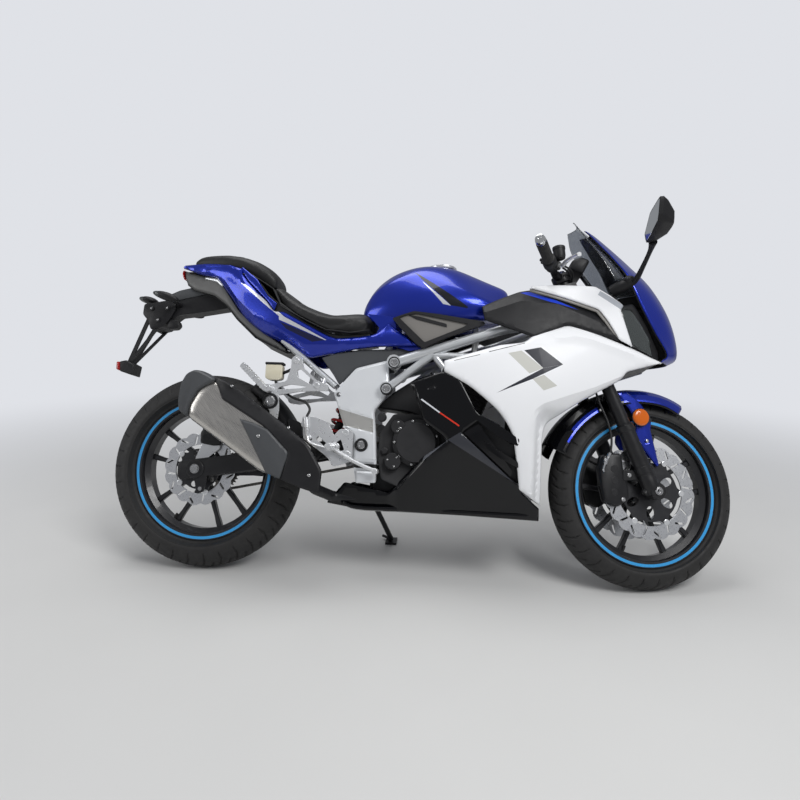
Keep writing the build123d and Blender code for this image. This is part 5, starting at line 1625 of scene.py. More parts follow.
# a button head with a hexagon socket, and a hexagon head on a washer
SCREW = head_pattern([(1.0, -0.6, 0), (1.0, 0.15, 0), (0.92, 0.4, 0), (0.62, 0.58, 0),
                      (0.5, 0.6, 6), (0.46, 0.56, 6), (0.42, 0.1, 6)], 18)
BOLT = head_pattern([(1.25, -0.4, 0), (1.25, 0.0, 0), (1.2, 0.1, 0), (0.98, 0.1, 6), (1.0, 0.16, 6),
                     (1.0, 0.62, 6), (0.9, 0.72, 6)], 24)
OUT_RIGHT, OUT_LEFT = (0, -1, 0), (0, 1, 0)


def on_sides(spots):
    """The same fasteners on the other side of the machine."""
    return [((p[0], -p[1], p[2]), (f[0], -f[1], f[2]), *rest)
            for p, f, *rest in spots] + list(spots)


# %% [markdown]
# ## Exhaust
# The muffler is a short fat can of brushed steel whose section is a rounded
# lozenge. A moulded black cap closes its rear, and a long dark shield with a
# pointed cover lies on its outer face. The can is a set of rounded outlines
# stacked across the machine, like the layers of a cake, with a crowned face.

# %% Muffler
def inset(outline, depth):
    """An outline moved inwards."""
    area = sum(a[0] * b[1] - b[0] * a[1] for a, b in zip(outline, outline[1:] + outline[:1]))
    out = []
    for before, here, after in zip(outline[-1:] + outline[:-1], outline, outline[1:] + outline[:1]):
        one, two = (Vector(here) - Vector(before)).normalized(), (Vector(after)
                                                                  - Vector(here)).normalized()
        middle = Vector((-(one.y + two.y), one.x + two.x)).normalized() * (1 if area > 0 else -1)
        reach = depth / max(0.4, abs(middle.dot(Vector((-one.y, one.x)))))
        out.append(tuple(Vector(here) + middle * reach))
    return out


def pillow(outline, levels, radius, round_steps=4):
    """A side-view outline stacked through (y, inset) levels, closed at both ends."""
    rows = []
    for y, depth in levels:
        loop = rounded(inset(outline, depth) if abs(depth) > 1e-6 else outline, radius, round_steps)
        rows.append([(x, y, z) for x, z in loop])
    return capped(grid(rows, closed=True), len(rows[0]))


can = pillow([(80, 586), (28, 560), (-4, 500), (-2, 462), (246, 300), (330, 300), (388, 380),
              (372, 398)],
             ((-138, 34), (-141, 24), (-148, 12), (-160, 4), (-174, 0), (-192, 0), (-204, 3),
              (-212, 9), (-217, 20), (-219, 36)),
             radius=22, round_steps=5)
make_piece("muffler_can", can, "chassis", FINISHES["brushed steel"],
           instead_of="muffler_body", sharp=60)
cap_outline = [(-12, 599), (12, 611), (34, 609), (90, 580), (30, 543), (8, 500), (0, 462),
               (-28, 479), (-34, 508), (-29, 566)]
cap_shape = pillow(cap_outline, ((-136, 10), (-141, 6), (-150, 2), (-160, 0), (-194, 0),
                                 (-210, 1.5), (-219, 5), (-222, 9)),
                   radius=9)
make_piece("muffler_cap", cap_shape, "chassis", FINISHES["grey plastic"],
           instead_of="muffler_end_cap", sharp=35)


def dished(outline, y, lift, radius):
    """A thin cover over the muffler's outer face: its middle stands out by lift."""
    return mirrored(skin_panel(outline, ((-400, 0, 0), (600, 0, 0)), (1000, 0), lambda x, z,
                               v: v - y + lift(x, z), radius=radius, step=12, roll=5, roll_wide=7))


def across_shield(x, z):
    line = on_line([(97, 552), (109, 524), (257, 436), (365, 397), (384, 393)], x)
    return 3.0 - 0.28 * np.clip(z - line, 0, 40)


shield_outline = [(74, 589), (104, 581), (136, 566), (320, 441), (384, 393), (432, 317), (427, 247),
                  (373, 261), (304, 286), (326, 366), (260, 428), (240, 444), (109, 520), (97, 552)]
shield = dished(shield_outline, -221.5, across_shield, radius=[4, 0, 6, 0, 12, 14, 6, 0, 6, 8, 8, 0,
                                                               8, 6])
make_piece("muffler_guard", shield, "chassis", FINISHES["dark plastic"],
           instead_of="muffler_shield", turn_out=False, wall=3.0, sharp=22)


def across_cover(x, z):
    ridge = on_line([(171, 462), (240, 395), (290, 330), (307, 286)], x)
    return 4.5 - 0.06 * np.abs(z - ridge)


cover = dished([(171, 462), (212, 452), (260, 433), (328, 367), (307, 286), (262, 302)], -226.0,
               across_cover, radius=[3, 0, 8, 10, 6, 4])
make_piece("muffler_cover", cover, "chassis", FINISHES["grey plastic"],
           turn_out=False, wall=3.0, sharp=22)
frame["nodes"]["exhaust_pipe"].data.materials[0] = FINISHES["black metal"]
clamp = turned_on((379, -166, 318), (368, -178, 350), [(19, 0), (21.5, 0), (22.5, 0.1), (22.5, 0.9),
                                                       (21.5, 1), (19, 1)], 40)
make_piece("exhaust_clamp", clamp, "chassis", FINISHES["bare alloy"], sharp=30)
set_copies("muffler_screws", SCREW, [((235, -230.5, 411), OUT_RIGHT, 5.5),
                                     ((395, -225.5, 301), OUT_RIGHT, 5),
                                     ((323, -222, 440), OUT_RIGHT, 4),
                                     ((138, -219, 561), OUT_RIGHT, 4)],
           "chassis", "bolt steel")

# %% [markdown]
# ## Frame plates and footrests
# The cast pivot plates join frame, engine and swingarm. They are bright, with
# wide bevels between flat facets. Each plate is a panel over a flat skin, with
# one band and one patch pressed lower, backed by a flat inner plate.

# %% Pivot plates
plate_outline = [(436, 562), (470, 604), (503, 643), (604, 672), (611, 583), (596, 548), (566, 511),
                 (575, 437), (581, 350), (581, 286), (520, 283), (508, 348), (506, 429), (475, 455),
                 (453, 514)]


def pivot_shape(x, z, y):
    band = inside([(448, 520), (458, 512), (562, 488), (567, 436), (474, 458), (440, 530)], x, z)
    low = inside([(500, 352), (590, 352), (590, 318), (500, 318)], x, z)
    above = np.clip(z - on_line([(430, 552), (610, 612)], x), 0, 60)
    return y - np.where(band, 2.7 * np.clip((x - 440) / 40, 0, 1), 0) - np.where(low, 5,
                                                                                 0) - 0.05 * above


plate_holes = [circle(452, 557, 8, 20), circle(532, 401, 17, 28)]
plate_sheet = skin_panel(plate_outline, ((-400, 131, 131), (900, 131, 131)), (1000, 0), pivot_shape,
                         radius=[14, 0, 10, 6, 12, 10, 12, 8, 0, 4, 4, 8, 10, 10, 10], step=9,
                         roll=6, roll_wide=8,
                         lines=[[(446, 522), (562, 489), (567, 436), (476, 457)],
                                [(436, 553), (606, 612)], [(512, 350), (578, 350)],
                                [(512, 320), (578, 320)]], holes=plate_holes)
inner = plate(rounded(plate_outline, 8), 104, 126, holes=plate_holes)
plate_paint = add_stripes(FINISHES["white plate"].copy(), [
    # the grey band is painted shade on the facet that is pressed in
    ([(437, 517), (566, 483), (568, 441), (473, 460), (446, 494)], (0.4, 0.395, 0.38)),
    ([(504, 344), (589, 343), (590, 326), (505, 331)], (0.02, 0.02, 0.02)),
])
plate_paint.name = "white plate with a shaded band"
make_piece("pivot_castings", both(merge(plate_sheet, inner)), "chassis", plate_paint,
           instead_of="pivot_plates", sharp=18, turn_out=False)
crosses = merge(*[tube([(x, y, z) for y in (-104, 0, 104)], 12, 20, 1)
                  for x, z in ((490, 600), (545, 300))])
make_piece("pivot_crosses", crosses, "chassis", FINISHES["frame silver"])


def washer_bolt(x, z, y, ring, bolt, s):
    """A black rubber-edged ring with a bright bolt in it, on side s (-1 right, 1 left)."""
    dark = lathe([(ring - 8, y * s), (ring - 8, (y + 4.5) * s), (ring - 5, (y + 6.5) * s),
                  (ring - 1.5, (y + 6) * s), (ring, (y + 3.5) * s), (ring, (y - 3) * s)], x, z, 40)
    bright = lathe([(0.3, (y + 6.5) * s), (bolt * 0.45, (y + 6.5) * s), (bolt * 0.5, (y + 9) * s),
                    (bolt * 0.85, (y + 9) * s), (bolt, (y + 7) * s), (bolt, (y - 2) * s),
                    (0.3, (y - 2) * s)], x, z, 36)
    return merge(dark, painted(bright, 1))


CAPS = ((532, 401, 129, 21, 12.5), (625, 661, 146, 20, 12), (604, 578, 146, 20, 12),
        (790, 640, 134, 15, 9))
caps = [washer_bolt(*place, s) for place in CAPS for s in (-1, 1)]
make_piece("pivot_caps", merge(*caps), "chassis", [FINISHES["black metal"], FINISHES["bolt steel"]],
           sharp=30)

# %% [markdown]
# The rider's footrests hang on cast plates with cut-outs. The right one
# carries the rear brake pedal and its master cylinder with a small reservoir
# hose, the left one the gear lever. The castings are plates with holes in
# them, and the bosses and pegs are turned.

# %% Rider footrest plates
REST_OUTLINE = [(343, 482), (386, 482), (430, 466), (447, 425), (463, 446), (493, 449), (507, 440),
                (508, 352), (488, 342), (470, 336), (448, 330), (436, 352), (420, 366), (352, 412)]
REST_HOLES = [[(392, 412), (398, 424), (446, 384), (436, 378)], [(454, 404), (470, 416), (482, 382),
                                                                 (470, 378)]]
rest_plate = plate(rounded(REST_OUTLINE, 8), -147, -137, holes=[rounded(h, 4) for h in REST_HOLES])
rest_boss = merge(*[lathe([(2, -151), (9, -151), (11, -149), (11, -134), (2, -134)], x, z, 28)
                    for x, z in
                    ((353, 458), (366, 416), (484, 437), (492, 370))])
knurls = []
for k in range(10):
    along = (-k * 0.75, -k * 6.6, -k * 0.35)
    start, end = ([p + a for p, a in zip(point, along)]
                  for point in ((452, -160, 391), (451.6, -163.2, 390.8)))
    knurls.append(turned_on(start, end, [(9, 0), (11.4, 0.15), (11.4, 0.85), (9, 1)], 20))
peg_core = turned_on((455, -140, 392), (448, -228, 388),
                     [(8, 0), (9, 0.05), (9.4, 0.2), (9.4, 0.95), (8, 1.0)], 24)
peg_hinge = lathe([(1, -140), (12, -140), (13, -142), (13, -158), (12, -160), (1, -160)], 455, 392,
                  28)
rest = merge(rest_plate, rest_boss, peg_core, *knurls, peg_hinge)
pedal = merge(tube([(446, -152, 386), (480, -156, 366), (540, -158, 338), (585, -158, 322)],
                   [9, 6.5, 6, 6], 14, 6),
              turned_on((585, -150, 321), (585, -192, 321), [(5, 0), (9, 0.05), (9, 0.95), (7, 1)],
                        20))
gear = merge(tube([(440, 152, 384), (500, 158, 378), (560, 158, 374), (590, 158, 372)],
                  [9, 6, 5.5, 5.5], 14, 6),
             turned_on((590, 150, 372), (590, 193, 372), [(5, 0), (8.5, 0.05), (8.5, 0.95), (6, 1)],
                       20))
master = merge(turned_on((358, -154, 480), (366, -156, 420),
                         [(4, 0), (9, 0.03), (9, 0.55), (6, 0.6), (6, 0.9), (3, 1)], 24),
               tube([(366, -156, 420), (372, -157, 404), (392, -156, 394), (428, -154, 386)], 4, 12,
                    5))
make_piece("rider_pegs", merge(rest, mirrored(rest), pedal, gear, master), "chassis",
           FINISHES["bare alloy"], instead_of="rider_footrests", bevel=0.9, sharp=30)

# %% [markdown]
# The passenger's hangers are cast triangles bolted to the rear frame, with a
# folded footrest at the rear corner. A black rubber mount below carries the
# muffler. The folded peg is a run of sections along its slant.

# %% Passenger hangers
hanger_outline = [(296, 668), (312, 680), (332, 664), (334, 640), (380, 600), (420, 584),
                  (420, 566), (392, 566), (330, 562), (262, 548), (236, 552), (222, 572),
                  (238, 582), (284, 594), (296, 640)]
hanger_holes = [[(316, 630), (326, 634), (372, 596), (366, 584), (320, 606)],
                [(256, 566), (262, 574), (300, 584), (352, 578), (330, 572)]]
hanger_plate = plate(rounded(hanger_outline, 7), -138.5, -128,
                     holes=[rounded(h, 4) for h in hanger_holes])
ribs = merge(*[lathe([(2, -142), (8.5, -142), (10, -140.5), (10, -126), (2, -126)], x, z, 28)
               for x, z in ((312, 660), (382, 583))])
stand_offs = merge(turned_on((320, -112, 672), (316, -130, 655), [(7, 0), (7, 1)], 20),
                   turned_on((402, -112, 608), (398, -130, 580), [(7, 0), (7, 1)], 20))
fold = lathe([(1, -136), (12, -136), (13.5, -138), (13.5, -170), (12, -172), (1, -172)], 231, 566,
             28)
PEG_SECTION = ((-5, -8, -6), (5, -9, 5), (5, -2, 6), (6, 7, 6), (-4, 9, -5), (-6, 0, -7))
RIDGE_SECTION = ((-6, -10.5, -7), (6.5, -11, 6), (7, 8, 7.4), (-5, 10, -6))
folded_peg = sections([[(228 + dx - 74 * t, -172 + dy - 18 * t, 562 + dz + 72 * t)
                        for dx, dy, dz in PEG_SECTION]
                       for t in (0, 0.04, 0.96, 1.0)])
ridges = []
for k in range(9):
    t = 0.1 + k * 0.095
    cx, cy, cz = 228 - 74 * t, -172 - 18 * t, 562 + 72 * t
    ridges.append(sections([[(cx + dx - 3.2 * s, cy + dy, cz + dz + 3.1 * s)
                             for dx, dy, dz in RIDGE_SECTION]
                            for s in (0, 1)]))
passenger = merge(hanger_plate, ribs, stand_offs, fold, folded_peg, *ridges)
make_piece("passenger_pegs", both(passenger), "chassis", FINISHES["bare alloy"],
           instead_of="passenger_footrests", bevel=0.8, sharp=30)
mount_plate = plate(rounded([(226, 548), (262, 552), (266, 506), (262, 456), (244, 452), (236, 500),
                             (212, 516)], 6), -141, -136)
make_piece("muffler_hanger", mount_plate, "chassis", FINISHES["bare alloy"],
           bevel=0.8)
make_piece("muffler_mount", washer_bolt(237, 528, 140, 25, 15, -1), "chassis",
           [FINISHES["black metal"], FINISHES["bolt steel"]], sharp=30)

# %% [markdown]
# A small cream reservoir for the rear brake fluid stands on the right-hand
# hanger, with a black cap and a hose down to the master cylinder. Tub and cap
# are outlines of the side view, stacked across the machine.

# %% Brake fluid reservoir
tub = pillow([(209, 604), (209, 648), (264, 648), (264, 604), (252, 598), (222, 598)],
             ((-126, 4), (-124, 0), (-96, 0), (-94, 4)), radius=7)
lid = pillow([(207, 648), (207, 656), (266, 656), (266, 648)],
             ((-127, 3), (-125, 0), (-95, 0), (-93, 3)), radius=2)
lug = tube([(262, -112, 622), (284, -118, 630), (306, -124, 640)], 5, 12, 4)
make_piece("fluid_reservoir", merge(tub, painted(merge(lid, lug), 1)), "chassis",
           [FINISHES["cream plastic"], FINISHES["dark plastic"]], bevel=0.8,
           sharp=35)
feed = tube([(240, -112, 600), (250, -114, 580), (300, -118, 545), (345, -130, 530),
             (366, -146, 506), (360, -153, 482)], 4, 12, 6)
make_piece("reservoir_hose", feed, "chassis", FINISHES["hose"])

# %% [markdown]
# Under the seat a dark grey cover closes the gap between the rear frame, the
# tail and the pivot plate. It is made like the fairing panels, over a flat skin.

# %% Side cover under the seat
side_cover = skin_panel([(388, 676), (430, 690), (512, 706), (690, 713), (684, 702), (604, 672),
                         (580, 664), (498, 642), (450, 588), (430, 620)],
                        ((-400, 118, 118), (900, 118, 118)), (1000, 0),
                        radius=[4, 0, 0, 3, 3, 0, 6, 12, 6, 8], step=10, roll=4, roll_wide=6,
                        lines=[[(440, 608), (470, 660), (560, 690)]])
make_piece("side_covers", both(side_cover), "chassis", FINISHES["grey plastic"],
           turn_out=False, wall=3.0, sharp=30)

# %% [markdown]
# ## Front end
# The fork, fender, calipers and hose all turn with the steering. A fork leg is
# a slim dark tube that slides in a thicker one, with a dust seal where they
# meet and a foot round the axle. Legs are turned profiles along the steering
# axis, so their steps and grooves come out round and sharp.

# %% Fork legs
HEAD_UP = Vector((-sin(radians(RAKE)), 0, cos(radians(RAKE))))
HEAD_AHEAD = Vector((cos(radians(RAKE)), 0, sin(radians(RAKE))))


def on_fork(u, y, w):
    """A point of the steering head's own axes (ahead, left, up) in the machine's millimetres."""
    return tuple(Vector((1505, 0, 0)) + HEAD_AHEAD * u + Vector((0, y, 0)) + HEAD_UP * w)


SLIDER = [(12, 296), (22, 298), (25, 304), (26, 316), (26, 346), (25, 350), (25, 360), (24.2, 361),
          (24.2, 364), (25, 365), (25, 385), (24.2, 386), (24.2, 389), (25, 390), (24.6, 470),
          (24.6, 500), (26.6, 503), (26.6, 519), (24, 523), (20.4, 524), (20.2, 640),
          (20.2, 1030), (18, 1034), (10, 1034), (9, 1031), (0.5, 1031)]
LEG_LOW, LEG_HIGH, LEG_Y = 296, 1040, 98
FOOT = [(8, 75), (23, 75), (25, 77), (25, 119), (22, 121), (14, 121), (13, 118), (8, 118)]
AXLE_END = [(0.5, 60), (8, 60), (8, 119), (12, 119), (12.5, 120), (12.5, 123), (6, 123.8),
            (5.5, 121), (0.5, 121)]
leg_profile = [(r, (w - LEG_LOW) / (LEG_HIGH - LEG_LOW)) for r, w in SLIDER]
fork_parts = []
for side in (-1, 1):
    y = LEG_Y * side
    fork_parts.append(turned_on(on_fork(23, y, LEG_LOW), on_fork(23, y, LEG_HIGH), leg_profile, 48))
    fork_parts.append(lathe([(r, v * side) for r, v in FOOT], *FRONT_AXLE, 48))
    fork_parts.append(painted(lathe([(r, v * side) for r, v in AXLE_END], *FRONT_AXLE, 36), 1))
    fork_parts.append(turned_on(on_fork(-6, y, 306), on_fork(30, y, 330),
                                [(9, 0), (12, 0.06), (12, 0.94), (9, 1)], 20))
make_piece("fork_tubes", merge(*fork_parts), "steering",
           [FINISHES["black metal"], FINISHES["bolt steel"]], instead_of="fork_legs",
           sharp=28)

# %% [markdown]
# The fender is a pressed shell that arches over the tyre. Its section has a
# flat crown, a shoulder and a side, and each band keeps its own colour: blue in
# front, black behind with one blue facet. A blade on each side joins the fork.

# %% Front fender
ARCH_X, ARCH_Z = 1401, 290
# the section's half width and its distance from the arch's centre, from the crown to the edge
BANDS = [(0, 331), (26, 329.5), (50, 320), (66, 306), (74, 288), (75.5, 276)]


def fender_arch():
    """The arch over the front tyre; its upper part is blue, the rest black."""
    bands = [(-y, r) for y, r in reversed(BANDS[1:])] + BANDS
    fine = []
    for (y0, r0), (y1, r1) in zip(bands, bands[1:]):
        fine += [(y0, r0), ((y0 + y1) / 2, (r0 + r1) / 2)]
    fine.append(bands[-1])
    rows = []
    for t in np.linspace(0, 1, 49):
        row = []
        for y, r in fine:
            edge = (abs(y) / BANDS[-1][0]) ** 2
            start, end = 62.5 + 4 * max(0, edge - 0.8), 156 + 3 * edge
            a = radians(start + (end - start) * t)
            narrow = 1 - 0.22 * max(0, (0.16 - t) / 0.16) ** 1.5
            row.append((ARCH_X + r * cos(a), y * narrow, ARCH_Z + r * sin(a)))
        rows.append(row)
    points, faces, _ = grid(rows)
    numbers = []
    for face in faces:
        x, _, z = np.mean([points[i] for i in face], axis=0) - (ARCH_X, 0, ARCH_Z)
        a, r = degrees(atan2(z, x)), hypot(z, x)
        blue = (a < 104 and r > 283) or (121 < a < 150 and 283 < r < 298 - (a - 121) * 0.25)
        numbers.append(0 if blue else 1)
    return points, faces, numbers


make_piece("fender_arch", fender_arch(), "steering", [blue_paint, FINISHES["gloss black"]],
           instead_of="front_fender", wall=2.6, sharp=14, turn_out=True)
BLADE = [(1316, 596), (1346, 600), (1388, 575), (1412, 540), (1428, 512), (1423, 482), (1446, 374),
         (1437, 367), (1370, 455), (1376, 500), (1352, 548), (1336, 566)]
blade = skin_panel(BLADE, ((1000, 72, 72), (1700, 72, 72)), (1000, 0),
                   lambda x, z, y: y + 5 - 0.12 * np.abs(x - (1395 + (500 - z) * 0.33)),
                   radius=[4, 4, 10, 8, 6, 6, 3, 3, 8, 8, 6, 4], step=9, roll=4, roll_wide=6,
                   lines=[[(1362, 590), (1395, 500), (1434, 385)]],
                   holes=[circle(1407, 447, 5, 14)])
make_piece("fender_blades", both(blade), "steering", blue_paint, turn_out=False,
           wall=3.2, sharp=18)
REFLECTOR = (1384, 519)
LENS_PROFILE = [(0.3, 92.5), (16, 92.3), (24, 91), (26.8, 88), (27, 84), (0.3, 84)]
BASE_PROFILE = [(26.9, 88.4), (28.4, 88.4), (29, 87), (28.4, 84.2), (0.3, 84.2), (0.3, 88)]
reflectors, bases = [], []
for side in (-1, 1):
    reflectors.append(lathe([(r, v * side) for r, v in LENS_PROFILE], *REFLECTOR, 48))
    bases.append(lathe([(r, v * side) for r, v in BASE_PROFILE], *REFLECTOR, 48))
    bases.append(plate(rounded([(1396, 500), (1420, 508), (1424, 514), (1404, 532)], 3),
                       80 * side - 2, 80 * side + 2))
make_piece("fork_reflectors", merge(*reflectors), "steering", FINISHES["amber lens"],
           sharp=40)
make_piece("reflector_bases", merge(*bases), "steering", FINISHES["black metal"],
           bevel=0.5)
set_copies("front_screws", SCREW,
           on_sides([((1407, -76.5, 447), OUT_RIGHT, 5.5), ((1357, -80, 480), OUT_RIGHT, 5.0)]),
           "steering", "bolt steel")

# %% [markdown]
# Each front caliper is a cast body in two halves over the disc, with round
# piston caps outside and four bolts. The halves are outlines of the side view,
# stacked across the machine. The hose ends in a bright fitting.

# %% Front calipers and hose
CALIPER = [(1252, 300), (1250, 352), (1258, 392), (1282, 400), (1318, 402), (1324, 350),
           (1338, 296), (1338, 262), (1300, 238), (1264, 250)]
half = pillow(CALIPER, ((69.5, 3), (71, 0), (82, 0), (87, 3), (89, 9)), radius=9)
inner_half = pillow(CALIPER, ((49, 8), (51, 2), (58, 0), (59.5, 2)), radius=9)
bridge = pillow([(1252, 300), (1248, 352), (1256, 394), (1270, 398), (1268, 350), (1270, 300)],
                ((56, 0), (72, 0)), radius=5)
pots = merge(*[lathe([(0.5, 89.6), (11, 89.6), (12, 88.4), (14, 88.4), (15.5, 86), (15.5, 80),
                      (0.5, 80)], x, z, 32)
               for x, z in ((1291, 282), (1293, 318), (1291, 354))])
arm = pillow([(1318, 318), (1318, 352), (1392, 352), (1408, 330), (1404, 314), (1360, 322)],
             ((78, 2), (80, 0), (90, 0), (92, 2)), radius=6)
make_piece("caliper_bodies", both(merge(half, inner_half, bridge, pots, arm)), "steering",
           FINISHES["black metal"], instead_of="front_calipers", bevel=0.6, sharp=32)
set_copies("caliper_bolts", BOLT,
           on_sides([((1266, -89, 378), OUT_RIGHT, 5.5), ((1318, -89, 262), OUT_RIGHT, 5.5),
                     ((1338, -92, 336), OUT_RIGHT, 5.5), ((1382, -92, 332), OUT_RIGHT, 5.5)]),
           "steering", "bolt steel")
hose = tube([(1216, -70, 735), (1232, -74, 640), (1250, -85, 560), (1272, -92, 500),
             (1283, -93, 450), (1281, -92, 410), (1275, -90, 392)], 3.4, 14, 8)
fitting = turned_on((1279, -92, 402), (1262, -89, 366),
                    [(4, 0), (5.5, 0.04), (5.5, 0.4), (4, 0.45), (4, 0.8), (7, 0.82), (7, 1)], 18)
pipe = tube([(1264, -90, 372), (1257, -90, 352), (1258, -90, 342)], 3.2, 12, 4)
make_piece("brake_line", merge(hose, painted(merge(fitting, pipe), 1)), "steering",
           [FINISHES["hose"], FINISHES["chrome"]], instead_of="brake_hose")

# %% [markdown]
# ## Engine and radiator
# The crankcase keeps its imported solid. Its round clutch cover gets a stepped
# rim with a ring of small screws, and the cylinder gets cooling ribs. Both are
# copies set by the tree above.

# %% Engine covers
CRANK = (703, 414)
cover_rows = [(0.5, 148.6), (40, 148.6), (44, 147.6), (47, 144), (50, 142.6), (57, 142),
              (60, 140.5), (62, 137), (66, 135), (72, 134.4), (73.5, 131), (73.5, 112), (0.5, 112)]
clutch = lathe([(r, -y) for r, y in cover_rows], *CRANK, 96)
generator = lathe([(r * 0.9, y) for r, y in cover_rows], *CRANK, 96)
small = merge(*[lathe([(0.5, -y), (r - 4, -y), (r - 1, -y + 2), (r, -y + 5), (r, -108),
                       (0.5, -108)], x, z, 48)
                for x, z, r, y in ((633, 355, 26, 139), (645, 462, 22, 137), (592, 491, 14, 132),
                                   (606, 386, 11, 130))])


def on_circle(x, z, radius, angles):
    """Points of the side view on a circle, at angles in degrees."""
    return [(x + radius * cos(radians(a)), z + radius * sin(radians(a))) for a in angles]


lugs = on_circle(*CRANK, 67, range(20, 380, 40))
bosses = merge(*[lathe([(0.5, -136.5), (5.5, -136.5), (6.5, -135), (6.5, -120), (0.5, -120)], x, z,
                       20) for x, z in lugs])
seam = pillow([(588, 360), (600, 300), (700, 262), (850, 262), (890, 330), (870, 440), (760, 500),
               (630, 500), (590, 440)],
              ((-116, 6), (-118, 2), (-118, -3), (-108, -3)), radius=10)
case = merge(clutch, generator, small, bosses, seam, mirrored(seam))
shroud = pillow([(623, 581), (689, 626), (781, 650), (834, 625), (879, 507), (714, 501), (672, 515),
                 (562, 527)],
                ((-62, 5), (-57, 0), (57, 0), (62, 5)), radius=8)
sump = pillow([(560, 330), (640, 320), (650, 283), (617, 256), (566, 262)],
              ((-62, 4), (-58, 0), (58, 0), (62, 4)), radius=8)
make_piece("airbox_and_sump", merge(shroud, sump), "chassis", FINISHES["engine black"],
           sharp=30)
make_piece("engine_covers", case, "chassis", FINISHES["engine black"], sharp=30)
set_copies("engine_screws", SCREW, [((x, -136.4, z), OUT_RIGHT, 4.2) for x, z in lugs]
           + [((x, 136.0, z), OUT_LEFT, 4.2) for x, z in lugs]
           + [((x, -138.5, z), OUT_RIGHT, 3.2) for x, z in on_circle(633, 355, 17, (45, 165, 285))]
           + [((x, -136.5, z), OUT_RIGHT, 3.2) for x, z in on_circle(645, 462, 14, (90, 270))],
           "chassis", "bolt steel")
rib_outline = [(-66, -98), (66, -98), (72, -92), (72, 92), (66, 98), (-66, 98), (-72, 92),
               (-72, -92)]
rib = capped(grid([[(a, b, -1.6) for a, b in rib_outline],
                   [(a * 1.02, b * 1.02, 0) for a, b in rib_outline],
                   [(a, b, 1.6) for a, b in rib_outline]], closed=True), 8)
along = Vector((66, 0, 166)).normalized()
set_copies("cylinder_ribs", rib,
           [(tuple(Vector((806, 0, 462)) + along * d), tuple(along), 1.0, (0.93, 0, -0.37))
            for d in range(0, 150, 13)], "chassis", "engine black")
sensor = merge(turned_on((806, -98, 545), (800, -124, 556), [(6, 0), (9, 0.05), (9, 0.5), (6, 0.55),
                                                             (6, 1)], 20),
               tube([(802, -120, 554), (792, -132, 568), (770, -128, 600), (740, -100, 640)], 3, 10,
                    5))
make_piece("engine_sensor", sensor, "chassis", FINISHES["dark plastic"])

# %% [markdown]
# The radiator is a curtain of thin fins between two tanks. Many thin blades,
# set as copies, give the right texture from the front.

# %% Radiator curtain
blade_points = capped(grid([[(-1, -127, -0.5), (27, -127, -0.5), (27, 127, -0.5), (-1, 127, -0.5)],
                            [(-1, -127, 0.5), (27, -127, 0.5), (27, 127, 0.5), (-1, 127, 0.5)]],
                           closed=True), 4)
set_copies("radiator_fins", blade_points, [((1034.5, 0, z), (0, 0, 1), 1.0, (1, 0, 0))
                                           for z in range(454, 688, 6)],
           "chassis", "bare alloy")

# %% [markdown]
# ## Under the tail
# A grey satin cover with a silver trim closes the tail from below and carries
# the long plate bracket. It follows a small skin table of its own.

# %% Tail under-cover
UNDER_OUTLINE = [(-134, 987), (-55, 962), (6, 948), (35, 912), (64, 872), (90, 836), (130, 800),
                 (262, 708), (262, 694), (158, 742), (86, 806), (40, 858), (-7, 890), (-84, 912),
                 (-113, 932), (-128, 958)]
under_side = skin_panel(UNDER_OUTLINE, ((-130, 30, 34, 30, 30), (0, 66, 66, 56, 50),
                                        (100, 90, 88, 80, 72), (260, 104, 104, 104, 96)),
                        (1000, 900, 800, 700), radius=[4, 0, 4, 0, 0, 8, 0, 4, 4, 8, 0, 10, 0, 10,
                                                       6, 8], step=10, roll=6, roll_wide=9,
                        lines=[[(-108, 952), (-40, 935), (20, 890), (76, 826)]])
trim = skin_panel([(-47, 957), (8, 948), (30, 922), (22, 918), (0, 936), (-45, 948)],
                  ((-130, 32.5, 36.5, 32, 32), (0, 69, 69, 59, 50), (100, 93, 91, 83, 75)),
                  (1000, 900, 800, 700), radius=2, step=8, roll=2)
make_piece("under_tail_sides", both(merge(under_side, painted(trim, 1))), "chassis",
           [FINISHES["tail plastic"], FINISHES["frame silver"]], turn_out=False,
           wall=2.6, sharp=28)
spine = [(-131, 24, 974), (-113, 30, 934), (-84, 36, 914), (-7, 52, 889), (40, 66, 858),
         (86, 76, 806), (158, 90, 742), (262, 98, 696), (300, 98, 700)]
under_floor = grid([[(x, y * half, z + 2.4 * (1 - y * y)) for y in np.linspace(-1, 1, 7)]
                    for x, half, z in spine])
make_piece("tail_underside", under_floor, "chassis", FINISHES["dark plastic"],
           instead_of="tail_undertray", wall=2.6, sharp=40)

# %% [markdown]
# The bracket has a grey cap over a black channel, a head where the struts
# begin, and a foot for the plate with a red reflector. Each is an outline of
# the side view, stacked across the machine. Two pairs of struts hold the foot.

# %% Plate bracket
arm_cap = pillow([(-187, 897), (-143, 917), (-93, 929), (-52, 921), (-20, 909), (-48, 903),
                  (-140, 880), (-158, 876)],
                 ((-31, 6), (-29, 2), (-24, 0), (24, 0), (29, 2), (31, 6)), radius=5)
arm_channel = pillow([(-150, 880), (-52, 904), (-21, 911), (45, 866), (30, 856), (-69, 838),
                      (-142, 828), (-166, 808), (-170, 850)],
                     ((-27, 3), (-25, 0), (25, 0), (27, 3)), radius=5)
head = pillow([(-262, 862), (-223, 868), (-155, 882), (-148, 850), (-166, 812), (-187, 784),
               (-231, 772), (-243, 803), (-264, 826)],
              ((-41, 5), (-38, 0), (38, 0), (41, 5)), radius=7)
bosses = merge(*[lathe([(0.5, -37), (9, -37), (9, -43), (6, -44), (0.5, -44)], x, z, 24)
                 for x, z in ((-232, 846), (-176, 848), (-206, 806))])
STRUT_WAY = Vector((0.915, 0, -0.403))


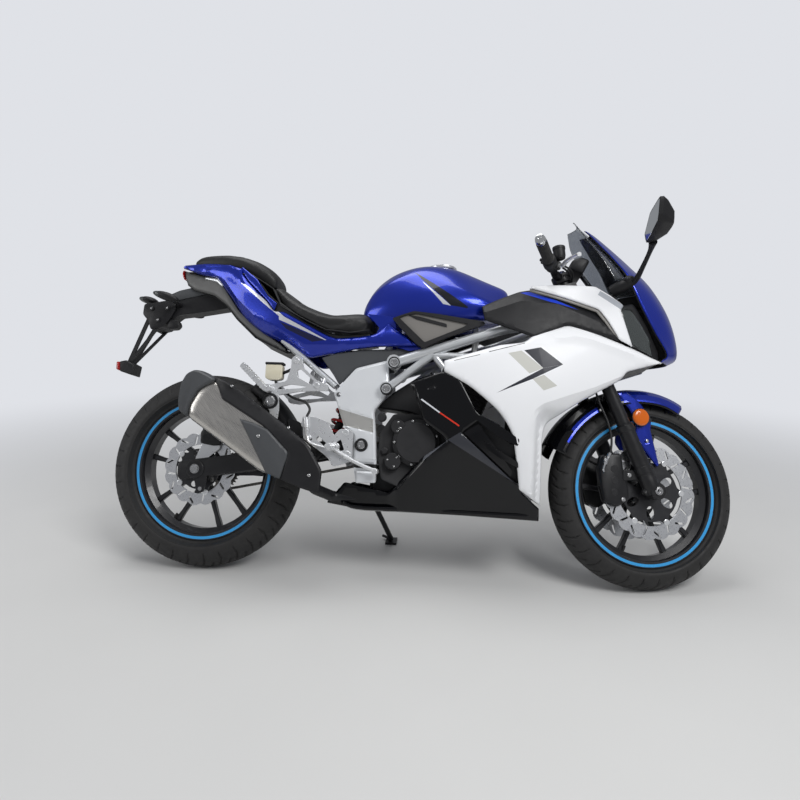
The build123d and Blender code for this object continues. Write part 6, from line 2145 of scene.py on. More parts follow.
def strut(start, end, wide):
    """A flat bar, 6 mm thick, between two points."""
    return sections([[tuple(c + STRUT_WAY * wide * s + Vector((0, y, 0)))
                      for s, y in ((-1, -3), (1, -3), (1, 3), (-1, 3))]
                     for c in (start, end)])


struts = []
for side in (-1, 1):
    high, low = Vector((-236, 36 * side, 824)), Vector((-312, 13 * side, 652))
    struts += [strut(high, low, 6.5), strut(high + Vector((44, 0, -22)), low, 5)]
foot = pillow([(-336, 660), (-313, 665), (-283, 651), (-288, 613), (-332, 626)],
              ((-30, 4), (-27, 0), (27, 0), (30, 4)), radius=4)
reflector = pillow([(-351, 660), (-337, 660), (-336, 628), (-350, 634)],
                   ((-23, 3), (-21, 0), (21, 0), (23, 3)), radius=4)
knob = pillow([(-165, 812), (-138, 806), (-132, 790), (-143, 778), (-171, 776), (-178, 792)],
              ((-36, 5), (-33, 0), (-8, 0), (-6, 4)), radius=6)
black = merge(arm_channel, head, bosses, *struts, foot, knob)
make_piece("plate_arm", merge(black, painted(arm_cap, 1), painted(reflector, 2)), "chassis",
           [FINISHES["dark plastic"], FINISHES["grey plastic"], FINISHES["red lens"]],
           instead_of="plate_bracket", bevel=0.7, sharp=32)


# %% [markdown]
# The indicators stand out on short stalks, and the plate lamp is a third pod of
# the same kind. A pod is a flattened egg: rings of points whose radius follows
# a half circle, which one loop gives for the body and its lens alike. The tail
# lamp is a curved red sheet across the tail's end.

# %% Lamps at the rear
def pod(x, y, z, long, tall, wide, lean):
    """A flattened egg, for an indicator body or its lens."""
    rows = []
    for a in np.linspace(-88, 88, 15):
        r = cos(radians(a))
        rows.append([(long * sin(radians(a)), wide * r * cos(b), tall * r * sin(b))
                     for b in turns(24)])
    shape = capped(grid(rows, closed=True), 24)
    return carried(shape, Matrix.Translation((x, y, z)) @ Matrix.Rotation(radians(lean), 4, "Y"))


pods, lenses = [], []
for side in (-1, 1):
    pods.append(pod(-150, 108 * side, 870, 44, 14, 20, 16))
    pods.append(tube([(-136, 24 * side, 862), (-138, 60 * side, 863), (-143, 96 * side, 868)],
                     [8, 6, 7], 16, 6))
    lenses.append(pod(-166, 108 * side, 874, 33, 11.5, 17.5, 16))
pods.append(pod(-262, 0, 884, 30, 13, 30, 12))
make_piece("indicators", merge(*pods), "chassis", FINISHES["dark plastic"],
           instead_of="rear_lamps", sharp=50)
make_piece("indicator_lenses", merge(*lenses, pod(-276, 0, 886, 24, 10.5, 26, 12)), "chassis",
           FINISHES["lamp lens"], sharp=50)
lamp_rows = [[(-128 - d, y * (1 - 0.16 * t), 985 - 34 * t + lift) for y in np.linspace(-36, 36, 13)]
             for t, d, lift in
             ((0, 2, 0), (0.08, 7, 0), (0.3, 9, 0), (0.6, 7.5, 0), (0.9, 3, 0), (1, -3, 0))]
lamp = grid(lamp_rows)
make_piece("tail_lamp", lamp, "chassis", FINISHES["red lens"], wall=3.0, sharp=40)
set_copies("tail_screws", SCREW,
           on_sides([((-24, -52, 914), OUT_RIGHT, 5), ((-232, -43.8, 846), OUT_RIGHT, 4),
                     ((-176, -43.8, 848), OUT_RIGHT, 4), ((-206, -43.8, 806), OUT_RIGHT, 4)]),
           "chassis", "bolt steel")

# %% [markdown]
# ## Mirrors
# A mirror is a deep faceted shell with a flat glass set in its rear. It stands
# on a thin stem with a rubber boot at its foot. The shell is a stack of seven
# outlines that shrink towards the front.

# %% Mirrors
MIRROR_CORNERS = [(283, 1018), (290, 992), (300, 968), (350, 980), (410, 1006), (420, 1030),
                  (431, 1086), (434, 1107), (418, 1108), (352, 1096), (338, 1090)]
MIRROR_Y, MIRROR_Z = 360, 1042


def mirror_outline(grow, x, shift_y=0, shift_z=0):
    """The mirror's outline at x, grown about its middle and shifted."""
    return [(x, MIRROR_Y + (y - MIRROR_Y) * 0.9 * grow + shift_y,
             MIRROR_Z + (z - MIRROR_Z) * 0.6 * grow + shift_z)
            for y, z in rounded(MIRROR_CORNERS, 5, 3)]


SHELL = ((0.93, 1344.5), (0.955, 1342), (1.0, 1343), (1.012, 1352), (0.9, 1366, -2, -2),
         (0.5, 1392, -4, -5), (0.25, 1398, -5, -6))
stack = [mirror_outline(*level) for level in SHELL]
shell = capped(grid(stack, closed=True), len(stack[0]))
glass = capped(grid([mirror_outline(0.91, 1344.2), mirror_outline(0.91, 1342.6),
                     mirror_outline(0.9, 1342.2)], closed=True), len(stack[0]))
stem = tube([(1350, 116, 934), (1364, 140, 946), (1368, 200, 970), (1366, 268, 990),
             (1362, 305, 1002)], [10, 9, 7, 7, 12], 18, 6)
boot = tube([(1302, 86, 920), (1320, 94, 930), (1342, 110, 938), (1356, 132, 946)],
            [17, 20, 17, 11], 22, 6)
base_cap = turned_on((1344, 108, 950), (1356, 128, 944), [(15, 0), (17, 0.2), (17, 0.8), (14, 1)],
                     24)
make_piece("mirror_pair", both(merge(shell, stem, boot, base_cap, painted(glass, 1))), "chassis",
           [FINISHES["dark plastic"], FINISHES["mirror glass"]],
           instead_of="mirrors", sharp=24)

# %% [markdown]
# ## Bars, levers and dash
# The clip-on bars are clamped below the top bridge. The grips carry raised
# rings, and a bright weight closes each bar. Everything here turns with the
# steering, so it is drawn in the steering head's own axes.

# %% Bars and controls
BAR_IN, BAR_END = Vector((-3.5, 122, 1033.5)), Vector((-115.3, 338, 1087.5))
BAR_LINE = BAR_END - BAR_IN


def bar_point(t, off=(0, 0, 0)):
    """A point at share t of the left bar, shifted by off in the steering head's axes."""
    return on_fork(*(BAR_IN + BAR_LINE * t + Vector(off)))


AHEAD_DIR = Vector((0.658, 0.5, -0.497)).normalized()
grip_profile = [(11, 0), (15, 0.005), (19, 0.02), (19, 0.05), (15.5, 0.07)]
for k in range(14):
    t = 0.1 + k * 0.06
    grip_profile += [(15.2, t), (16.6, t + 0.012), (16.6, t + 0.036), (15.2, t + 0.048)]
grip_profile += [(16, 0.97), (16, 1.0), (11, 1.0)]
bar = turned_on(bar_point(-0.1), bar_point(1.0), [(11, 0), (11, 1)], 28)
grip = turned_on(bar_point(0.5), bar_point(0.945), grip_profile, 32)
weight = turned_on(bar_point(0.955), bar_point(1.035), [(8, 0), (15, 0.1), (15.4, 0.5), (14, 0.92),
                                                        (9, 1), (5, 1), (4.5, 0.9), (0.5, 0.9)], 32)
ring_clamp = turned_on(on_fork(23, 98, 1006), on_fork(23, 98, 1034),
                       [(20.3, 0), (29, 0), (30, 0.08), (30, 0.92), (29, 1), (20.3, 1)], 40)
clamp_arm = turned_on(on_fork(20, 104, 1020), bar_point(0.05), [(14, 0), (14, 0.8), (12, 1)], 20)
fork_cap = turned_on(on_fork(23, 98, 1033), on_fork(23, 98, 1046),
                     [(19, 0), (19, 0.5), (17, 0.8), (10, 0.85), (10, 1), (0.5, 1)], 36)
make_piece("bar_tubes", both(merge(bar, ring_clamp, clamp_arm)), "steering",
           FINISHES["black metal"], instead_of="handlebars", sharp=30)
make_piece("grips", both(grip), "steering", FINISHES["rubber"], sharp=26)
make_piece("bar_weights", both(weight), "steering", FINISHES["chrome"], sharp=28)
make_piece("fork_caps", both(fork_cap), "steering", FINISHES["fork gold"], sharp=28)

# %% [markdown]
# The hand controls sit between clamp and grip. The lever starts at its pivot
# ahead of the bar, bends at a knee, and runs along the grip. A tube with a
# radius at each point of its path gives the thinning and the ball at the tip.

# %% Hand controls
pivot = BAR_IN + BAR_LINE * 0.3 + AHEAD_DIR * 20
knee = pivot + AHEAD_DIR * 30 + BAR_LINE * 0.14
lever_path = [pivot, pivot + AHEAD_DIR * 18 + BAR_LINE * 0.04, knee,
              knee + BAR_LINE * 0.15 + AHEAD_DIR * 20 + Vector((0, 0, -4)),
              knee + BAR_LINE * 0.29 + AHEAD_DIR * 40 + Vector((0, 0, -10)),
              knee + BAR_LINE * 0.33 + AHEAD_DIR * 46 + Vector((0, 0, -12))]
switch = turned_on(bar_point(0.32), bar_point(0.47), [(12, 0), (20, 0.04), (21.5, 0.14),
                                                      (21.5, 0.86), (20, 0.96), (12, 1)], 28)
buttons = merge(*[turned_on(bar_point(t, (-14, -8, 12)), bar_point(t, (-20, -12, 17)),
                            [(5, 0), (5, 0.8), (3.5, 1)], 16) for t in (0.36, 0.43)])
perch = turned_on(bar_point(0.25), bar_point(0.315), [(12, 0), (18, 0.08), (18, 0.92), (12, 1)], 28)
hinge = turned_on(on_fork(*(pivot + Vector((-6, 0, -9)))), on_fork(*(pivot + Vector((6, 0, 11)))),
                  [(8, 0), (10, 0.1), (10, 0.9), (8, 1)], 24)
holder = tube([bar_point(0.28), on_fork(*pivot)], 11, 18, 3)
lever = tube([on_fork(*p) for p in lever_path], [7, 7, 6.5, 5.5, 5, 6.5], 16, 6)
cup = turned_on(bar_point(0.3, (25.7, 16, 4.3)), bar_point(0.3, (38, 16, 44)),
                [(10, 0), (16, 0.08), (18, 0.3), (18, 0.76), (19.4, 0.78), (19.4, 0.96), (18, 1)],
                32)
left_controls = merge(switch, buttons, perch, hinge, holder, painted(lever, 1))
make_piece("hand_controls", merge(both(left_controls), mirrored(cup)), "steering",
           [FINISHES["dark plastic"], FINISHES["bare alloy"]],
           instead_of="controls", sharp=30)
cables = merge(*[tube([bar_point(0.34, (12, 0, 6)), on_fork(38, 150 - 20 * k, 1022),
                       on_fork(36, 96 - 14 * k, 975), on_fork(30, 74 - 8 * k, 905)],
                      3.2, 10, 8) for k in (0, 1)])
make_piece("control_cables", both(cables), "steering", FINISHES["hose"])

# %% [markdown]
# The dash sits behind the screen: a hooded case with a dark display window.
# The case is an outline of the side view, stacked across the machine and
# smaller at both ends. Thin stays behind the nose carry it and the nose.

# %% Dash
case = pillow([(1176, 1000), (1182, 1030), (1214, 1043), (1240, 1030), (1217, 984)],
              ((-74, 8), (-70, 2), (-64, 0), (64, 0), (70, 2), (74, 8)), radius=8)
display = sections([[(x + 0.94 * h, y, 1001.3 + h) for y, h in ((-52, 2), (52, 2), (52, 26),
                                                                (-52, 26))]
                    for x in (1178.5, 1177.0)])
STAYS = (((1190, 0, 850), (1300, 0, 900), 9), ((1300, 0, 900), (1218, 0, 1012), 8),
         ((1322, -98, 924), (1322, 98, 924), 7), ((1300, 0, 900), (1492, 0, 880), 8),
         ((1322, 0, 900), (1322, 0, 924), 7), ((1390, 0, 888), (1390, 0, 800), 7),
         ((1390, -97, 800), (1390, 97, 800), 7))
stays = merge(*[tube([Vector(a), (Vector(a) + Vector(b)) / 2, Vector(b)], r, 14, 2)
                for a, b, r in STAYS])
make_piece("dash", merge(case, painted(stays, 2), painted(display, 1)), "chassis",
           [FINISHES["dark plastic"], FINISHES["gloss black"], FINISHES["black metal"]],
           instead_of="instruments", sharp=32)

# %% [markdown]
# ## Rear axle, swingarm and chain
# The swingarm is a pair of box beams with rounded edges, joined in front by a
# barrel on the pivot and a bridge. Its ends carry the axle plates, and a short
# bracket below takes a paddock stand.

# %% Swingarm
ARM_FULL = [(-62, 322), (-50, 330), (14, 340), (136, 360), (180, 368), (500, 428), (556, 420),
            (552, 380), (500, 374), (206, 309), (30, 280), (-50, 268), (-60, 276)]
ARM_REAR = [(-60, 320), (-50, 328), (14, 338), (136, 358), (400, 408), (412, 384), (400, 356),
            (206, 311), (30, 282), (-50, 270), (-58, 278)]
right_arm = merge(pillow(ARM_FULL, ((-101.4, 2), (-100, 0), (-94, 0), (-92, 2)), radius=8),
                  pillow(ARM_REAR, ((-118, 7), (-117, 3), (-114, 0.5), (-108, 0), (-94, 0)),
                         radius=10))
ARM_FRONT = [(380, 350), (500, 374), (552, 380), (556, 418), (500, 414), (380, 406)]
left_arm = merge(pillow(ARM_FULL[:5] + [(400, 408), (400, 356), (206, 309)] + ARM_FULL[10:],
                        ((92, 2), (93.5, 0), (97, 0), (98, 2)), radius=8),
                 pillow(ARM_REAR, ((100, 0.5), (112, 0), (119, 0.5), (123, 3), (125.5, 8)),
                        radius=10),
                 pillow(ARM_FRONT, ((98.6, 0), (101.4, 0)), radius=8),
                 pillow(ARM_FRONT, ((92, 0), (98, 0)), radius=8))
ARM_PIVOT, REAR_AXLE = (535, 401), (0, REAR_AXLE_Z)
barrel = lathe([(9.2, -93), (17, -93), (18.4, -91), (18.4, 97), (17, 99), (9.2, 99)], *ARM_PIVOT,
               40)
arm_bridge = tube([(395, -93, 385), (395, 0, 385), (395, 74, 385)], 16, 24, 3)
axle = lathe([(0.5, -126), (8, -126), (8, 134), (0.5, 134)], *REAR_AXLE, 24)
pin = lathe([(0.5, -132), (9, -132), (9, 132), (0.5, 132)], *ARM_PIVOT, 24)
stand_lug = pillow([(-8, 290), (40, 292), (38, 262), (32, 232), (10, 230), (2, 262)],
                   ((-117, 1.5), (-115.5, 0), (-109, 0), (-108, 1)), radius=7)
axle_discs = merge(*[lathe([(8.2, y * s), (27, y * s), (29, (y + 1.5) * s), (29, (y + 4) * s),
                            (27, (y + 5.5) * s), (20, (y + 5.5) * s), (19, (y + 4.5) * s),
                            (8.2, (y + 4.5) * s)], *REAR_AXLE, 48)
                     for s, y in ((-1, 116.5), (1, 123.5))])
make_piece("swingarm_beams", merge(right_arm, left_arm, barrel, arm_bridge, stand_lug,
                                   mirrored(stand_lug)), "chassis",
           FINISHES["black metal"], instead_of="swingarm", sharp=30)
make_piece("axle_plates", merge(axle_discs, painted(merge(axle, pin), 1)), "chassis",
           [FINISHES["black metal"], FINISHES["bolt steel"]], sharp=30)
set_copies("axle_nuts", BOLT, [((0, -121.5, REAR_AXLE_Z), OUT_RIGHT, 12.5),
                               ((0, 128.5, REAR_AXLE_Z), OUT_LEFT, 12.5),
                               ((21, -117.5, 243), OUT_RIGHT, 5.5),
                               ((21, 117.5, 243), OUT_LEFT, 5.5)],
           "chassis", "bolt steel")

# %% [markdown]
# A hugger keeps the spray off the shock. It is a strip that arches over the
# front of the rear tyre and narrows a little towards both ends. One section is
# enough: a loop carries it round the axle, as the real one follows the tyre.

# %% Hugger
HUGGER_START, HUGGER_END = 14, 62
HUGGER_SECTION = ((-72, 300), (-69, 318), (-52, 331), (-20, 336), (20, 336), (52, 331), (69, 318),
                  (72, 300))
hugger_rows = []
for a in np.linspace(HUGGER_START, HUGGER_END, 25):
    end = min(1.0, (HUGGER_END - a) / 10, (a - HUGGER_START) / 8 + 0.4)
    hugger_rows.append([(cos(radians(a)) * r, y * (0.75 + 0.25 * end),
                         REAR_AXLE_Z + sin(radians(a)) * r)
                        for y, r in HUGGER_SECTION])
hugger = grid(hugger_rows)
hugger_stay = plate(rounded([(290, 388), (340, 398), (322, 470), (280, 480)], 10), -79, -73)
make_piece("hugger", merge(hugger, hugger_stay, mirrored(hugger_stay)), "chassis",
           FINISHES["dark plastic"], turn_out=True, wall=2.2, sharp=30)

# %% [markdown]
# The rear caliper hangs on a bright bracket above the axle. Its halves are
# stacked outlines like those in front. Its hose runs along the swingarm to the
# master cylinder.

# %% Rear caliper
CAL = [(2, 388), (0, 424), (14, 439), (62, 439), (74, 426), (72, 384), (46, 381)]
outer_half = pillow(CAL, ((-101.5, 8), (-100, 3), (-96, 0), (-82, 0), (-80, 1)), radius=7)
inner_block = pillow(CAL, ((-64.5, 0), (-61, 1), (-60, 4)), radius=7)
cover_bridge = pillow([(8, 431), (14, 439), (62, 439), (70, 431)], ((-82, 0), (-64, 0)), radius=2)
piston = merge(*[lathe([(0.5, -102), (12, -102), (13.5, -100.5), (13.5, -94), (0.5, -94)], x, 408,
                       28) for x in (22, 52)])
bracket = pillow([(-14, 300), (-12, 342), (6, 386), (12, 398), (66, 398), (66, 372), (28, 340),
                  (16, 300)], ((-91.5, 1), (-90.5, 0), (-87, 0), (-86, 1)), radius=6)
make_piece("rear_caliper_body", merge(outer_half, inner_block, cover_bridge, piston,
                                      painted(bracket, 1)), "chassis",
           [FINISHES["black metal"], FINISHES["bare alloy"]],
           instead_of="rear_caliper", sharp=30)
rear_line = tube([(40, -92, 436), (90, -86, 450), (180, -88, 430), (300, -84, 420),
                  (372, -100, 430), (392, -128, 420), (372, -150, 410)], 3.2, 12, 7)
make_piece("rear_brake_line", rear_line, "chassis", FINISHES["hose"])

# %% [markdown]
# A chain is one link repeated along a closed path: two straight runs and two
# arcs round the sprockets. The path is stepped in equal pitches, and each step
# gives a place and a direction to the tree of copies.

# %% Chain and sprocket
# the sprocket's teeth, and one tooth as (share of a pitch, radius)
TEETH, TOOTH = 38, ((0.0, 70), (0.22, 70.5), (0.4, 77), (0.6, 77), (0.78, 70.5))


def chain_path(front, front_r, rear, rear_r, count):
    """Places and directions for the links round two sprockets."""
    run = Vector((front[0] - rear[0], front[1] - rear[1]))
    tilt, reach = atan2(run.y, run.x), asin((rear_r - front_r) / run.length)
    upper, lower = tilt + pi / 2 - reach, tilt - pi / 2 + reach
    loop = [(front[0] + front_r * cos(a), front[1] + front_r * sin(a))
            for a in np.linspace(lower, upper, 14)]
    loop += [(rear[0] + rear_r * cos(a), rear[1] + rear_r * sin(a))
             for a in np.linspace(upper, lower + 2 * pi, 40)]
    loop = np.array(loop + loop[:1])
    length = np.concatenate([[0], np.cumsum(np.hypot(*np.diff(loop, axis=0).T))])
    marks = np.linspace(0, length[-1], count, endpoint=False)
    ahead = marks + 0.5
    x, z = np.interp(marks, length, loop[:, 0]), np.interp(marks, length, loop[:, 1])
    dx, dz = np.interp(ahead, length, loop[:, 0]) - x, np.interp(ahead, length, loop[:, 1]) - z
    print("chain", round(length[-1]), "mm,", count, "links")
    return [((a, 88, b), OUT_LEFT, 1.0, (c, 0, d)) for a, b, c, d in zip(x, z, dx, dz)]


def link_plate(y, thick, half):
    side = [(-half + 4 * cos(radians(a)), 4.4 * sin(radians(a))) for a in (90, 140, 180, 220, 270)]
    side += [(half + 4 * cos(radians(a)), 4.4 * sin(radians(a))) for a in (-90, -40, 0, 40, 90)]
    return capped(grid([[(x, z, y) for x, z in side], [(x, z, y + thick) for x, z in side]],
                       closed=True), len(side))


roller = capped(grid([[(4.2 * cos(a), 4.2 * sin(a), y) for a in turns(8)] for y in (-7.6, 7.6)],
                     closed=True), 8)
link = merge(link_plate(-7.0, 1.6, 6.3), link_plate(5.4, 1.6, 6.3), roller)
set_copies("chain_links", link, chain_path((615, 395), 29, REAR_AXLE, 73, 128), "chassis",
           "chain steel", sharp=40)
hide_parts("chain")
teeth = []
for k in range(TEETH):
    for t, r in TOOTH:
        a = 2 * pi * (k + t) / TEETH
        teeth.append((r * cos(a), REAR_AXLE_Z + r * sin(a)))
holes = [circle(*place, 9, 20) for place in on_circle(*REAR_AXLE, 52, range(36, 396, 72))]
sprocket = plate(teeth, 85, 91, holes=holes + [circle(*REAR_AXLE, 30, 40)])
hub = lathe([(20, 66), (40, 66), (42, 68), (42, 84), (36, 86), (36, 92), (20, 92)], *REAR_AXLE, 48)
make_piece("sprocket", merge(sprocket, hub), "rear_wheel", FINISHES["chain steel"],
           instead_of="rear_sprocket", bevel=0.5)
set_copies("sprocket_bolts", BOLT,
           [((x, 91.5, z), OUT_LEFT, 5) for x, z in on_circle(*REAR_AXLE, 36, range(0, 360, 72))],
           "rear_wheel", "bolt steel")

# %% [markdown]
# The shock is a turned damper between swingarm and frame. Its spring is a tube
# along a coil of six turns: the angle runs on while the middle climbs along the
# damper, so a short formula gives every point.

# %% Shock
SHOCK_LOW, SHOCK_HIGH, COIL_R, COIL_TURNS = (402, 0, 388), (488, 0, 596), 29, 6
coil = []
for t in np.linspace(0.12, 0.86, 120):
    a = 2 * pi * COIL_TURNS * t
    coil.append((402 + 86 * t + COIL_R * cos(a) * 0.92, COIL_R * sin(a),
                 388 + 208 * t - COIL_R * cos(a) * 0.38))
damper = turned_on(SHOCK_LOW, SHOCK_HIGH, [(10, -0.05), (16, 0.02), (16, 0.1), (28, 0.11),
                                           (28, 0.14), (13, 0.15), (13, 0.5), (18, 0.52),
                                           (18, 0.84), (28, 0.86), (28, 0.9), (14, 0.92),
                                           (14, 1.05)], 32)
make_piece("shock_absorber", merge(damper, painted(tube(coil, 5.2, 10, 1), 1)), "chassis",
           [FINISHES["black metal"], FINISHES["red dot"]], instead_of="shock",
           sharp=35)

# %% [markdown]
# ## Seats
# A seat is foam under a sewn vinyl cover, so its faces are crowned and its
# seams lie in shallow valleys. Each pad starts as a slightly small closed form
# of sections. It is remeshed into even cells and blown up a little by a cloth
# simulation with its underside held. Then the seams are pressed in.

# %% Seat covers
FINISHES["seat cover"] = finish("black seat vinyl", (0.012, 0.012, 0.013), rough=(0.42, 0.56),
                                rough_scale=900, bump=0.35, bump_scale=1700, specular=0.4,
                                blotch=(0.018, 0.018, 0.019), blotch_scale=12)


def cushion(table, crown):
    """Sections from rows (x, halves and heights), rounded off at both ends."""
    xs = [row[0] for row in table]
    fine = np.linspace(xs[0], xs[-1], 41)
    values = [np.interp(fine, xs, [row[k] for row in table]) for k in range(1, 6)]
    values = [np.convolve(np.pad(v, 2, mode="edge"), [0.1, 0.2, 0.4, 0.2, 0.1], mode="valid")
              for v in values]
    rows = []
    for i, x in enumerate(fine):
        base, wide, low, mid, top = (v[i] for v in values)
        end = min(i, len(fine) - 1 - i)
        close = sqrt(max(0.0, 1 - (1 - min(1.0, (end + 0.4) / 3.4)) ** 2))
        base, wide = base * (0.86 + 0.14 * close), wide * (0.8 + 0.2 * close)
        centre = (low + top) / 2
        half = [(0, low), (base * 0.7, low), (base * 0.97, low + 1), (base, low + 4),
                (base * 0.5 + wide * 0.5, low * 0.5 + mid * 0.5), (wide, mid)]
        for a in (18, 38, 58, 76):
            half.append((wide * crown + wide * (1 - crown) * cos(radians(a)),
                         mid + (top - mid) * sin(radians(a)) * 0.94))
        half += [(wide * crown * 0.7, mid + (top - mid) * 0.98), (wide * crown * 0.35, top)]
        ring = [(y, centre + (z - centre) * (0.55 + 0.45 * close)) for y, z in half]
        ring += [(0, centre + (top - centre) * (0.55 + 0.45 * close))] + [(-y, z)
                for y, z in reversed(ring[1:])]
        rows.append([(x, y, z) for y, z in ring])
    return capped(grid(rows, closed=True), len(rows[0]))


# %% [markdown]
# The pad is remeshed into even cells, which the cloth simulation and the seams
# both need. The simulation blows it up with an even pressure while the points
# near its floor are held, and a cap keeps every point close to its start.

# %% Even cells and air
MOST_SWELL = 0.004


def even_pad(name, shape):
    """The pad as an object of even cells, in metres and still upright."""
    mesh = bpy.data.meshes.new(name)
    mesh.from_pydata([tuple(np.array(p) * 0.001) for p in shape[0]], [],
                     [tuple(f) for f in shape[1]])
    bm = bmesh.new()
    bm.from_mesh(mesh)
    bmesh.ops.remove_doubles(bm, verts=bm.verts, dist=0.00005)
    bmesh.ops.recalc_face_normals(bm, faces=bm.faces)
    bm.to_mesh(mesh)
    bm.free()
    rough = bpy.data.objects.new(name + " rough", mesh)
    bpy.context.scene.collection.objects.link(rough)
    even = rough.modifiers.new("even cells", "REMESH")
    even.mode, even.voxel_size = "VOXEL", 0.005
    calm = rough.modifiers.new("calm", "SMOOTH")
    calm.factor, calm.iterations = 0.5, 6
    pad_mesh = evaluated_mesh(rough)
    bpy.data.objects.remove(rough)
    pad = bpy.data.objects.new(name, pad_mesh)
    bpy.context.scene.collection.objects.link(pad)
    return pad


def points_of(mesh, what="co"):
    values = np.empty(len(mesh.vertices) * 3)
    mesh.vertices.foreach_get(what, values)
    return values.reshape(-1, 3)


def blow_up(pad, floor_z):
    """Swells the pad by a cloth simulation; the points within 8 mm of its floor stay."""
    start = points_of(pad.data)
    held = pad.vertex_groups.new(name="held")
    low = np.interp(start[:, 0] * 1000, [r[0] for r in floor_z], [r[1] for r in floor_z]) * 0.001
    held.add([int(i) for i in np.nonzero(start[:, 2] < low + 0.008)[0]], 1.0, "REPLACE")
    cloth = pad.modifiers.new("air", "CLOTH")
    rules = cloth.settings
    rules.quality, rules.mass = 6, 0.25
    rules.use_pressure, rules.uniform_pressure_force = True, 4.0
    rules.effector_weights.gravity = 0.0
    rules.vertex_group_mass = "held"
    rules.tension_stiffness = rules.compression_stiffness = 18
    rules.bending_stiffness = 1.5
    cloth.point_cache.frame_start, cloth.point_cache.frame_end = 1, 20
    for step in range(1, 21):
        bpy.context.scene.frame_set(step)
    move = points_of(pad.evaluated_get(bpy.context.evaluated_depsgraph_get()).data) - start
    far = np.linalg.norm(move, axis=1)
    move *= (np.minimum(far, MOST_SWELL) / np.maximum(far, 1e-9))[:, None]
    pad.modifiers.remove(cloth)
    bpy.context.scene.frame_set(1)
    print(pad.name, "swelled", round(float(far.mean()) * 1000, 1), "mm on average, at most",
          round(float(far.max()) * 1000, 1))
    pad.data.vertices.foreach_set("co", (start + move).ravel())
    pad.vertex_groups.clear()


# %% [markdown]
# A seam is a line over the pad. Each point sinks along its normal by a bell
# curve of its distance from that line. The finished pad gets its cover and
# rides on the chassis.

# %% Seams and the finished seat
def sink_seams(mesh, seams):
    """Presses seams (line in mm, depth, half width) into a mesh."""
    place, way = points_of(mesh), points_of(mesh, "normal")
    for line, deep, wide in seams:
        line = np.array(line, float) * 0.001
        near = np.full(len(place), 1e9)
        for a, b in zip(line, line[1:]):
            t = np.clip(((place - a) @ (b - a)) / ((b - a) @ (b - a)), 0, 1)
            near = np.minimum(near, np.linalg.norm(place - (a + t[:, None] * (b - a)), axis=1))
        place = place - way * (deep * 0.001 * np.exp(-(near / (wide * 0.001)) ** 2))[:, None]
    mesh.vertices.foreach_set("co", place.ravel())


def soft_seat(name, table, node, seams):
    """Makes one seat pad: even cells, air, seams, then its finish and its body."""
    pad = even_pad(name, cushion(table, 0.5))
    blow_up(pad, [(row[0], row[3]) for row in table])
    finer = pad.modifiers.new("finer", "SUBSURF")
    finer.levels = finer.render_levels = 1
    done, rough = evaluated_mesh(pad), pad.data
    pad.modifiers.remove(finer)
    pad.data = done
    bpy.data.meshes.remove(rough)
    sink_seams(done, seams)
    done.transform(PARKED)
    done.materials.clear()
    done.materials.append(FINISHES["seat cover"])
    done.name = name
    done.shade_smooth()
    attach(pad, "chassis")
    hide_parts(node)
    print(f"{name}: {len(done.vertices)} points, {len(done.polygons)} faces")


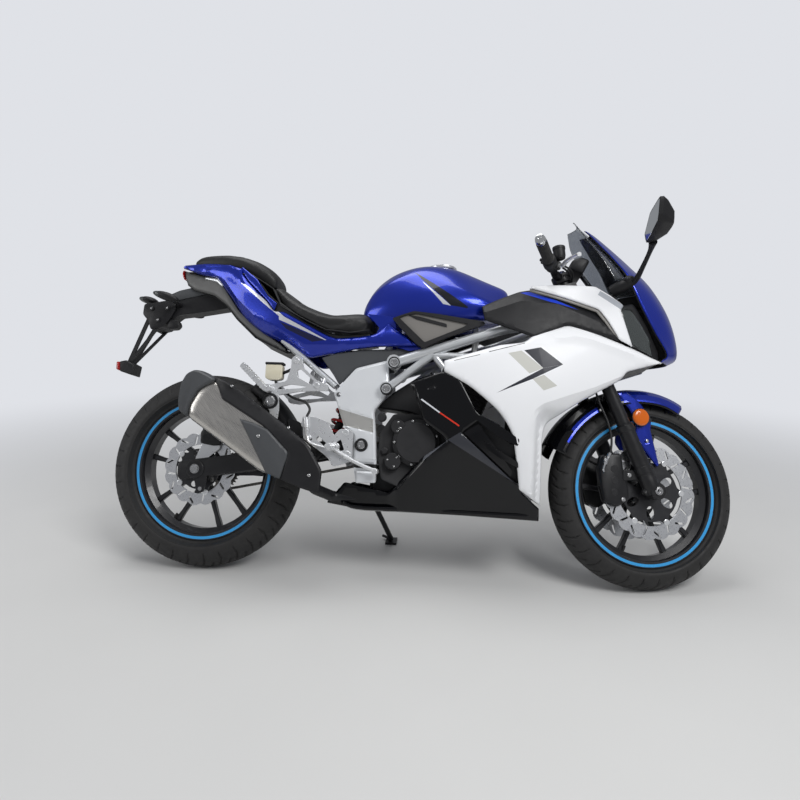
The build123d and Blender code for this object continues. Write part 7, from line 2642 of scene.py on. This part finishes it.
# each row: x, base half, shoulder half, base z, shoulder z, top z
RIDER_TABLE = ((206, 70, 78, 908, 914, 930), (232, 88, 96, 868, 886, 914),
               (256, 100, 106, 838, 862, 898), (313, 116, 122, 806, 832, 856),
               (370, 124, 132, 778, 808, 832), (406, 126, 134, 762, 800, 823),
               (449, 122, 132, 758, 800, 824), (496, 112, 124, 759, 800, 832),
               (530, 100, 110, 762, 798, 832), (543, 92, 98, 768, 794, 822))
PILLION_TABLE = ((-90, 40, 48, 992, 1006, 1022), (-62, 54, 62, 984, 1010, 1034),
                 (-20, 66, 76, 976, 1010, 1037), (34, 78, 88, 969, 1008, 1036),
                 (90, 82, 94, 966, 998, 1029), (142, 78, 90, 946, 980, 1013),
                 (183, 70, 80, 924, 960, 991), (209, 62, 70, 908, 938, 968))


def over(table, side, line):
    """Points on a pad's top: (x, share of the shoulder's width, drop below the top)."""
    out = []
    for x, share, drop in line:
        wide, top = (float(np.interp(x, [r[0] for r in table], [r[k] for r in table]))
                     for k in (2, 5))
        out.append((x, side * wide * share, top - drop))
    return out


RIDER_LINE = [(215, 0.66, 4), (256, 0.72, 6), (313, 0.76, 7), (370, 0.78, 7), (420, 0.78, 7),
              (470, 0.76, 8), (520, 0.72, 8), (540, 0.6, 8)]
PILLION_LINE = [(-80, 0.6, 4), (-20, 0.74, 6), (34, 0.78, 7), (90, 0.78, 7), (142, 0.74, 8),
                (200, 0.6, 6)]
rider_seams = [(over(RIDER_TABLE, s, RIDER_LINE), 2.0, 4.0) for s in (-1, 1)]
rider_seams.append((over(RIDER_TABLE, 1,
                         [(300, k, 6 * k * k) for k in np.linspace(-0.75, 0.75, 9)]), 1.6, 4.0))
pillion_seams = [(over(PILLION_TABLE, s, PILLION_LINE), 1.8, 4.0) for s in (-1, 1)]
pillion_seams.append((over(PILLION_TABLE, 1,
                           [(104 - 20 * k * k, k, 7 * k * k) for k in np.linspace(-1, 1, 13)]), 1.8,
                      4.0))
soft_seat("rider_seat_pad", RIDER_TABLE, "rider_seat", rider_seams)
soft_seat("pillion_seat_pad", PILLION_TABLE, "pillion_seat", pillion_seams)

# %% [markdown]
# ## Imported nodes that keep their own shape
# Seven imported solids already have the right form. They only get a better
# finish, by giving their material slots to the finishes above.

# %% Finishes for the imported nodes
KEPT = {
    "frame silver": ("main_frame", "subframe"),
    "black metal": ("radiator", "stand_bracket", "triple_clamps", "side_stand"),
    "engine black": ("engine",),
}
for finish_name, node_names in KEPT.items():
    for node_name in node_names:
        mesh = frame["nodes"][node_name].data
        for slot in range(len(mesh.materials)):
            mesh.materials[slot] = FINISHES[finish_name]
print(sum(len(names) for names in KEPT.values()), "packed nodes have their finish")
